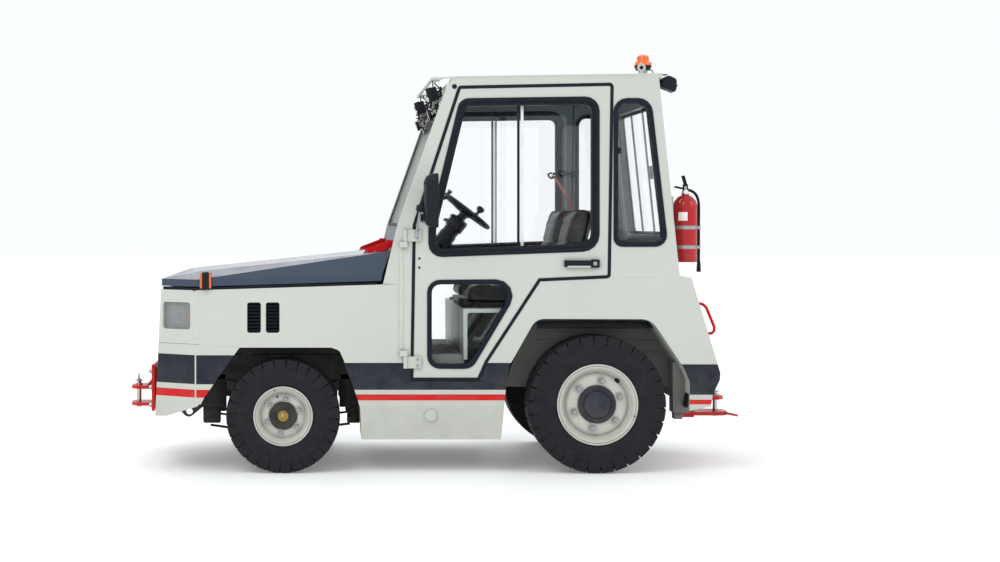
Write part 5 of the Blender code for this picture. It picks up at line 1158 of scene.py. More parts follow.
# %% Mirrors
mirror_glass, mirror_tree, mirror_shader = new_material("silvered_mirror_glass", "D9DEE0", 0.03, 1.0)
mirror_tree.links.new(between(mirror_tree, noise(mirror_tree, 0.05, 4.0), 0.5, 0.8, 0.02, 0.12),
    mirror_shader.inputs["Roughness"])
for word, side in SIDES:
    low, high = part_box(f"door_mirror_{word}")
    outer = max(abs(low.y), abs(high.y))
    inner = outer - 0.17
    middle_y, middle_z = side * (outer + inner) / 2, 1.392
    shell = new_shape()
    outline = rounded_outline([(-0.085, -0.1355, 0.035), (0.085, -0.1355, 0.028), (0.085, 0.1355, 0.034),
        (-0.085, 0.1355, 0.04)], 7)
    levels = ((0.0, 0.0), (0.01, 0.0), (0.04, 0.004), (0.056, 0.014), (0.064, 0.03), (0.0675, 0.055))
    rings = []
    for depth, shrink in levels:
        ring = offset_outline(outline, shrink) if shrink else outline
        rings.append([shell.verts.new((0.0345 + depth, middle_y + side * p.x, middle_z + p.y))
            for p in ring])
    join_rings(shell, rings)
    path = smooth_path([(0.0945, side * (body_half + 0.012), 1.305), (0.094, side * (body_half + 0.034),
        1.325), (0.098, side * (body_half + 0.04), 1.365), (0.104, side * (body_half + 0.05), 1.392),
        (0.096, side * (body_half + 0.075), 1.392)], 7)
    add_tube(shell, path, 0.0065, 12)
    add_turned(shell, (0.1, side * (body_half + 0.052), 1.392), (0, side, 0), [(0, -0.02), (0.007, -0.019),
        (0.0115, -0.01), (0.012, 0.0), (0.0115, 0.01), (0.007, 0.019), (0, 0.02)], 20)
    add_rod(shell, (0.084, side * (body_half + 0.06), 1.392), (0.084, side * (body_half + 0.095), 1.392),
        0.016, 0.02)
    side_block(shell, side, (0.077, 0.0005, 1.2855), (0.112, 0.0095, 1.3245), 0.002)
    fit(f"mirror_shell_{word}", shell, black_abs, f"door_{word}", [f"door_mirror_{word}"],
        angle=45)
    glass = new_shape()
    pane = offset_outline(outline, 0.006)
    add_plate(glass, pane, lambda p, d: Vector((0.0343 - d, middle_y + side * p.x, middle_z + p.y)), 0.0,
        0.0003)
    fit(f"mirror_glass_{word}", glass, mirror_glass, f"door_{word}")
    bolts = new_shape()
    for dz in (-0.012, 0.012):
        add_bolt(bolts, (0.0945, side * (body_half + 0.0096), 1.305 + dz), (0, side, 0), 0.009,
            washer=False)
    fit(f"mirror_foot_bolts_{word}", bolts, zinc_steel, f"door_{word}")
print("door furniture fitted on", [word for word, side in SIDES])

# %% [markdown]
# ## Louvres, marker lamps and headlamps
# Each side panel has two louvre inserts of eight slats.  The marker lamp is a black block with an amber
# lens facing forward and one facing back.  The nose corners hold a lamp pocket each: a round headlamp and
# an indicator on a pale bezel behind a smooth cover, tinted grey as painted shade of the pocket.

# %% Louvres and marker lamps
LOUVRE_LOW, LOUVRE_HIGH, LOUVRE_WIDTH = 0.72, 0.875, 0.07
for word, side in SIDES:
    slats = new_shape()
    for dx in (0.147, 0.052):
        x = front_centre.x + dx
        side_block(slats, side, (x - LOUVRE_WIDTH / 2 + 0.0006, -0.029, LOUVRE_LOW + 0.0006),
            (x + LOUVRE_WIDTH / 2 - 0.0006, -0.0265, LOUVRE_HIGH - 0.0006))
        rim_outline = rounded_box((x - 0.0348, LOUVRE_LOW + 0.0002), (x + 0.0348, LOUVRE_HIGH - 0.0002),
            0.012)
        strip_on_side(slats, rim_outline, 0.0045, side, body_half - 0.0262, body_half - 0.0012, 0.0)
        pitch = (LOUVRE_HIGH - LOUVRE_LOW - 0.014) / 8
        for k in range(8):
            z = LOUVRE_LOW + 0.007 + pitch * (k + 0.5)
            near, far = sided(side, body_half - 0.02, body_half - 0.0015)
            lean = Matrix.Rotation(side * math.radians(-28), 3, "X")
            add_block(slats, (x - 0.03, near, z - 0.0022), (x + 0.03, far, z + 0.0022), 0.001, turn=lean)
    fit(f"louvre_inserts_{word}", slats, black_abs)
    lamp_x, lamp_z = 1.2055, 0.9845
    block = new_shape()
    side_block(block, side, (lamp_x - 0.0165, 0.0006, lamp_z - 0.045), (lamp_x + 0.0165, 0.02,
        lamp_z + 0.045), 0.003)
    for way in (-1, 1):
        x0, x1 = sorted((lamp_x + way * 0.0165, lamp_x + way * 0.0295))
        side_block(block, side, (x0, 0.0006, lamp_z - 0.04), (x1, 0.005, lamp_z + 0.04), 0.001)
    fit(f"marker_lamp_body_{word}", block, black_abs, "bonnet")
    lenses = new_shape()
    for way in (-1, 1):
        x0, x1 = sorted((lamp_x + way * 0.017, lamp_x + way * 0.029))
        side_block(lenses, side, (x0, 0.0052, lamp_z - 0.038), (x1, 0.019, lamp_z + 0.038), 0.004,
            segments=3)
    fit(f"marker_lamp_lenses_{word}", lenses, amber_lens, "bonnet")

# %% Headlamps
CHAMFER_FOOT = Vector((front_centre.x + 0.4365, body_half, 0.804))
CHAMFER_END = Vector((front_centre.x + 0.6387, body_half - 0.15, 0.804))
reflector, reflector_tree, reflector_shader = new_material("vacuum_plated_reflector", "DDE0E3", 0.1, 1.0)
reflector_tree.links.new(between(reflector_tree, noise(reflector_tree, 0.01, 2.0), 0.3, 0.7, 0.06, 0.16),
    reflector_shader.inputs["Roughness"])
bezel_paint = moulded_abs("satin_grey_abs", "B9BEBC", 0.35)
# the cover's grey tint is painted shade: it darkens the lamp pocket as the shade inside it does
cover, cover_tree, cover_shader = new_material("polycarbonate_cover_grey_as_painted_shade", "8D9391", 0.22, IOR=1.58,
    Transmission_Weight=0.35, Coat_Weight=0.5, Alpha=0.55)
bump(cover_tree, cover_shader, noise(cover_tree, 0.03, 2.0), 0.4 * MM, 0.4)
for word, side in SIDES:
    run = (CHAMFER_END - CHAMFER_FOOT).normalized()
    out = Vector((-run.y, run.x, 0))
    centre = CHAMFER_FOOT.lerp(CHAMFER_END, 0.55)

    def corner_place(point, depth):
        spot = centre + run * point[0] + Vector((0, 0, point[1])) + out * depth
        return Vector((spot.x, side * spot.y, spot.z))

    pocket = rounded_box((-0.0915, -0.0675), (0.0915, 0.0675), 0.015)
    bezel = new_shape()
    add_plate(bezel, pocket, corner_place, -0.0485, -0.0445)
    facing = Vector((out.x, side * out.y, 0))
    for along, size in ((0.03, 0.05), (-0.052, 0.03)):
        add_turned(bezel, corner_place((along, 0), -0.045), facing, [(size, 0), (size + 0.006, 0),
            (size + 0.005, 0.01), (size + 0.001, 0.012), (size, 0.01)], 40, closed=True)
    fit(f"headlamp_bezel_{word}", bezel, bezel_paint)
    bowl = new_shape()
    for along, size in ((0.03, 0.049), (-0.052, 0.029)):
        add_turned(bowl, corner_place((along, 0), -0.0445), facing, [(0, 0.001), (0.35 * size, 0.0015),
            (0.7 * size, 0.004), (size, 0.0095), (size, 0.0115), (0.93 * size, 0.0115),
            (0.62 * size, 0.006), (0.33 * size, 0.0035), (0, 0.003)], 40)
    fit(f"headlamp_reflectors_{word}", bowl, reflector)
    bulbs = new_shape()
    add_turned(bulbs, corner_place((0.03, 0), -0.0415), facing, [(0, 0), (0.013, 0), (0.012, 0.01),
        (0.006, 0.016), (0, 0.017)], 24)
    fit(f"headlamp_bulb_{word}", bulbs, clear_lens)
    lamp = new_shape()
    add_turned(lamp, corner_place((-0.052, 0), -0.0405), facing, [(0, 0), (0.024, 0), (0.022, 0.006),
        (0.012, 0.01), (0, 0.011)], 28)
    fit(f"indicator_lens_{word}", lamp, amber_lens)
    # a grey sheet over the pocket, standing in for the shade inside it
    shield = new_shape()
    add_plate(shield, pocket, corner_place, -0.015, -0.012)
    fit(f"headlamp_cover_{word}", shield, cover)
print("lamps fitted to the nose corners")

# %% [markdown]
# ## Nose grille, bonnet seal and bonnet hinges
# The nose is closed but for a grille of folded slats in front of the radiator, over a fine mesh, and a
# blank registration plate.  The bonnet lands on a rubber bulb seal along the tops of the side panels.  Its
# red hinges stand at its rear edge, each a plate bracket with a bolt through it.

# %% Grille and plate
def nose_front_x(z):
    """The nose leans forward a little towards its foot."""
    return front_centre.x + 0.6325 + 0.047 * (0.936 - z)


def nose_place(point, depth):
    return Vector((nose_front_x(point[1]) + depth, point[0], point[1]))


grille = new_shape()
opening = rounded_box((-0.4, 0.69), (0.4, 0.905), 0.02)
add_frame(grille, opening, 0.016, nose_place, 0.0006, 0.008, 0.001)
for k in range(9):
    z = 0.712 + k * 0.0214
    slat = [Vector((-0.388, z - 0.0025)), Vector((0.388, z - 0.0025)), Vector((0.388, z + 0.0065)),
        Vector((-0.388, z + 0.0065))]
    add_plate(grille, slat, nose_place, 0.002, 0.0075)
for y in (-0.2, 0.0, 0.2):
    add_plate(grille, [Vector((y - 0.004, 0.7)), Vector((y + 0.004, 0.7)), Vector((y + 0.004, 0.895)),
        Vector((y - 0.004, 0.895))], nose_place, 0.002, 0.0068)
fit("nose_grille", grille, bonnet_enamel)
mesh_sheet = new_shape()
add_plate(mesh_sheet, offset_outline(opening, 0.012), nose_place, 0.0005, 0.0015)
fit("grille_mesh", mesh_sheet, dark_steel)
plate = new_shape()
blank = rounded_box((-0.17, 0.595), (0.17, 0.65), 0.006, 4)
add_plate(plate, blank, nose_place, 0.0004, 0.0022)
fit("blank_plate_front", plate, bezel_paint)

# %% Bonnet seal and hinges
for word, side in SIDES:
    seal = new_shape()
    path = smooth_path([(0.33, side * (body_half - 0.012), 0.97), (0.8, side * (body_half - 0.012), 0.9595),
        (1.235, side * (body_half - 0.012), 0.942), (1.262, side * (body_half - 0.026), 0.9425),
        (1.43, side * (body_half - 0.152), 0.944)], 8)
    add_tube(seal, path, 0.0085, 12)
    fit(f"bonnet_bulb_seal_{word}", seal, epdm_rubber)
    arm = new_shape()
    hinge_x, hinge_z = 0.268, 1.172
    for y0 in (0.4955, 0.5455):
        near, far = sided(side, y0, y0 + 0.004)
        outline = rounded_outline([(hinge_x - 0.013, hinge_z + 0.009, 0.008),
            (hinge_x - 0.013, hinge_z - 0.012, 0.008), (hinge_x + 0.03, hinge_z - 0.046, 0.004),
            (hinge_x + 0.128, hinge_z - 0.052, 0.003), (hinge_x + 0.12, hinge_z - 0.03, 0.006),
            (hinge_x + 0.02, hinge_z + 0.008, 0.01)], 4)
        add_plate(arm, outline, side_place(0.0), near, far)
    near, far = sided(side, 0.485, 0.56)
    add_block(arm, (hinge_x + 0.05, near, hinge_z - 0.049), (hinge_x + 0.132, far, hinge_z - 0.043), 0.002,
        turn=tipped(5.8))
    fit(f"bonnet_hinge_arm_{word}", arm, hitch_enamel, "bonnet")
    bolts = new_shape()
    for x in (hinge_x + 0.068, hinge_x + 0.112):
        for y in (0.4905, 0.5555):
            add_bolt(bolts, (x, side * y, hinge_z - 0.044 - (x - hinge_x - 0.05) * 0.1), (0.1, 0, 1), 0.011)
    fit(f"bonnet_hinge_bolts_{word}", bolts, zinc_steel, "bonnet")
    cheeks = new_shape()
    for y0 in (0.4775, 0.5645):
        near, far = sided(side, y0, y0 + 0.004)
        outline = rounded_outline([(0.2165, hinge_z - 0.024, 0.003), (hinge_x + 0.008, hinge_z - 0.024,
            0.008), (hinge_x + 0.017, hinge_z, 0.01), (hinge_x + 0.01, hinge_z + 0.019, 0.01),
            (0.2165, hinge_z + 0.015, 0.003)], 4)
        add_plate(cheeks, outline, side_place(0.0), near, far)
    add_bolt(cheeks, (hinge_x, side * 0.5686, hinge_z), (0, side, 0), 0.015)
    add_bolt(cheeks, (hinge_x, side * 0.4774, hinge_z), (0, -side, 0), 0.015, stud=0.004)
    fit(f"bonnet_hinge_cheeks_{word}", cheeks, hitch_enamel)
print("bonnet hinges at", hinge_x, hinge_z)

# %% [markdown]
# ## Wipers and front work lamps
# Two wiper arms are parked across the top of the windscreen, each with a rubber blade on a steel spine.
# The lamps are finned aluminium bodies with a cluster of LED cups, on a white tube across the roof edge.

# %% Wipers
screen_foot, screen_head = leaning_sheet("windscreen", True)[:2]
screen_along = (screen_head - screen_foot).normalized()
screen_out = Vector((screen_along.z, 0, -screen_along.x))


def on_screen(y, down, out):
    """A point `down` metres below the windscreen's top edge."""
    return screen_head - screen_along * down + Vector((0, y, 0)) + screen_out * out


for word, side in SIDES:
    spindle_y = side * 0.43
    arm = new_shape()
    add_turned(arm, on_screen(spindle_y, -0.028, 0.006), screen_out, [(0, 0), (0.017, 0), (0.017, 0.006),
        (0.011, 0.01), (0.011, 0.019), (0.006, 0.023), (0, 0.023)], 24)
    path = smooth_path([on_screen(spindle_y, -0.028, 0.02), on_screen(spindle_y - side * 0.05, -0.008,
        0.026), on_screen(spindle_y - side * 0.15, 0.026, 0.024), on_screen(spindle_y - side * 0.22, 0.04,
        0.02)], 8)
    add_tube(arm, path, 0.0048, 10, flat=0.6)
    blade_low, blade_high = on_screen(spindle_y - side * 0.4, 0.052,
        0.0165), on_screen(spindle_y - side * 0.04, 0.034, 0.0165)
    add_tube(arm, [blade_low, blade_low.lerp(blade_high, 0.5) + screen_out * 0.003, blade_high], 0.0045, 8,
        flat=0.8)
    fit(f"wiper_arm_{word}", arm, dark_steel)
    rubber = new_shape()
    add_tube(rubber, [blade_low - screen_out * 0.0068, blade_high - screen_out * 0.0068], 0.0042, 8)
    fit(f"wiper_rubber_{word}", rubber, epdm_rubber)
print("wipers parked")

# %% Front work lamps
led_chip, led_tree, led_shader = new_material("yellow_led_phosphor", "F3E3A0", 0.35,
    Emission_Color=colour("FFF0C0"), Emission_Strength=0.15)
bump(led_tree, led_shader, noise(led_tree, 2.0 * MM, 1.0), 0.1 * MM, 0.5)
lamp_low, lamp_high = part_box("front_work_lamps")


def add_work_lamp(body, cups, face, centre, facing, size):
    """A finned lamp body round `centre`, looking along `facing`; cups and LED chips go in their own shapes.
    """
    deep, wide, tall = size
    turn = facing.to_track_quat("X", "Z").to_matrix()
    def spot(x, y, z):
        return centre + turn @ Vector((x, y, z))
    def block(shape, low, high, round_by=0.0):
        made = add_block(shape, low, high, round_by)
        set_square(shape, made, Matrix.Translation(centre) @ turn.to_4x4())
    block(body, (-deep * 0.1, -wide / 2, -tall / 2), (deep * 0.42, wide / 2, tall / 2), 0.006)
    for k in range(7):
        y = -wide / 2 + 0.01 + k * (wide - 0.02) / 6
        block(body, (-deep * 0.46, y - 0.0018, -tall / 2 + 0.006), (-deep * 0.1, y + 0.0018,
            tall / 2 - 0.006))
    block(body, (deep * 0.42, -wide / 2 + 0.002, -tall / 2 + 0.002), (deep * 0.46, wide / 2 - 0.002,
        tall / 2 - 0.002), 0.002)
    for row in (-0.25, 0.25):
        for k in range(3):
            y = (k - 1) * wide * 0.29
            place = spot(deep * 0.462, y, row * tall)
            add_turned(cups, place, facing, [(0.004, 0.0), (0.008, 0.0012), (0.0125, 0.0045),
                (0.0137, 0.0045), (0.0137, -0.001), (0.004, -0.001)], 20, closed=True)
            add_turned(face, place, facing, [(0, 0), (0.0045, 0), (0.0045, 0.001), (0, 0.0014)], 14)


bar = new_shape()
bar_x, bar_z = lamp_low.x + 0.0875, lamp_high.z - 0.0098
add_tube(bar, rounded_path([(bar_x - 0.034, -body_half + 0.043, bar_z), (bar_x, -body_half + 0.043, bar_z),
    (bar_x, body_half - 0.043, bar_z), (bar_x - 0.034, body_half - 0.043, bar_z)], 0.02), 0.0092, 16)
for y in (-0.554, 0.0, 0.554):
    add_block(bar, (lamp_low.x + 0.042, y - 0.025, bar_z - 0.003), (bar_x, y + 0.025, bar_z + 0.003), 0.001)
fit("lamp_bar", bar, body_enamel, replaces=["front_work_lamps"])
for word, side in SIDES:
    body_shape, cups, chips = new_shape(), new_shape(), new_shape()
    facing = Vector((math.cos(math.radians(22)), 0, -math.sin(math.radians(22))))
    centre = Vector((bar_x - 0.006, side * 0.554, bar_z - 0.072))
    add_work_lamp(body_shape, cups, chips, centre, facing, (0.062, 0.104, 0.074))
    add_block(body_shape, (bar_x - 0.012, side * 0.554 - 0.014, bar_z - 0.036),
        (bar_x - 0.007, side * 0.554 + 0.014, bar_z + 0.004), 0.001)
    for y in (-0.056, 0.056):
        add_bolt(body_shape, (centre.x, centre.y + y * 0.93, centre.z), (0, math.copysign(1, y), 0), 0.011,
            washer=False)
    fit(f"work_lamp_body_{word}", body_shape, black_abs)
    fit(f"work_lamp_cups_{word}", cups, reflector)
    fit(f"work_lamp_chips_{word}", chips, led_chip)
    cable = new_shape()
    add_tube(cable, smooth_path([centre + Vector((-0.026, 0, 0.012)), centre + Vector((-0.04, 0, 0.03)),
        Vector((bar_x - 0.022, side * 0.53, bar_z - 0.016)),
        Vector((bar_x - 0.026, side * 0.5, bar_z - 0.005))], 6), 0.0032, 8)
    fit(f"work_lamp_lead_{word}", cable, epdm_rubber)
print("lamp bar at", round(bar_x, 3), round(bar_z, 3))

# %% [markdown] ## Lamp brackets and mirror joints Each front lamp hangs from a folded gusset on the cab's
# top corner through finned clamps, with two round lamps below it. Each mirror arm ends in a ball that is
# clamped behind the shell, and the arm's foot is bolted to the hinge plate.

# %% Lamp brackets and mirror balls
cluster = new_shape()
cluster_black = new_shape()
cluster_bright = new_shape()
for word, side in SIDES:
    y = side * 0.56
    near, far = sorted((y - side * 0.006, y - side * 0.01))
    for a, b in (((-0.05, 2.012), (0.036, 1.926)), ((-0.03, 1.985), (-0.014, 1.925)),
            ((0.022, 1.93), (0.036, 1.87)), ((-0.014, 1.935), (0.034, 1.89))):
        run = Vector((b[0] - a[0], 0, b[1] - a[1]))
        add_tube(cluster, [Vector((a[0], y, a[1])), Vector((b[0], y, b[1]))], 0.0165, 10, flat=0.35)
    for x, z in ((0.0, 1.96), (0.05, 1.902)):
        add_block(cluster_black, (x - 0.006, y - 0.02, z - 0.024), (x + 0.004, y + 0.02, z + 0.024), 0.002)
        for k in range(3):
            add_block(cluster_black, (x + 0.004, y - 0.018, z - 0.02 + k * 0.017), (x + 0.017, y + 0.018,
                z - 0.015 + k * 0.017), 0.001)
        add_turned(cluster_bright, (x - 0.001, y, z - 0.05), (0, 0, 1), [(0, 0), (0.01, 0.002),
            (0.015, 0.01), (0.015, 0.018), (0.009, 0.026), (0, 0.027)], 24)
    for x, z, radius in ((0.06, 1.838, 0.028), (0.022, 1.812, 0.028), (0.024, 1.872, 0.024)):
        facing = Vector((math.cos(math.radians(20)), 0, -math.sin(math.radians(20))))
        add_turned(cluster_black, Vector((x, y, z)) - facing * 0.022, facing,
            [(0, 0), (radius * 0.6, 0.002), (radius, 0.014), (radius, 0.026), (radius * 0.9, 0.026),
            (0, 0.02)], 28)
        add_turned(cluster_bright, Vector((x, y, z)) + facing * 0.0035, facing, [(radius * 0.92, 0),
            (radius * 0.55, -0.006), (0, -0.01), (0, 0.001), (radius * 0.5, 0.003), (radius * 0.92, 0.001)],
            28)
    add_tube(cluster_black, smooth_path([(0.0, y, 1.936), (0.024, y, 1.88), (0.06, y, 1.842)], 6), 0.0075,
        10)
    add_tube(cluster_black, smooth_path([(0.044, y, 1.878), (0.034, y, 1.846), (0.022, y, 1.816)], 6),
        0.0075, 10)
    for k in range(4):
        add_rod(cluster_bright, (0.004 + k * 0.014, y - 0.012, 1.88 - k * 0.012), (0.004 + k * 0.014,
            y + 0.022, 1.88 - k * 0.012), 0.0085, sides=14)
fit("lamp_brackets", cluster, body_enamel)
fit("lamp_clamps_and_cases", cluster_black, black_abs)
fit("lamp_lenses_and_nuts", cluster_bright, zinc_steel)
for word, side in SIDES:
    body = f"door_{word}"
    ball = new_shape()
    y = side * 0.8
    add_turned(ball, (0.112, y, 1.352), (0.35, 0, 0.05), [(0, -0.018), (0.013, -0.018), (0.019, -0.01),
        (0.019, 0.016), (0.013, 0.026), (0, 0.026)], 24)
    add_rod(ball, (0.112, y, 1.352), (0.086, y, 1.352), 0.009)
    fit(f"mirror_ball_{word}", ball, black_abs, body)
    stay = new_shape()
    add_tube(stay, smooth_path([(0.133, side * 0.743, 1.235), (0.13, side * 0.752, 1.262),
        (0.122, side * 0.785, 1.32), (0.118, y, 1.345)], 6), 0.0055, 12)
    add_block(stay, (0.122, min(side * 0.7372, side * 0.743), 1.206),
        (0.144, max(side * 0.7372, side * 0.743), 1.246), 0.002)
    fit(f"mirror_stay_{word}", stay, zinc_steel, body)
print("brackets and mirror balls placed")

# %% [markdown]
# ## Seats
# Two low-backed seats stand on a black pan.  Their pads are foam in woven cloth with vinyl bolsters: the
# crown of a pad comes from foam pushing against a cover that its seams hold down.  Cloth simulation gives
# that for nothing, so each pad starts as a slightly small rounded block, is blown up a little, and has its
# sewn channels pressed in afterwards.  One cushion and one back are made, and both seats use them.

# %% Seat cloth and vinyl
def seat_cloth(name="woven_seat_cloth"):
    material, tree, shader = new_material(name, "2B2D31", 0.85, Sheen_Weight=0.35, Sheen_Roughness=0.5)
    thread = 2.4 * MM     # the real thread is 1.2 mm; drawn twice as coarse so that it shows
    place = place_of(tree)
    warp = add_node(tree, "ShaderNodeTexWave", {"Vector": place, "Scale": 1 / (thread * 6.28)},
        bands_direction="Y")
    weft = add_node(tree, "ShaderNodeTexWave", {"Vector": place, "Scale": 1 / (thread * 6.28)},
        bands_direction="X")
    weave = maths(tree, "MAXIMUM", warp.outputs["Fac"], weft.outputs["Fac"])
    tone = blend_over(tree, colour("1E2024"), colour("3A3D42"), weave)
    tree.links.new(drift(tree, tone, colour("26282B"), 0.06), shader.inputs["Base Color"])
    bump(tree, shader, weave, 0.35 * MM, 0.8)
    return material


def seat_vinyl(name="embossed_vinyl"):
    material, tree, shader = new_material(name, "1A1B1E", 0.48)
    grain = add_node(tree, "ShaderNodeTexVoronoi", {"Vector": place_of(tree), "Scale": 1 / (2.5 * MM)})
    tree.links.new(drift(tree, colour("191A1D"), colour("26272B"), 0.05), shader.inputs["Base Color"])
    bump(tree, shader, grain.outputs["Distance"], 0.25 * MM, 0.7)
    return material


woven_cloth = seat_cloth()
black_vinyl = seat_vinyl()
print("seat covers ready")


# %% Padded blocks
def plain_pad(size, round_by):
    """A rounded block, slightly small, with enough faces to bend."""
    block = new_shape()
    half = Vector(size) / 2
    add_block(block, -half, half, round_by, segments=4)
    mesh = bpy.data.meshes.new("pad_form")
    block.to_mesh(mesh)
    block.free()
    form = bpy.data.objects.new("pad_form", mesh)
    scene.collection.objects.link(form)
    fine = form.modifiers.new("even_faces", "REMESH")
    fine.mode = "VOXEL"
    fine.voxel_size = 6.0 * MM
    bpy.context.view_layer.update()
    even = bpy.data.meshes.new_from_object(form.evaluated_get(bpy.context.evaluated_depsgraph_get()))
    form.modifiers.clear()
    form.data = even
    return form


def blow_up(form, cap):
    """Cloth pressure fills the pad while its base stays flat; no point moves more than `cap`."""
    flat = form.vertex_groups.new(name="glued_base")
    lowest = min(v.co.z for v in form.data.vertices)
    flat.add([v.index for v in form.data.vertices if v.co.z < lowest + 0.006], 1.0, "REPLACE")
    cloth = form.modifiers.new("cover", "CLOTH")
    cloth.settings.quality = 5
    cloth.settings.mass = 0.4
    cloth.settings.tension_stiffness = 18
    cloth.settings.compression_stiffness = 18
    cloth.settings.shear_stiffness = 8
    cloth.settings.bending_stiffness = 1.2
    cloth.settings.use_pressure = True
    cloth.settings.uniform_pressure_force = 4.0
    cloth.settings.vertex_group_mass = "glued_base"
    cloth.settings.effector_weights.gravity = 0.0
    before = [v.co.copy() for v in form.data.vertices]
    for step in range(1, 21):
        scene.frame_set(step)
    puffed = bpy.data.meshes.new_from_object(form.evaluated_get(bpy.context.evaluated_depsgraph_get()))
    form.modifiers.clear()
    form.data = puffed
    for vert, start in zip(form.data.vertices, before):
        move = vert.co - start
        if move.length > cap:
            vert.co = start + move.normalized() * cap
    scene.frame_set(1)


def make_pad(name, size, round_by, cap, channels_across, bolster):
    """A finished pad as a mesh: blown up, with channels across it and a seam beside each bolster."""
    form = plain_pad(size, round_by)
    blow_up(form, cap)
    top = max(v.co.z for v in form.data.vertices)
    base = -size[2] / 2
    for vert in form.data.vertices:
        rise = max(0.0, (vert.co.z - base) / (top - base))
        if rise < 0.55:
            continue
        side_share = max(0.0, abs(vert.co.y) - bolster) / max(0.001, size[1] / 2 - bolster)
        vert.co.z += 0.012 * min(1.0, side_share * 1.6) * rise
        seam = math.exp(-((abs(vert.co.y) - bolster) / 0.0065) ** 2)
        channel = 0.0
        if abs(vert.co.y) < bolster:
            for x in channels_across:
                channel = max(channel, math.exp(-((vert.co.x - x) / 0.0065) ** 2))
        vert.co.z -= 0.0085 * max(seam, channel) * rise
    mesh = form.data
    mesh.name = name
    bpy.data.objects.remove(form)
    return mesh


def dress_pad(name, mesh, place, replaces=()):
    piece = bpy.data.objects.new(name, mesh.copy())
    piece.data.transform(place)
    piece.data.materials.append(woven_cloth)
    piece.data.materials.append(black_vinyl)
    unplace = place.inverted()
    for polygon in piece.data.polygons:
        spot = unplace @ polygon.center
        polygon.material_index = 1 if abs(spot.y) > BOLSTER or spot.z < -0.012 else 0
    piece.data.shade_smooth()
    scene.collection.objects.link(piece)
    finer = piece.modifiers.new("finer", "SUBSURF")
    finer.levels = finer.render_levels = 1
    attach(piece, "tractor")
    if replaces:
        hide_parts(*replaces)
    pieces_made.append(piece)
    return piece


BOLSTER = 0.15
seat_low, seat_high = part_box("driver_seat")
seat_y = (seat_low.y + seat_high.y) / 2
cushion = make_pad("cushion_form", (0.4, 0.43, 0.064), 0.022, 0.022, (-0.11, -0.02, 0.07), BOLSTER)
backrest = make_pad("backrest_form", (0.4, 0.43, 0.066), 0.024, 0.022, (-0.11, -0.01, 0.09), BOLSTER)
print("pads:", len(cushion.polygons), "and", len(backrest.polygons), "faces")

# %% Both seats
LEAN = math.radians(75)
BELT_GUIDES = {"left": (-0.87, 1.65, 0.12), "right": (-0.735, 1.565, 1.0)}     # x, z and forward reach
for word, side in SIDES:
    node = "driver_seat" if side > 0 else "passenger_seat"
    y = side * seat_y
    cushion_place = Matrix.Translation((seat_high.x - 0.232, y,
        seat_low.z + 0.06)) @ Matrix.Rotation(math.radians(-2.5), 4, "Y")
    back_place = Matrix.Translation((seat_low.x + 0.066, y, seat_high.z - 0.216)) @ Matrix.Rotation(LEAN, 4,
        "Y")
    dress_pad(f"seat_cushion_{word}", cushion, cushion_place, [node])
    dress_pad(f"seat_back_{word}", backrest, back_place)
    shell = new_shape()
    add_block(shell, (seat_high.x - 0.43, y - 0.215, seat_low.z + 0.001), (seat_high.x - 0.03, y + 0.215,
        seat_low.z + 0.026), 0.006)
    for y_rail in (-0.15, 0.15):
        add_block(shell, (seat_high.x - 0.4, y + y_rail - 0.018, seat_low.z + 0.0005), (seat_high.x - 0.01,
            y + y_rail + 0.018, seat_low.z + 0.0135), 0.002)
    fit(f"seat_pan_{word}", shell, black_abs)
    rear_shell = new_shape()
    add_block(rear_shell, (-0.205, y - 0.214, -0.05), (0.205, y + 0.214, -0.03), 0.01, segments=3)
    add_block(rear_shell, (0.205, y - 0.03, -0.052), (0.238, y + 0.03, -0.04), 0.003)
    shell_place = Matrix.Translation((back_place.translation.x, 0,
        back_place.translation.z)) @ Matrix.Rotation(LEAN, 4, "Y")
    set_square(rear_shell, list(rear_shell.verts), shell_place)
    fit(f"seat_shell_{word}", rear_shell, black_abs)
    guide = new_shape()
    wall_y = side * (body_half - 0.052)
    guide_x, guide_z, reach = BELT_GUIDES[word]
    near, far = sorted((wall_y, wall_y - side * 0.012))
    foot_x = min(guide_x - 0.03, -0.868)
    add_block(guide, (foot_x - 0.017, near, guide_z - 0.016), (foot_x + 0.017, far, guide_z + 0.016), 0.003)
    add_tube(guide, rounded_path([(foot_x, wall_y - side * 0.012, guide_z), (foot_x, wall_y - side * 0.034,
        guide_z), (guide_x, wall_y - side * 0.034, guide_z)], 0.015), 0.0075, 12)
    add_tube(guide, smooth_path([(guide_x + 0.004, wall_y - side * 0.034, guide_z + 0.006),
        (guide_x + 0.026, wall_y - side * 0.034, guide_z - 0.004), (guide_x + 0.01, wall_y - side * 0.034,
        guide_z - 0.026), (guide_x - 0.014, wall_y - side * 0.034, guide_z - 0.016)], 5), 0.0055, 10)
    fit(f"belt_guide_{word}", guide, black_abs)
print("seats dressed")

# %% [markdown]
# ## Seat belts
# The webbing is 46 mm wide red polyester.  A simulation would only blur it, so it is laid as a thin flat
# strip from its guide down to the reel behind the seat.

# %% Belts
def webbing(name="red_polyester_webbing"):
    material, tree, shader = new_material(name, "A3121C", 0.7, Sheen_Weight=0.3)
    twill = add_node(tree, "ShaderNodeTexWave", {"Vector": place_of(tree), "Scale": 1 / (3.0 * MM * 6.28)},
        bands_direction="DIAGONAL")
    tone = blend_over(tree, colour("8E0F18"), colour("B81A25"), twill.outputs["Fac"])
    tree.links.new(tone, shader.inputs["Base Color"])
    bump(tree, shader, twill.outputs["Fac"], 0.3 * MM, 0.7)
    return material


red_webbing = webbing()


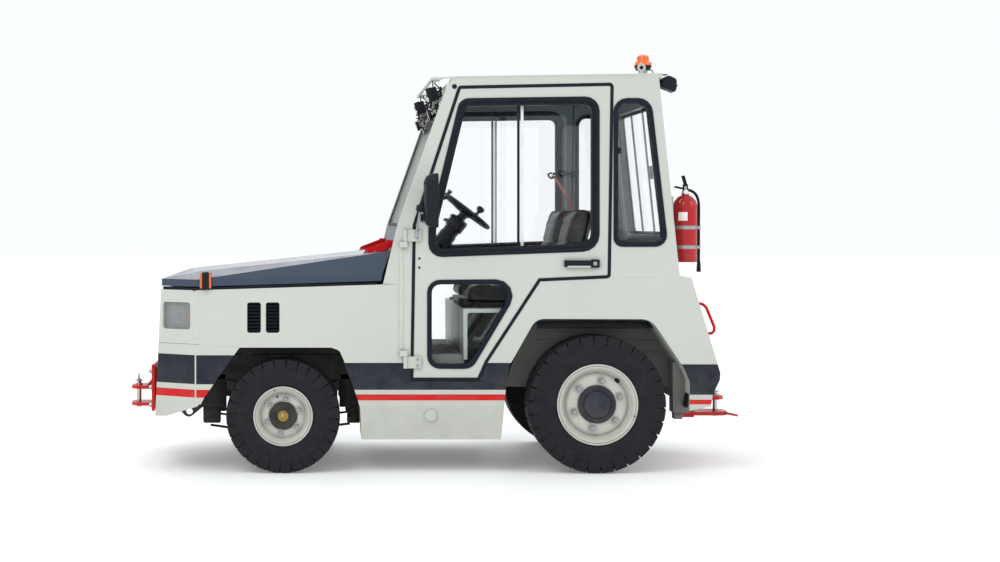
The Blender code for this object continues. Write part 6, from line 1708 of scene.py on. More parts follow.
def add_strap(bm, path, width, thick, across):
    """A flat strap along a path; `across` is the direction of its width."""
    rows = []
    across = Vector(across).normalized()
    for i, point in enumerate(path):
        along = (path[min(i + 1, len(path) - 1)] - path[max(i - 1, 0)]).normalized()
        wide = (across - along * across.dot(along)).normalized()
        normal = along.cross(wide)
        rows.append([bm.verts.new(point + wide * a * width / 2 + normal * b * thick / 2) for a,
            b in ((-1, -1), (1, -1), (1, 1), (-1, 1))])
    join_rings(bm, rows)


for word, side in SIDES:
    belt = new_shape()
    wall_y = side * (body_half - 0.086)
    guide_x, guide_z, reach = BELT_GUIDES[word]
    path = smooth_path([(guide_x + 0.004, wall_y, guide_z - 0.01), (guide_x - 0.035 * reach, wall_y,
        guide_z - 0.055), (guide_x - 0.135 * reach, wall_y - side * 0.004, guide_z - 0.24),
        (guide_x - 0.215 * reach, wall_y - side * 0.01, 1.12), (guide_x - 0.25 * reach,
        wall_y - side * 0.015, 0.93)], 8)
    add_strap(belt, path, 0.046, 0.002, (0.3, 0.95 * side, 0.1))
    fit(f"seat_belt_{word}", belt, red_webbing, angle=60)
    reel = new_shape()
    end = path[-1]
    add_block(reel, (end.x - 0.04, end.y - 0.03, 0.8412), (end.x + 0.04, end.y + 0.03, 0.945), 0.008)
    add_block(reel, (-0.535, side * seat_y + 0.222 * -side - 0.012, 0.905),
        (-0.505, side * seat_y + 0.222 * -side + 0.012, 0.985), 0.004)
    fit(f"belt_reel_{word}", reel, black_abs)
print("belts laid")

# %% [markdown]
# ## Steering wheel, column and dashboard
# The wheel has a foam-moulded rim, three steel spokes and a spinner knob for one-handed turning.  Its
# place and axis come from its joint.  The column has a collar with a gear stalk and a light stalk.  The
# dashboard carries gauges with plain dials and a row of rocker switches; three levers stand on the seat box.

# %% Steering wheel
turn_joint = next(j for j in frame["joints"] if j["name"] == "steering_wheel_turn")
hub, hub_axis = Vector(turn_joint["pos_m"]), Vector(turn_joint["axis"]).normalized()
hub_place = aimed(hub, hub_axis)
RIM = 0.142


def on_wheel(x, y, z):
    return hub_place @ Vector((x, y, z))


wheel_shape = new_shape()
rim_path = []
for k in range(64):
    a = 2 * math.pi * k / 64
    rim_path.append(on_wheel(RIM * math.cos(a), RIM * math.sin(a), 0.0))
add_tube(wheel_shape, rim_path, 0.0115, 14, closed=True)
for k in range(3):
    a = math.radians(90 + 120 * k)
    inner, outer = 0.02, RIM - 0.006
    spoke = [on_wheel(r * math.cos(a), r * math.sin(a), drop) for r, drop in ((inner, -0.02),
        (0.055, -0.018), (0.1, -0.008), (outer, 0.0))]
    add_tube(wheel_shape, smooth_path(spoke, 5), 0.0085, 10, flat=0.45)
add_turned(wheel_shape, on_wheel(0, 0, -0.028), hub_axis, [(0, 0), (0.026, 0), (0.032, 0.006),
    (0.04, 0.016), (0.042, 0.026), (0.036, 0.033), (0.03, 0.035), (0, 0.037)], 36)
fit("steering_wheel_rim", wheel_shape, black_abs, "steering_wheel", ["steering_wheel"], angle=50)
forward = Vector((math.cos(math.radians(38)), 0, math.sin(math.radians(38))))
knob_turn = math.radians(109)
knob_dir = forward * math.cos(knob_turn) + Vector((0, math.sin(knob_turn), 0))
clamp_dir = forward * math.cos(math.radians(18)) + Vector((0, math.sin(math.radians(18)), 0))
knob = new_shape()
add_turned(knob, hub + knob_dir * (RIM - 0.004), hub_axis, [(0, -0.012), (0.014, -0.012), (0.015, 0.01),
    (0.009, 0.014), (0.008, 0.026), (0.014, 0.031), (0.0205, 0.04), (0.0215, 0.048), (0.018, 0.055),
    (0.01, 0.059), (0, 0.06)], 28)
clamp_foot = hub + clamp_dir * RIM
add_rod(knob, clamp_foot - hub_axis * 0.028, clamp_foot + hub_axis * 0.03, 0.0085, sides=16)
add_rod(knob, clamp_foot + hub_axis * 0.018, clamp_foot + hub_axis * 0.032, 0.0125, sides=16)
fit("spinner_knob", knob, black_abs, "steering_wheel")
print("steering wheel on axis", [round(v, 3) for v in hub_axis])

# %% Column, stalks and pedals
stalks = new_shape()
collar = hub - hub_axis * 0.07
add_turned(stalks, collar - hub_axis * 0.05, hub_axis, [(0.0445, 0), (0.05, 0.004), (0.05, 0.06),
    (0.044, 0.068), (0.036, 0.068), (0.036, 0.0)], 30, closed=True)
add_turned(stalks, collar - hub_axis * 0.155, hub_axis, [(0.0425, 0), (0.046, 0.004), (0.046, 0.07),
    (0.0425, 0.074)], 30, closed=True)
for way, lift in ((1, 0.02), (-1, -0.006)):
    foot_point = collar + Vector((0, way * 0.046, 0)) + hub_axis * lift
    tip = foot_point + Vector((0.045, way * 0.085, 0.012))
    add_tube(stalks, smooth_path([foot_point - Vector((0, way * 0.01, 0)), foot_point.lerp(tip,
        0.5) + hub_axis * 0.006, tip], 6), 0.0055, 10)
    add_rod(stalks, tip, tip + (tip - foot_point).normalized() * 0.028, 0.0095, 0.0085)
fit("column_stalks", stalks, black_abs)
pedals = new_shape()
for y, wide in ((0.41, 0.07), (0.3, 0.06), (0.21, 0.052)):
    lean = tipped(38)
    add_block(pedals, (0.06, y - wide / 2, 0.69), (0.068, y + wide / 2, 0.77), 0.002, turn=lean)
    for k in range(4):
        add_block(pedals, (0.0585, y - wide / 2 + 0.004, 0.698 + k * 0.018), (0.061, y + wide / 2 - 0.004,
            0.706 + k * 0.018), 0.0008, turn=lean, about=(0.064, y, 0.73))
    add_tube(pedals, smooth_path([(0.072, y, 0.728), (0.13, y, 0.765), (0.168, y, 0.85)], 6), 0.007, 10)
fit("pedals", pedals, black_abs)

# %% Dashboard
dial_face, dial_tree, dial_shader = new_material("printed_dial_card", "E4E5E0", 0.55)
ticks = add_node(dial_tree, "ShaderNodeTexNoise", {"Vector": place_of(dial_tree), "Scale": 300.0})
bump(dial_tree, dial_shader, ticks.outputs["Fac"], 0.02 * MM, 0.3)
dash_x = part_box("cab_cowl")[0].x
pod = new_shape()
pod_z = 1.085
add_block(pod, (dash_x - 0.016, 0.055, pod_z - 0.055), (dash_x - 0.0004, 0.235, pod_z + 0.055), 0.006)
add_block(pod, (dash_x - 0.014, -0.12, pod_z - 0.035), (dash_x - 0.0004, 0.045, pod_z + 0.04), 0.005)
fit("instrument_panel", pod, black_abs)
dials, rings, needles = new_shape(), new_shape(), new_shape()
for y, z, size in ((0.11, pod_z + 0.004, 0.034), (0.19, pod_z + 0.004, 0.034), (0.0215, pod_z + 0.01,
        0.016), (-0.02, pod_z + 0.01, 0.016)):
    face_x = dash_x - (0.0164 if y > 0.05 else 0.0144)
    add_rod(dials, (face_x, y, z), (face_x - 0.001, y, z), size)
    add_turned(rings, (face_x, y, z), (-1, 0, 0), [(size, 0), (size + 0.004, 0), (size + 0.003, 0.004),
        (size, 0.004)], 32, closed=True)
    add_block(needles, (face_x - 0.0022, y - 0.0009, z), (face_x - 0.0014, y + 0.0009, z + size * 0.78),
        0.0, turn=tipped(35 if size > 0.02 else -40, "X"), about=(face_x, y, z))
    for k in range(9):
        a = math.radians(-120 + 30 * k)
        spot = Vector((face_x - 0.0013, y + math.sin(a) * size * 0.84, z + math.cos(a) * size * 0.84))
        add_block(needles, spot - Vector((0.0003, 0.0007, 0.0022)), spot + Vector((0.0003, 0.0007, 0.0022)),
            0.0, turn=Matrix.Rotation(-a, 3, "X"), about=spot)
fit("gauge_dials", dials, dial_face)
fit("gauge_rings", rings, zinc_steel)
fit("gauge_marks", needles, black_abs)
switches = new_shape()
for k in range(5):
    y = -0.105 + k * 0.028
    add_block(switches, (dash_x - 0.022, y - 0.0095, pod_z - 0.03), (dash_x - 0.013, y + 0.0095,
        pod_z - 0.008), 0.002, turn=tipped(6 if k % 2 else -6))
fit("rocker_switches", switches, grey_abs)
levers = new_shape()
for x, y, tall, lean in ((-0.145, 0.075, 0.15, 10), (-0.145, -0.005, 0.115, 4), (-0.16, 0.04, 0.09, -6)):
    foot_point = Vector((x, y, 0.8412))
    tip = foot_point + Vector((tall * math.sin(math.radians(lean)), 0, tall))
    add_turned(levers, foot_point, (0, 0, 1), [(0, 0), (0.03, 0), (0.026, 0.008), (0.014, 0.02),
        (0.009, 0.034), (0, 0.034)], 24)
    add_tube(levers, [foot_point + Vector((0, 0, 0.02)), tip], 0.006, 12)
    add_turned(levers, tip, tip - foot_point, [(0, -0.006), (0.01, -0.004), (0.0165, 0.01), (0.017, 0.022),
        (0.011, 0.034), (0, 0.037)], 24)
fit("levers", levers, black_abs)
console = new_shape()
add_block(console, (-0.225, -0.05, 0.8405), (-0.113, 0.09, 0.858), 0.004)
add_block(console, (-0.15, 0.1, 0.8405), (-0.1125, 0.56, 0.89), 0.005)
add_rod(console, (-0.113, 0.48, 0.866), (-0.1005, 0.48, 0.866), 0.011)
fit("seat_box_console", console, black_abs)

# %% Floor mat and visors
def chequer_rubber(name="studded_floor_rubber"):
    """Rubber matting with raised lozenges at 18 mm."""
    material, tree, shader = new_material(name, "33363A", 0.7)
    turned_place = add_node(tree, "ShaderNodeMapping", {"Vector": place_of(tree),
        "Rotation": (0, 0, math.radians(45))})
    checks = add_node(tree, "ShaderNodeTexChecker", {"Vector": turned_place.outputs["Vector"],
        "Scale": 1 / (18 * MM)})
    tone = blend_over(tree, colour("2A2D30"), colour("4A4E52"), checks.outputs["Fac"])
    tree.links.new(dust(tree, tone, "7B7468", 0.5, 1.6), shader.inputs["Base Color"])
    bump(tree, shader, checks.outputs["Fac"], 1.2 * MM, 0.8)
    return material


floor_rubber = chequer_rubber()
mat = new_shape()
add_block(mat, (-0.106, -0.556, 0.6003), (0.238, 0.556, 0.6063), 0.002)
for row in range(8):
    for column in range(26):
        x = -0.092 + row * 0.04 + (0.02 if column % 2 else 0)
        y = -0.535 + column * 0.0428
        add_block(mat, (x - 0.011, y - 0.0035, 0.6063), (x + 0.011, y + 0.0035, 0.6078), 0.0,
            turn=tipped(45 if (row + column) % 2 else -45, "Z"))
fit("floor_mat", mat, floor_rubber)
visor = new_shape()
for y in (-0.33, 0.33):
    add_block(visor, (-0.115, y - 0.2, 1.842), (0.03, y + 0.2, 1.856), 0.006, turn=tipped(14),
        about=(-0.09, y, 1.86))
    for dy in (-0.16, 0.16):
        add_rod(visor, (-0.1, y + dy, 1.856), (-0.11, y + dy, 1.93), 0.004)
fit("sun_visors", visor, grey_abs)
print("cab fitted out")

# %% [markdown]
# ## Fire extinguisher
# A powder extinguisher hangs on the rear wall in two bright bands.  Its cylinder is a spun steel shell in
# gloss red with a domed top, and its valve is brass with a black squeeze grip, a gauge and a short hose
# that is clipped along the cylinder.  The hose is held all the way, so it isn't a free cord.

# %% Extinguisher
low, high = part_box("fire_extinguisher")
ext_y = (low.y + high.y) / 2
ext_radius = (high.y - low.y) / 2 - 0.0006
hose_x = low.x + 0.012
ext_x = hose_x + 0.007 + ext_radius + 0.0006
ext_z = low.z + 0.052


def on_bottle(x, y, z):
    """A place measured from the middle of the cylinder's base."""
    return Vector((ext_x + x, ext_y + y, ext_z + z))


gloss_red, gloss_tree, gloss_shader = new_material("gloss_red_powder_coat", "A80812", 0.25, Coat_Weight=0.3,
    Coat_Roughness=0.05, Specular_IOR_Level=0.3)
# painted shade: the cylinder's corners are darkened where they see little open air
gloss_tree.links.new(corner_shade_and_dust(gloss_tree, drift(gloss_tree, colour("AC0712"), colour("8C0A14"), 0.15)),
    gloss_shader.inputs["Base Color"])
bump(gloss_tree, gloss_shader, noise(gloss_tree, 2.5 * MM, 2.0), 0.05 * MM, 0.5)
cylinder = new_shape()
add_turned(cylinder, on_bottle(0, 0, 0), (0, 0, 1), [(0, 0.004), (ext_radius - 0.012, 0.004),
    (ext_radius - 0.01, 0.0), (ext_radius - 0.004, 0.0), (ext_radius, 0.006), (ext_radius, 0.285),
    (ext_radius - 0.002, 0.3), (ext_radius - 0.009, 0.318), (ext_radius - 0.022, 0.333), (0.028, 0.343),
    (0.02, 0.346), (0.019, 0.354), (0, 0.354)], 48)
fit("extinguisher_cylinder", cylinder, gloss_red, replaces=["fire_extinguisher"])
bands = new_shape()
for z in (0.0685, 0.1695):
    add_turned(bands, (ext_x, ext_y, ext_z + z), (0, 0, 1), [(ext_radius + 0.0002, 0), (ext_radius + 0.0016,
        0), (ext_radius + 0.0016, 0.018), (ext_radius + 0.0002, 0.018)], 48, closed=True)
    add_block(bands, (ext_x - ext_radius - 0.012, ext_y + 0.02, ext_z + z + 0.001),
        (ext_x - ext_radius + 0.016, ext_y + 0.034, ext_z + z + 0.017), 0.003)
add_turned(bands, on_bottle(0, 0, 0.352), (0, 0, 1), [(0, 0), (0.016, 0), (0.016, 0.016), (0.013, 0.018),
    (0.013, 0.04), (0, 0.041)], 24)
fit("extinguisher_bands", bands, zinc_steel)
grip = new_shape()
for rise, lean, long, thick in ((0.372, 12, 0.062, 0.01), (0.362, 74, 0.086, 0.017)):
    add_block(grip, (ext_x - 0.004, ext_y - 0.01, ext_z + rise), (ext_x - 0.004 + long, ext_y + 0.01,
        ext_z + rise + thick), 0.004, turn=tipped(-lean), about=(ext_x - 0.004, ext_y, ext_z + rise))
add_block(grip, on_bottle(-0.014, -0.011, 0.368), on_bottle(0.012, 0.011, 0.402), 0.003)
hose = smooth_path([on_bottle(-0.01, 0, 0.372), on_bottle(-0.034, 0, 0.367), on_bottle(-0.058, 0, 0.345),
    (hose_x, ext_y, ext_z + 0.3), (hose_x, ext_y, ext_z + 0.2), (hose_x, ext_y, ext_z + 0.08),
    (hose_x, ext_y, ext_z + 0.004)], 7)
add_tube(grip, hose, 0.0072, 14)
add_turned(grip, (hose_x, ext_y, ext_z - 0.051), (0, 0, 1), [(0, 0), (0.0115, 0), (0.0105, 0.03),
    (0.0085, 0.05), (0.0085, 0.058), (0, 0.058)], 20)
fit("extinguisher_grip_and_hose", grip, epdm_rubber)
gauge = new_shape()
add_turned(gauge, on_bottle(0, 0.0165, 0.362), (0, 1, 0), [(0, 0), (0.012, 0), (0.013, 0.004),
    (0.012, 0.008), (0, 0.008)], 24)
add_turned(gauge, on_bottle(0.024, 0.046, 0.312), (0.3, 0.85, 0.4), [(0, 0), (0.013, 0), (0.013, 0.0016),
    (0, 0.0016)], 24)
fit("extinguisher_gauge", gauge, dial_face)
label = new_shape()
rows = []
for k in range(9):
    a = math.radians(46 + 5.5 * k)
    spoke = Vector((math.cos(a), math.sin(a), 0)) * (ext_radius + 0.0004)
    rows.append([label.verts.new(Vector((ext_x, ext_y, ext_z + z)) + spoke) for z in (0.214, 0.258)])
for a, b in zip(rows, rows[1:]):
    label.faces.new((a[0], b[0], b[1], a[1]))
fit("extinguisher_blank_label", label, dial_face)
print("extinguisher", round(2 * ext_radius, 3), "m across, hose",
    round(sum((a - b).length for a, b in zip(hose, hose[1:])), 3), "m")

# %% [markdown]
# ## Beacon, lifting eye and rear lamp
# The beacon is an amber dome with moulded ribs on a skirted black base, bolted to a white pad beside a
# lifting eye.  Its short lead dives into the roof, as its gland does.

# %% Beacon
low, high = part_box("beacon")
beacon_x, beacon_y = (low.x + high.x) / 2, (low.y + high.y) / 2
beacon_z = low.z


def on_beacon(x, y, z):
    return Vector((beacon_x + x, beacon_y + y, beacon_z + z))


dome = new_shape()
add_turned(dome, on_beacon(0, 0, 0), (0, 0, 1), [(0, 0.117), (0.019, 0.1165), (0.0265, 0.112),
    (0.0285, 0.104), (0.029, 0.082), (0.043, 0.079), (0.046, 0.074), (0.0465, 0.063), (0.043, 0.0605),
    (0, 0.0605)], 48)
for x, y in around(20, 0.0292):
    add_rod(dome, (beacon_x + x, beacon_y + y, beacon_z + 0.083), (beacon_x + x, beacon_y + y,
        beacon_z + 0.107), 0.0016, sides=8)
fit("beacon_dome", dome, amber_lens, replaces=["beacon"])
base = new_shape()
add_turned(base, on_beacon(0, 0, 0), (0, 0, 1), [(0.0425, 0.06), (0.045, 0.0585), (0.044, 0.05),
    (0.0385, 0.046), (0.038, 0.036), (0.0, 0.036)], 40)
fit("beacon_base", base, black_abs)
mount = new_shape()
add_turned(mount, on_beacon(0, 0, 0), (0, 0, 1), [(0, 0.036), (0.024, 0.036), (0.024, 0.01), (0.028, 0.006),
    (0.045, 0.005), (0.045, 0.0005), (0, 0.0005)], 36)
add_turned(mount, on_beacon(0.018, 0.06, 0.045), (0, 1, 0), [(0.011, -0.005), (0.021, -0.005), (0.023, 0.0),
    (0.021, 0.005), (0.011, 0.005), (0.009, 0.0)], 32, closed=True)
add_rod(mount, on_beacon(0.018, 0.06, -0.0005), on_beacon(0.018, 0.06, 0.026), 0.009)
fit("beacon_mount_and_lifting_eye", mount, body_enamel)
lead = new_shape()
add_tube(lead, smooth_path([on_beacon(-0.036, 0, 0.043), on_beacon(-0.05, 0, 0.032), on_beacon(-0.058, 0,
    0.012), on_beacon(-0.06, 0, -0.004)], 6), 0.0026, 8)
add_rod(lead, on_beacon(-0.06, 0, -0.004), on_beacon(-0.06, 0, 0.006), 0.0065)
fit("beacon_lead", lead, epdm_rubber)

# %% Rear work lamp
low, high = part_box("rear_work_lamp")
lamp = new_shape()
lamp_y = (low.y + high.y) / 2
lamp_x = low.x + 0.052
lamp_z = low.z + 0.052
tilt = tipped(-17)
about = (lamp_x, lamp_y, lamp_z)
outline = rounded_outline([(-0.048, -0.02, 0.006), (-0.044, -0.038, 0.006), (0.036, -0.03, 0.01),
    (0.04, 0.008, 0.016), (0.012, 0.036, 0.022), (-0.036, 0.03, 0.022)], 5)
rings_at = ((-0.052, 0.006), (-0.046, 0.0), (0.046, 0.0), (0.052, 0.006))
rings = []
for y, shrink in rings_at:
    ring = offset_outline(outline, shrink) if shrink else outline
    rings.append([lamp.verts.new(Vector(about) + tilt @ Vector((p.x, y, p.y))) for p in ring])
join_rings(lamp, rings)
add_block(lamp, (lamp_x, lamp_y - 0.018, high.z - 0.012), (high.x - 0.02, lamp_y + 0.018, high.z - 0.007),
    0.001)
add_block(lamp, (high.x - 0.024, lamp_y - 0.018, low.z + 0.01), (high.x - 0.019, lamp_y + 0.018,
    high.z - 0.007), 0.001)
fit("rear_work_lamp_body", lamp, black_abs, replaces=["rear_work_lamp"])
glass = new_shape()
add_block(glass, (lamp_x - 0.05, lamp_y - 0.044, lamp_z - 0.03), (lamp_x - 0.0465, lamp_y + 0.044,
    lamp_z + 0.006), 0.001, turn=tilt, about=about)
fit("rear_work_lamp_glass", glass, clear_lens)
print("roof fittings done")

# %% [markdown]
# ## Tail lamps, hatch and tail fittings
# The tail carries a round stop lamp, an indicator and a reversing lamp in a black bezel on each side, two
# reflectors, a blank plate and a folded hatch on two hinges with a quarter-turn lock.

# %% Tail lamps and hatch
TAIL_TOP = Vector((rear_centre.x - 0.4715, 0, 1.002))
TAIL_FOOT = Vector((rear_centre.x - 0.622, 0, 0.516))
tail_along = (TAIL_TOP - TAIL_FOOT).normalized()
tail_out = Vector((-tail_along.z, 0, tail_along.x))


def on_tail(point, depth):
    """(y, distance up the sloping tail from its knee) and a depth outwards."""
    return TAIL_FOOT + tail_along * point[1] + Vector((0, point[0], 0)) + tail_out * depth


for word, side in SIDES:
    bezel = new_shape()
    centre_y = side * 0.44
    outline = rounded_box((centre_y - 0.052, 0.05), (centre_y + 0.052, 0.365), 0.018)
    add_plate(bezel, outline, on_tail, 0.0006, 0.012)
    fit(f"tail_lamp_bezel_{word}", bezel, black_abs, bevel=0.002)
    for name, up, material in (("stop", 0.31, red_lens), ("indicator", 0.208, amber_lens),
            ("reversing", 0.106, clear_lens)):
        shape = new_shape()
        add_turned(shape, on_tail((centre_y, up), 0.0122), tail_out, [(0, 0), (0.042, 0), (0.042, 0.006),
            (0.038, 0.013), (0.024, 0.018), (0, 0.02)], 36)
        fit(f"{name}_lamp_{word}", shape, material)
    marker = new_shape()
    add_plate(marker, rounded_box((side * 0.6 - 0.028, 0.03), (side * 0.6 + 0.028, 0.1), 0.004, 3), on_tail,
        0.0006, 0.007)
    fit(f"tail_reflector_{word}", marker, red_lens)
hatch = new_shape()
outline = rounded_box((-0.3, 0.06), (0.3, 0.41), 0.02)
add_plate(hatch, outline, on_tail, 0.0008, 0.004)
add_frame(hatch, offset_outline(outline, 0.02), 0.006, on_tail, 0.004, 0.0055)
for y in (-0.2, 0.2):
    add_rod(hatch, on_tail((y - 0.03, 0.418), 0.006), on_tail((y + 0.03, 0.418), 0.006), 0.006)
fit("tail_hatch", hatch, body_enamel)
lock = new_shape()
add_turned(lock, on_tail((0, 0.095), 0.0042), tail_out, [(0, 0), (0.016, 0), (0.015, 0.004), (0.006, 0.005),
    (0.006, 0.012), (0, 0.012)], 24)
fit("tail_hatch_lock", lock, zinc_steel)
plate = new_shape()
add_plate(plate, rounded_box((-0.13, 0.17), (0.13, 0.29), 0.006, 4), on_tail, 0.0058, 0.0078)
fit("blank_plate_rear", plate, bezel_paint)
print("tail fitted, slope", round(math.degrees(math.atan2(tail_along.x, tail_along.z)), 1), "degrees")

# %% [markdown]
# ## Hitches, roof edge and the running gear
# Both hitches are bolted on with high-tensile bolts and have a drop pin held by a spring clip on a chain.
# The roof sheet ends in a rain gutter.  Underneath are U-bolts on the springs, brake hoses, an exhaust and
# a tank cover, which show from low down and from the sides.

# %% Hitch bolts, springs and clips
hitch_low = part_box("front_hitch")[0]
pin_low, pin_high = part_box("front_hitch_pin")
bolts = new_shape()
plate_x = hitch_low.x + 0.0676
for y in (-0.112, 0.112):
    for z in (0.292, 0.388, 0.478):
        add_bolt(bolts, (plate_x, y, z), (1, 0, 0), 0.022)
fit("front_hitch_bolts", bolts, zinc_steel)
rear_hitch_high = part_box("rear_hitch")[1]
rear_pin_low, rear_pin_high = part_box("rear_hitch_pin")
clips = new_shape()
for box_low, box_high in ((pin_low, pin_high), (rear_pin_low, rear_pin_high)):
    x, y = (box_low.x + box_high.x) / 2, (box_low.y + box_high.y) / 2
    top = box_high.z
    add_turned(clips, (x, y, top - 0.01), (0, 0, 1), [(0.014, 0), (0.024, 0.001), (0.024, 0.005),
        (0.014, 0.006)], 28, closed=True)
    loop = smooth_path([(x - 0.002, y + 0.006, top - 0.004), (x + 0.004, y + 0.012, top + 0.012),
        (x + 0.001, y + 0.004, top + 0.026), (x - 0.002, y - 0.006, top + 0.024), (x - 0.003, y - 0.012,
        top + 0.01), (x - 0.001, y - 0.006, top - 0.004)], 6)
    add_tube(clips, loop, 0.0024, 8)
fit("hitch_pin_clips", clips, zinc_steel)
chain = new_shape()
start = Vector(((pin_low.x + pin_high.x) / 2, 0.012, pin_high.z - 0.004))
end = Vector((plate_x + 0.004, 0.07, 0.425))
links = 15
for k in range(links):
    t = k / (links - 1)
    spot = start.lerp(end, t) - Vector((0, 0, 0.055 * math.sin(math.pi * t))) + Vector((0.018
        * math.sin(math.pi * t), 0.02 * math.sin(math.pi * t), 0.012))
    along = (end - start).normalized() + Vector((0, 0, -0.055 * math.pi * math.cos(math.pi * t) / 0.12))
    add_turned(chain, spot, aimed((0, 0, 0), along).to_3x3() @ Vector((1, 0, 0) if k % 2 else (0, 1, 0)),
        [(0.0032, -0.001), (0.0052, -0.001), (0.0052, 0.001), (0.0032, 0.001)], 12, closed=True)
fit("hitch_pin_chain", chain, zinc_steel)
rear_bolts = new_shape()
for y in (-0.085, 0.085):
    for z in (0.352, 0.388):
        add_bolt(rear_bolts, (rear_hitch_high.x - 0.083, y, z), (-1, 0, 0), 0.018)
fit("rear_hitch_bolts", rear_bolts, zinc_steel)

# %% Gutter, plugs and roof beads
roof_low, roof_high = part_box("cab_roof")
gutter = new_shape()
for word, side in SIDES:
    y = side * (body_half - 0.0012)
    path = smooth_path([(roof_low.x + 0.004, y, roof_high.z - 0.006), (-0.5, y, roof_high.z - 0.0145),
        (-0.03, y, roof_high.z - 0.0225), (0.004, y, roof_high.z - 0.034)], 6)
    add_tube(gutter, path, 0.0046, 10)
path = [(roof_low.x + 0.002, -body_half + 0.003, roof_high.z - 0.0055), (roof_low.x + 0.002,
    body_half - 0.003, roof_high.z - 0.0055)]
add_tube(gutter, path, 0.0044, 10)
fit("roof_gutter", gutter, body_enamel)
beads = new_shape()
for y in (-0.45, -0.15, 0.15, 0.4):
    span_end = -0.98 if y == 0.4 else -1.02     # the outer bead stops short of the beacon
    add_tube(beads, [(-0.1, y, roof_high.z - 0.0155), (span_end, y, roof_high.z - 0.0035)], 0.006, 10,
        flat=0.5)
fit("roof_beads", beads, body_enamel)
plugs = new_shape()
for word, side in SIDES:
    add_turned(plugs, (-0.0605, side * (body_half + 0.0002), 1.9735), (0, side, 0), [(0, 0), (0.0125, 0),
        (0.0115, 0.003), (0.006, 0.0042), (0, 0.0042)], 28)
fit("roof_plugs", plugs, epdm_rubber)
posts = new_shape()
for word, side in SIDES:
    side_block(posts, side, (0.1995, 0.0003, 0.64), (0.219, 0.0035, 1.17), 0.001)
    for z in (0.7, 0.9, 1.1):
        add_turned(posts, (0.2093, side * (body_half + 0.0034), z), (0, side, 0), [(0, 0), (0.0045, 0),
            (0.003, 0.002), (0, 0.0024)], 16)
fit("door_post_strip", posts, body_enamel)

# %% Step teeth and splash flaps
step = new_shape()
for word, side in SIDES:
    side_block(step, side, (-0.165, -0.158, 0.4706), (0.155, -0.004, 0.4722))
    for k in range(16):
        x = -0.15 + k * 0.0195
        for y in (0.02, 0.06, 0.1, 0.138):
            add_turned(step, (x, side * (body_half - y), 0.4722), (0, 0, 1), [(0.0035, 0), (0.0065, 0),
                (0.005, 0.0045), (0.0035, 0.0045)], 10, closed=True)
fit("step_grip_plates", step, dark_steel)
flaps = new_shape()
for word, side in SIDES:
    near, far = sided(side, 0.47, 0.7)
    lean = tipped(-10)
    add_block(flaps, (rear_centre.x - 0.475, near, 0.335), (rear_centre.x - 0.47, far, 0.52), 0.001,
        turn=lean)
fit("rear_splash_flaps", flaps, epdm_rubber)

# %% Springs, brake lines, exhaust and tank cover
gear = new_shape()
for word, side in SIDES:
    for dx in (-0.05, 0.05):
        x = front_centre.x + dx
        path = rounded_path([(x, side * 0.38, 0.25), (x, side * 0.38, 0.395), (x, side * 0.315, 0.395),
            (x, side * 0.315, 0.25)], 0.012)
        add_tube(gear, path, 0.0065, 10)
fit("spring_u_bolts", gear, dark_steel)
lines = new_shape()
for side in (1, -1):
    add_tube(lines, smooth_path([(rear_centre.x + 0.02, side * 0.36, 0.42), (rear_centre.x + 0.1,
        side * 0.33, 0.5), (-0.45, side * 0.325, 0.56), (0.2, side * 0.322, 0.56)], 8), 0.0045, 8)
fit("brake_lines", lines, dark_steel)
rusty, rust_tree, rust_shader = new_material("heat_stained_steel", "6B5A4C", 0.6, 0.7)
rust_tone = drift(rust_tree, colour("6B5A4C"), colour("3F332B"), 0.06)
rust_tree.links.new(blend_over(rust_tree, rust_tone, colour("7A4A2C"),
    between(rust_tree, noise(rust_tree, 0.02, 6.0), 0.5, 0.7, 0.0, 0.6)), rust_shader.inputs["Base Color"])
bump(rust_tree, rust_shader, noise(rust_tree, 3.0 * MM, 4.0), 0.3 * MM, 0.8)
exhaust = new_shape()
add_tube(exhaust, rounded_path([(0.45, -0.2, 0.48), (0.3, -0.2, 0.4), (-0.2, -0.2, 0.385),
    (-0.42, -0.2, 0.385)], 0.06), 0.022, 16)
add_turned(exhaust, (0.16, -0.2, 0.385), (-1, 0, 0), [(0.02, 0), (0.06, 0.012), (0.064, 0.03),
    (0.064, 0.27), (0.06, 0.288), (0.02, 0.3), (0, 0.3), (0, 0)], 32)
fit("exhaust_and_silencer", exhaust, rusty)
filler = new_shape()
add_turned(filler, (0.06, body_half - 0.002, 0.3), (0, 1, -0.05), [(0, 0), (0.03, 0), (0.029, 0.0015),
    (0, 0.002)], 32)
fit("tank_inspection_cover", filler, body_enamel)
print("running gear dressed")

# %% [markdown]
# ## Hangers and corners behind the wheels
# Between the wheels and the frame rails a low view shows the spring hangers with one long leaf, the
# frame's rear corners and a bar under each rear arch.  They are plain plates with their bolts, and they
# stand far enough inboard for the tyres at full lock.

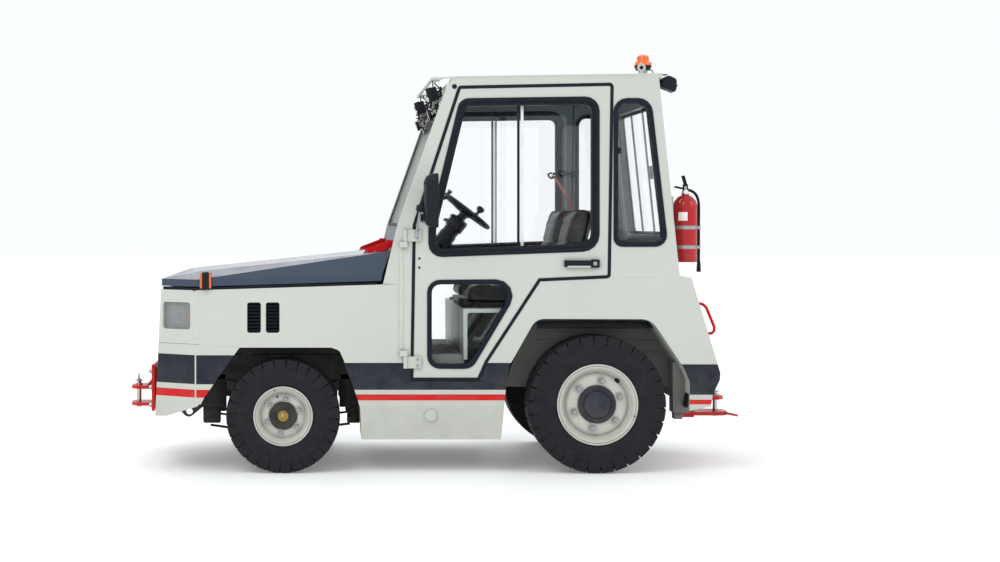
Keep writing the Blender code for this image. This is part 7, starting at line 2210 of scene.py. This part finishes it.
# %% Spring hangers and arch bars
for word, side in SIDES:
    hangers = new_shape()
    near, far = sorted((side * 0.29, side * 0.31))
    for x0, x1, foot_x0, foot_x1 in ((1.12, 1.27, 1.15, 1.245), (0.4, 0.52, 0.41, 0.48)):
        add_block(hangers, (x0, near, 0.3), (x1, far, 0.48), 0.006)
        add_block(hangers, (foot_x0, near, 0.215), (foot_x1, far, 0.31), 0.01)
        pin_x = (foot_x0 + x1) / 2
        add_rod(hangers, (pin_x, near - 0.008, 0.235), (pin_x, far + 0.008, 0.235), 0.016)
    add_tube(hangers, smooth_path([(1.205, side * 0.3, 0.205), (0.99, side * 0.3, 0.178),
        (0.78, side * 0.3, 0.178), (0.465, side * 0.3, 0.212)], 8), 0.011, 12, flat=0.6)
    fit(f"front_spring_hangers_{word}", hangers, black_hub_enamel)
    corner = new_shape()
    near, far = sorted((side * 0.5, side * 0.6))
    add_block(corner, (-1.285, near, 0.3), (-1.195, far, 0.56), 0.004)
    add_block(corner, (-1.25, near + 0.02, 0.265), (-1.205, far - 0.02, 0.305), 0.004)
    for z in (0.36, 0.5):
        add_bolt(corner, (-1.24, side * 0.6, z), (0, side, 0), 0.009)
    fit(f"rear_frame_corner_{word}", corner, box_grey)
    bar = new_shape()
    add_block(bar, (-1.095, min(side * 0.56, side * 0.6), 0.735), (-0.5, max(side * 0.56, side * 0.6),
        0.77), 0.004)
    for x in (-1.02, -0.95, -0.6):
        add_bolt(bar, (x, side * 0.6, 0.752), (0, side, 0), 0.007)
    fit(f"arch_bar_{word}", bar, black_hub_enamel)
print("spring hangers and arch bars placed")

# %% [markdown]
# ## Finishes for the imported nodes
# Most of the mechanical model's own pieces are already the right shape, such as panels, axles and frame.
# They keep their mesh and only get a finish.  A table from node to finish is enough.

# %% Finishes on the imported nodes
def both(*names):
    return [f"{name}_{word}" for name in names for word, side in SIDES]


NODE_FINISHES = {cab_enamel: both("cab_side", "door") + ["cab_roof", "cab_rear_panel"],
    body_enamel: both("side_panel") + ["nose_panel"], bonnet_enamel: ["bonnet"],
    bumper_enamel: ["front_bumper"], sill_enamel: both("skirt"),
    tail_enamel: both("rear_fender") + ["tail_panel"], hitch_enamel: both("grab_handle") + ["front_hitch",
    "rear_hitch", "fire_extinguisher"], wheel_enamel: both("front_rim", "rear_rim"),
    frame_paint: both("steering_knuckle") + ["chassis_frame", "front_axle", "rear_axle", "tie_rod"],
    cab_lining: ["cab_cowl"], inside_enamel: ["cab_floor"], front_tyre_rubber: both("front_tyre"),
    rear_tyre_rubber: both("rear_tyre"), black_abs: both("door_mirror") + ["steering_wheel",
    "steering_column", "front_work_lamps", "rear_work_lamp"], window_glass: both("quarter_window",
    "door_window", "door_lower_window") + ["windscreen", "rear_window"], bright_steel: ["front_hitch_pin",
    "rear_hitch_pin"], amber_lens: ["beacon"], black_vinyl: ["driver_seat", "passenger_seat"],
    engine_iron: ["engine_block"],}
for material, names in NODE_FINISHES.items():
    for name in names:
        slots = frame["nodes"][name].material_slots
        for slot in slots:
            slot.link = "OBJECT"
            slot.material = material
print(sum(len(names) for names in NODE_FINISHES.values()), "nodes finished")

# %% [markdown]
# ## Floor and size
# The floor is a wide pale sheet under the tyres and is staging, not part of the tug.  It lies just under the
# box that the imported model filled, and the last cell counts the pieces added and their faces.

# %% Floor
floor_material, floor_tree, floor_shader = new_material("pale_studio_floor", "F2F3F3", 0.6)
floor_tone = drift(floor_tree, colour("F4F5F5"), colour("EFF0F0"), 1.5)
floor_tree.links.new(floor_tone, floor_shader.inputs["Base Color"])
floor_shader.inputs["Emission Color"].default_value = colour("FFFFFF")
floor_shader.inputs["Emission Strength"].default_value = 0.13
floor_shape = new_shape()
FLOOR_REACH = 60.0
bmesh.ops.create_grid(floor_shape, x_segments=2, y_segments=2, size=FLOOR_REACH)
floor_mesh = bpy.data.meshes.new("studio_floor")
floor_shape.to_mesh(floor_mesh)
floor_shape.free()
floor = bpy.data.objects.new("studio_floor", floor_mesh)
floor.location = (0, 0, packed_box[0][2] - 0.0005)
floor.data.materials.append(floor_material)
scene.collection.objects.link(floor)

# %% Hand over
faces = sum(len(piece.data.polygons) for piece in pieces_made)
print(len(pieces_made), "pieces with", faces, "faces were added to the packed nodes")
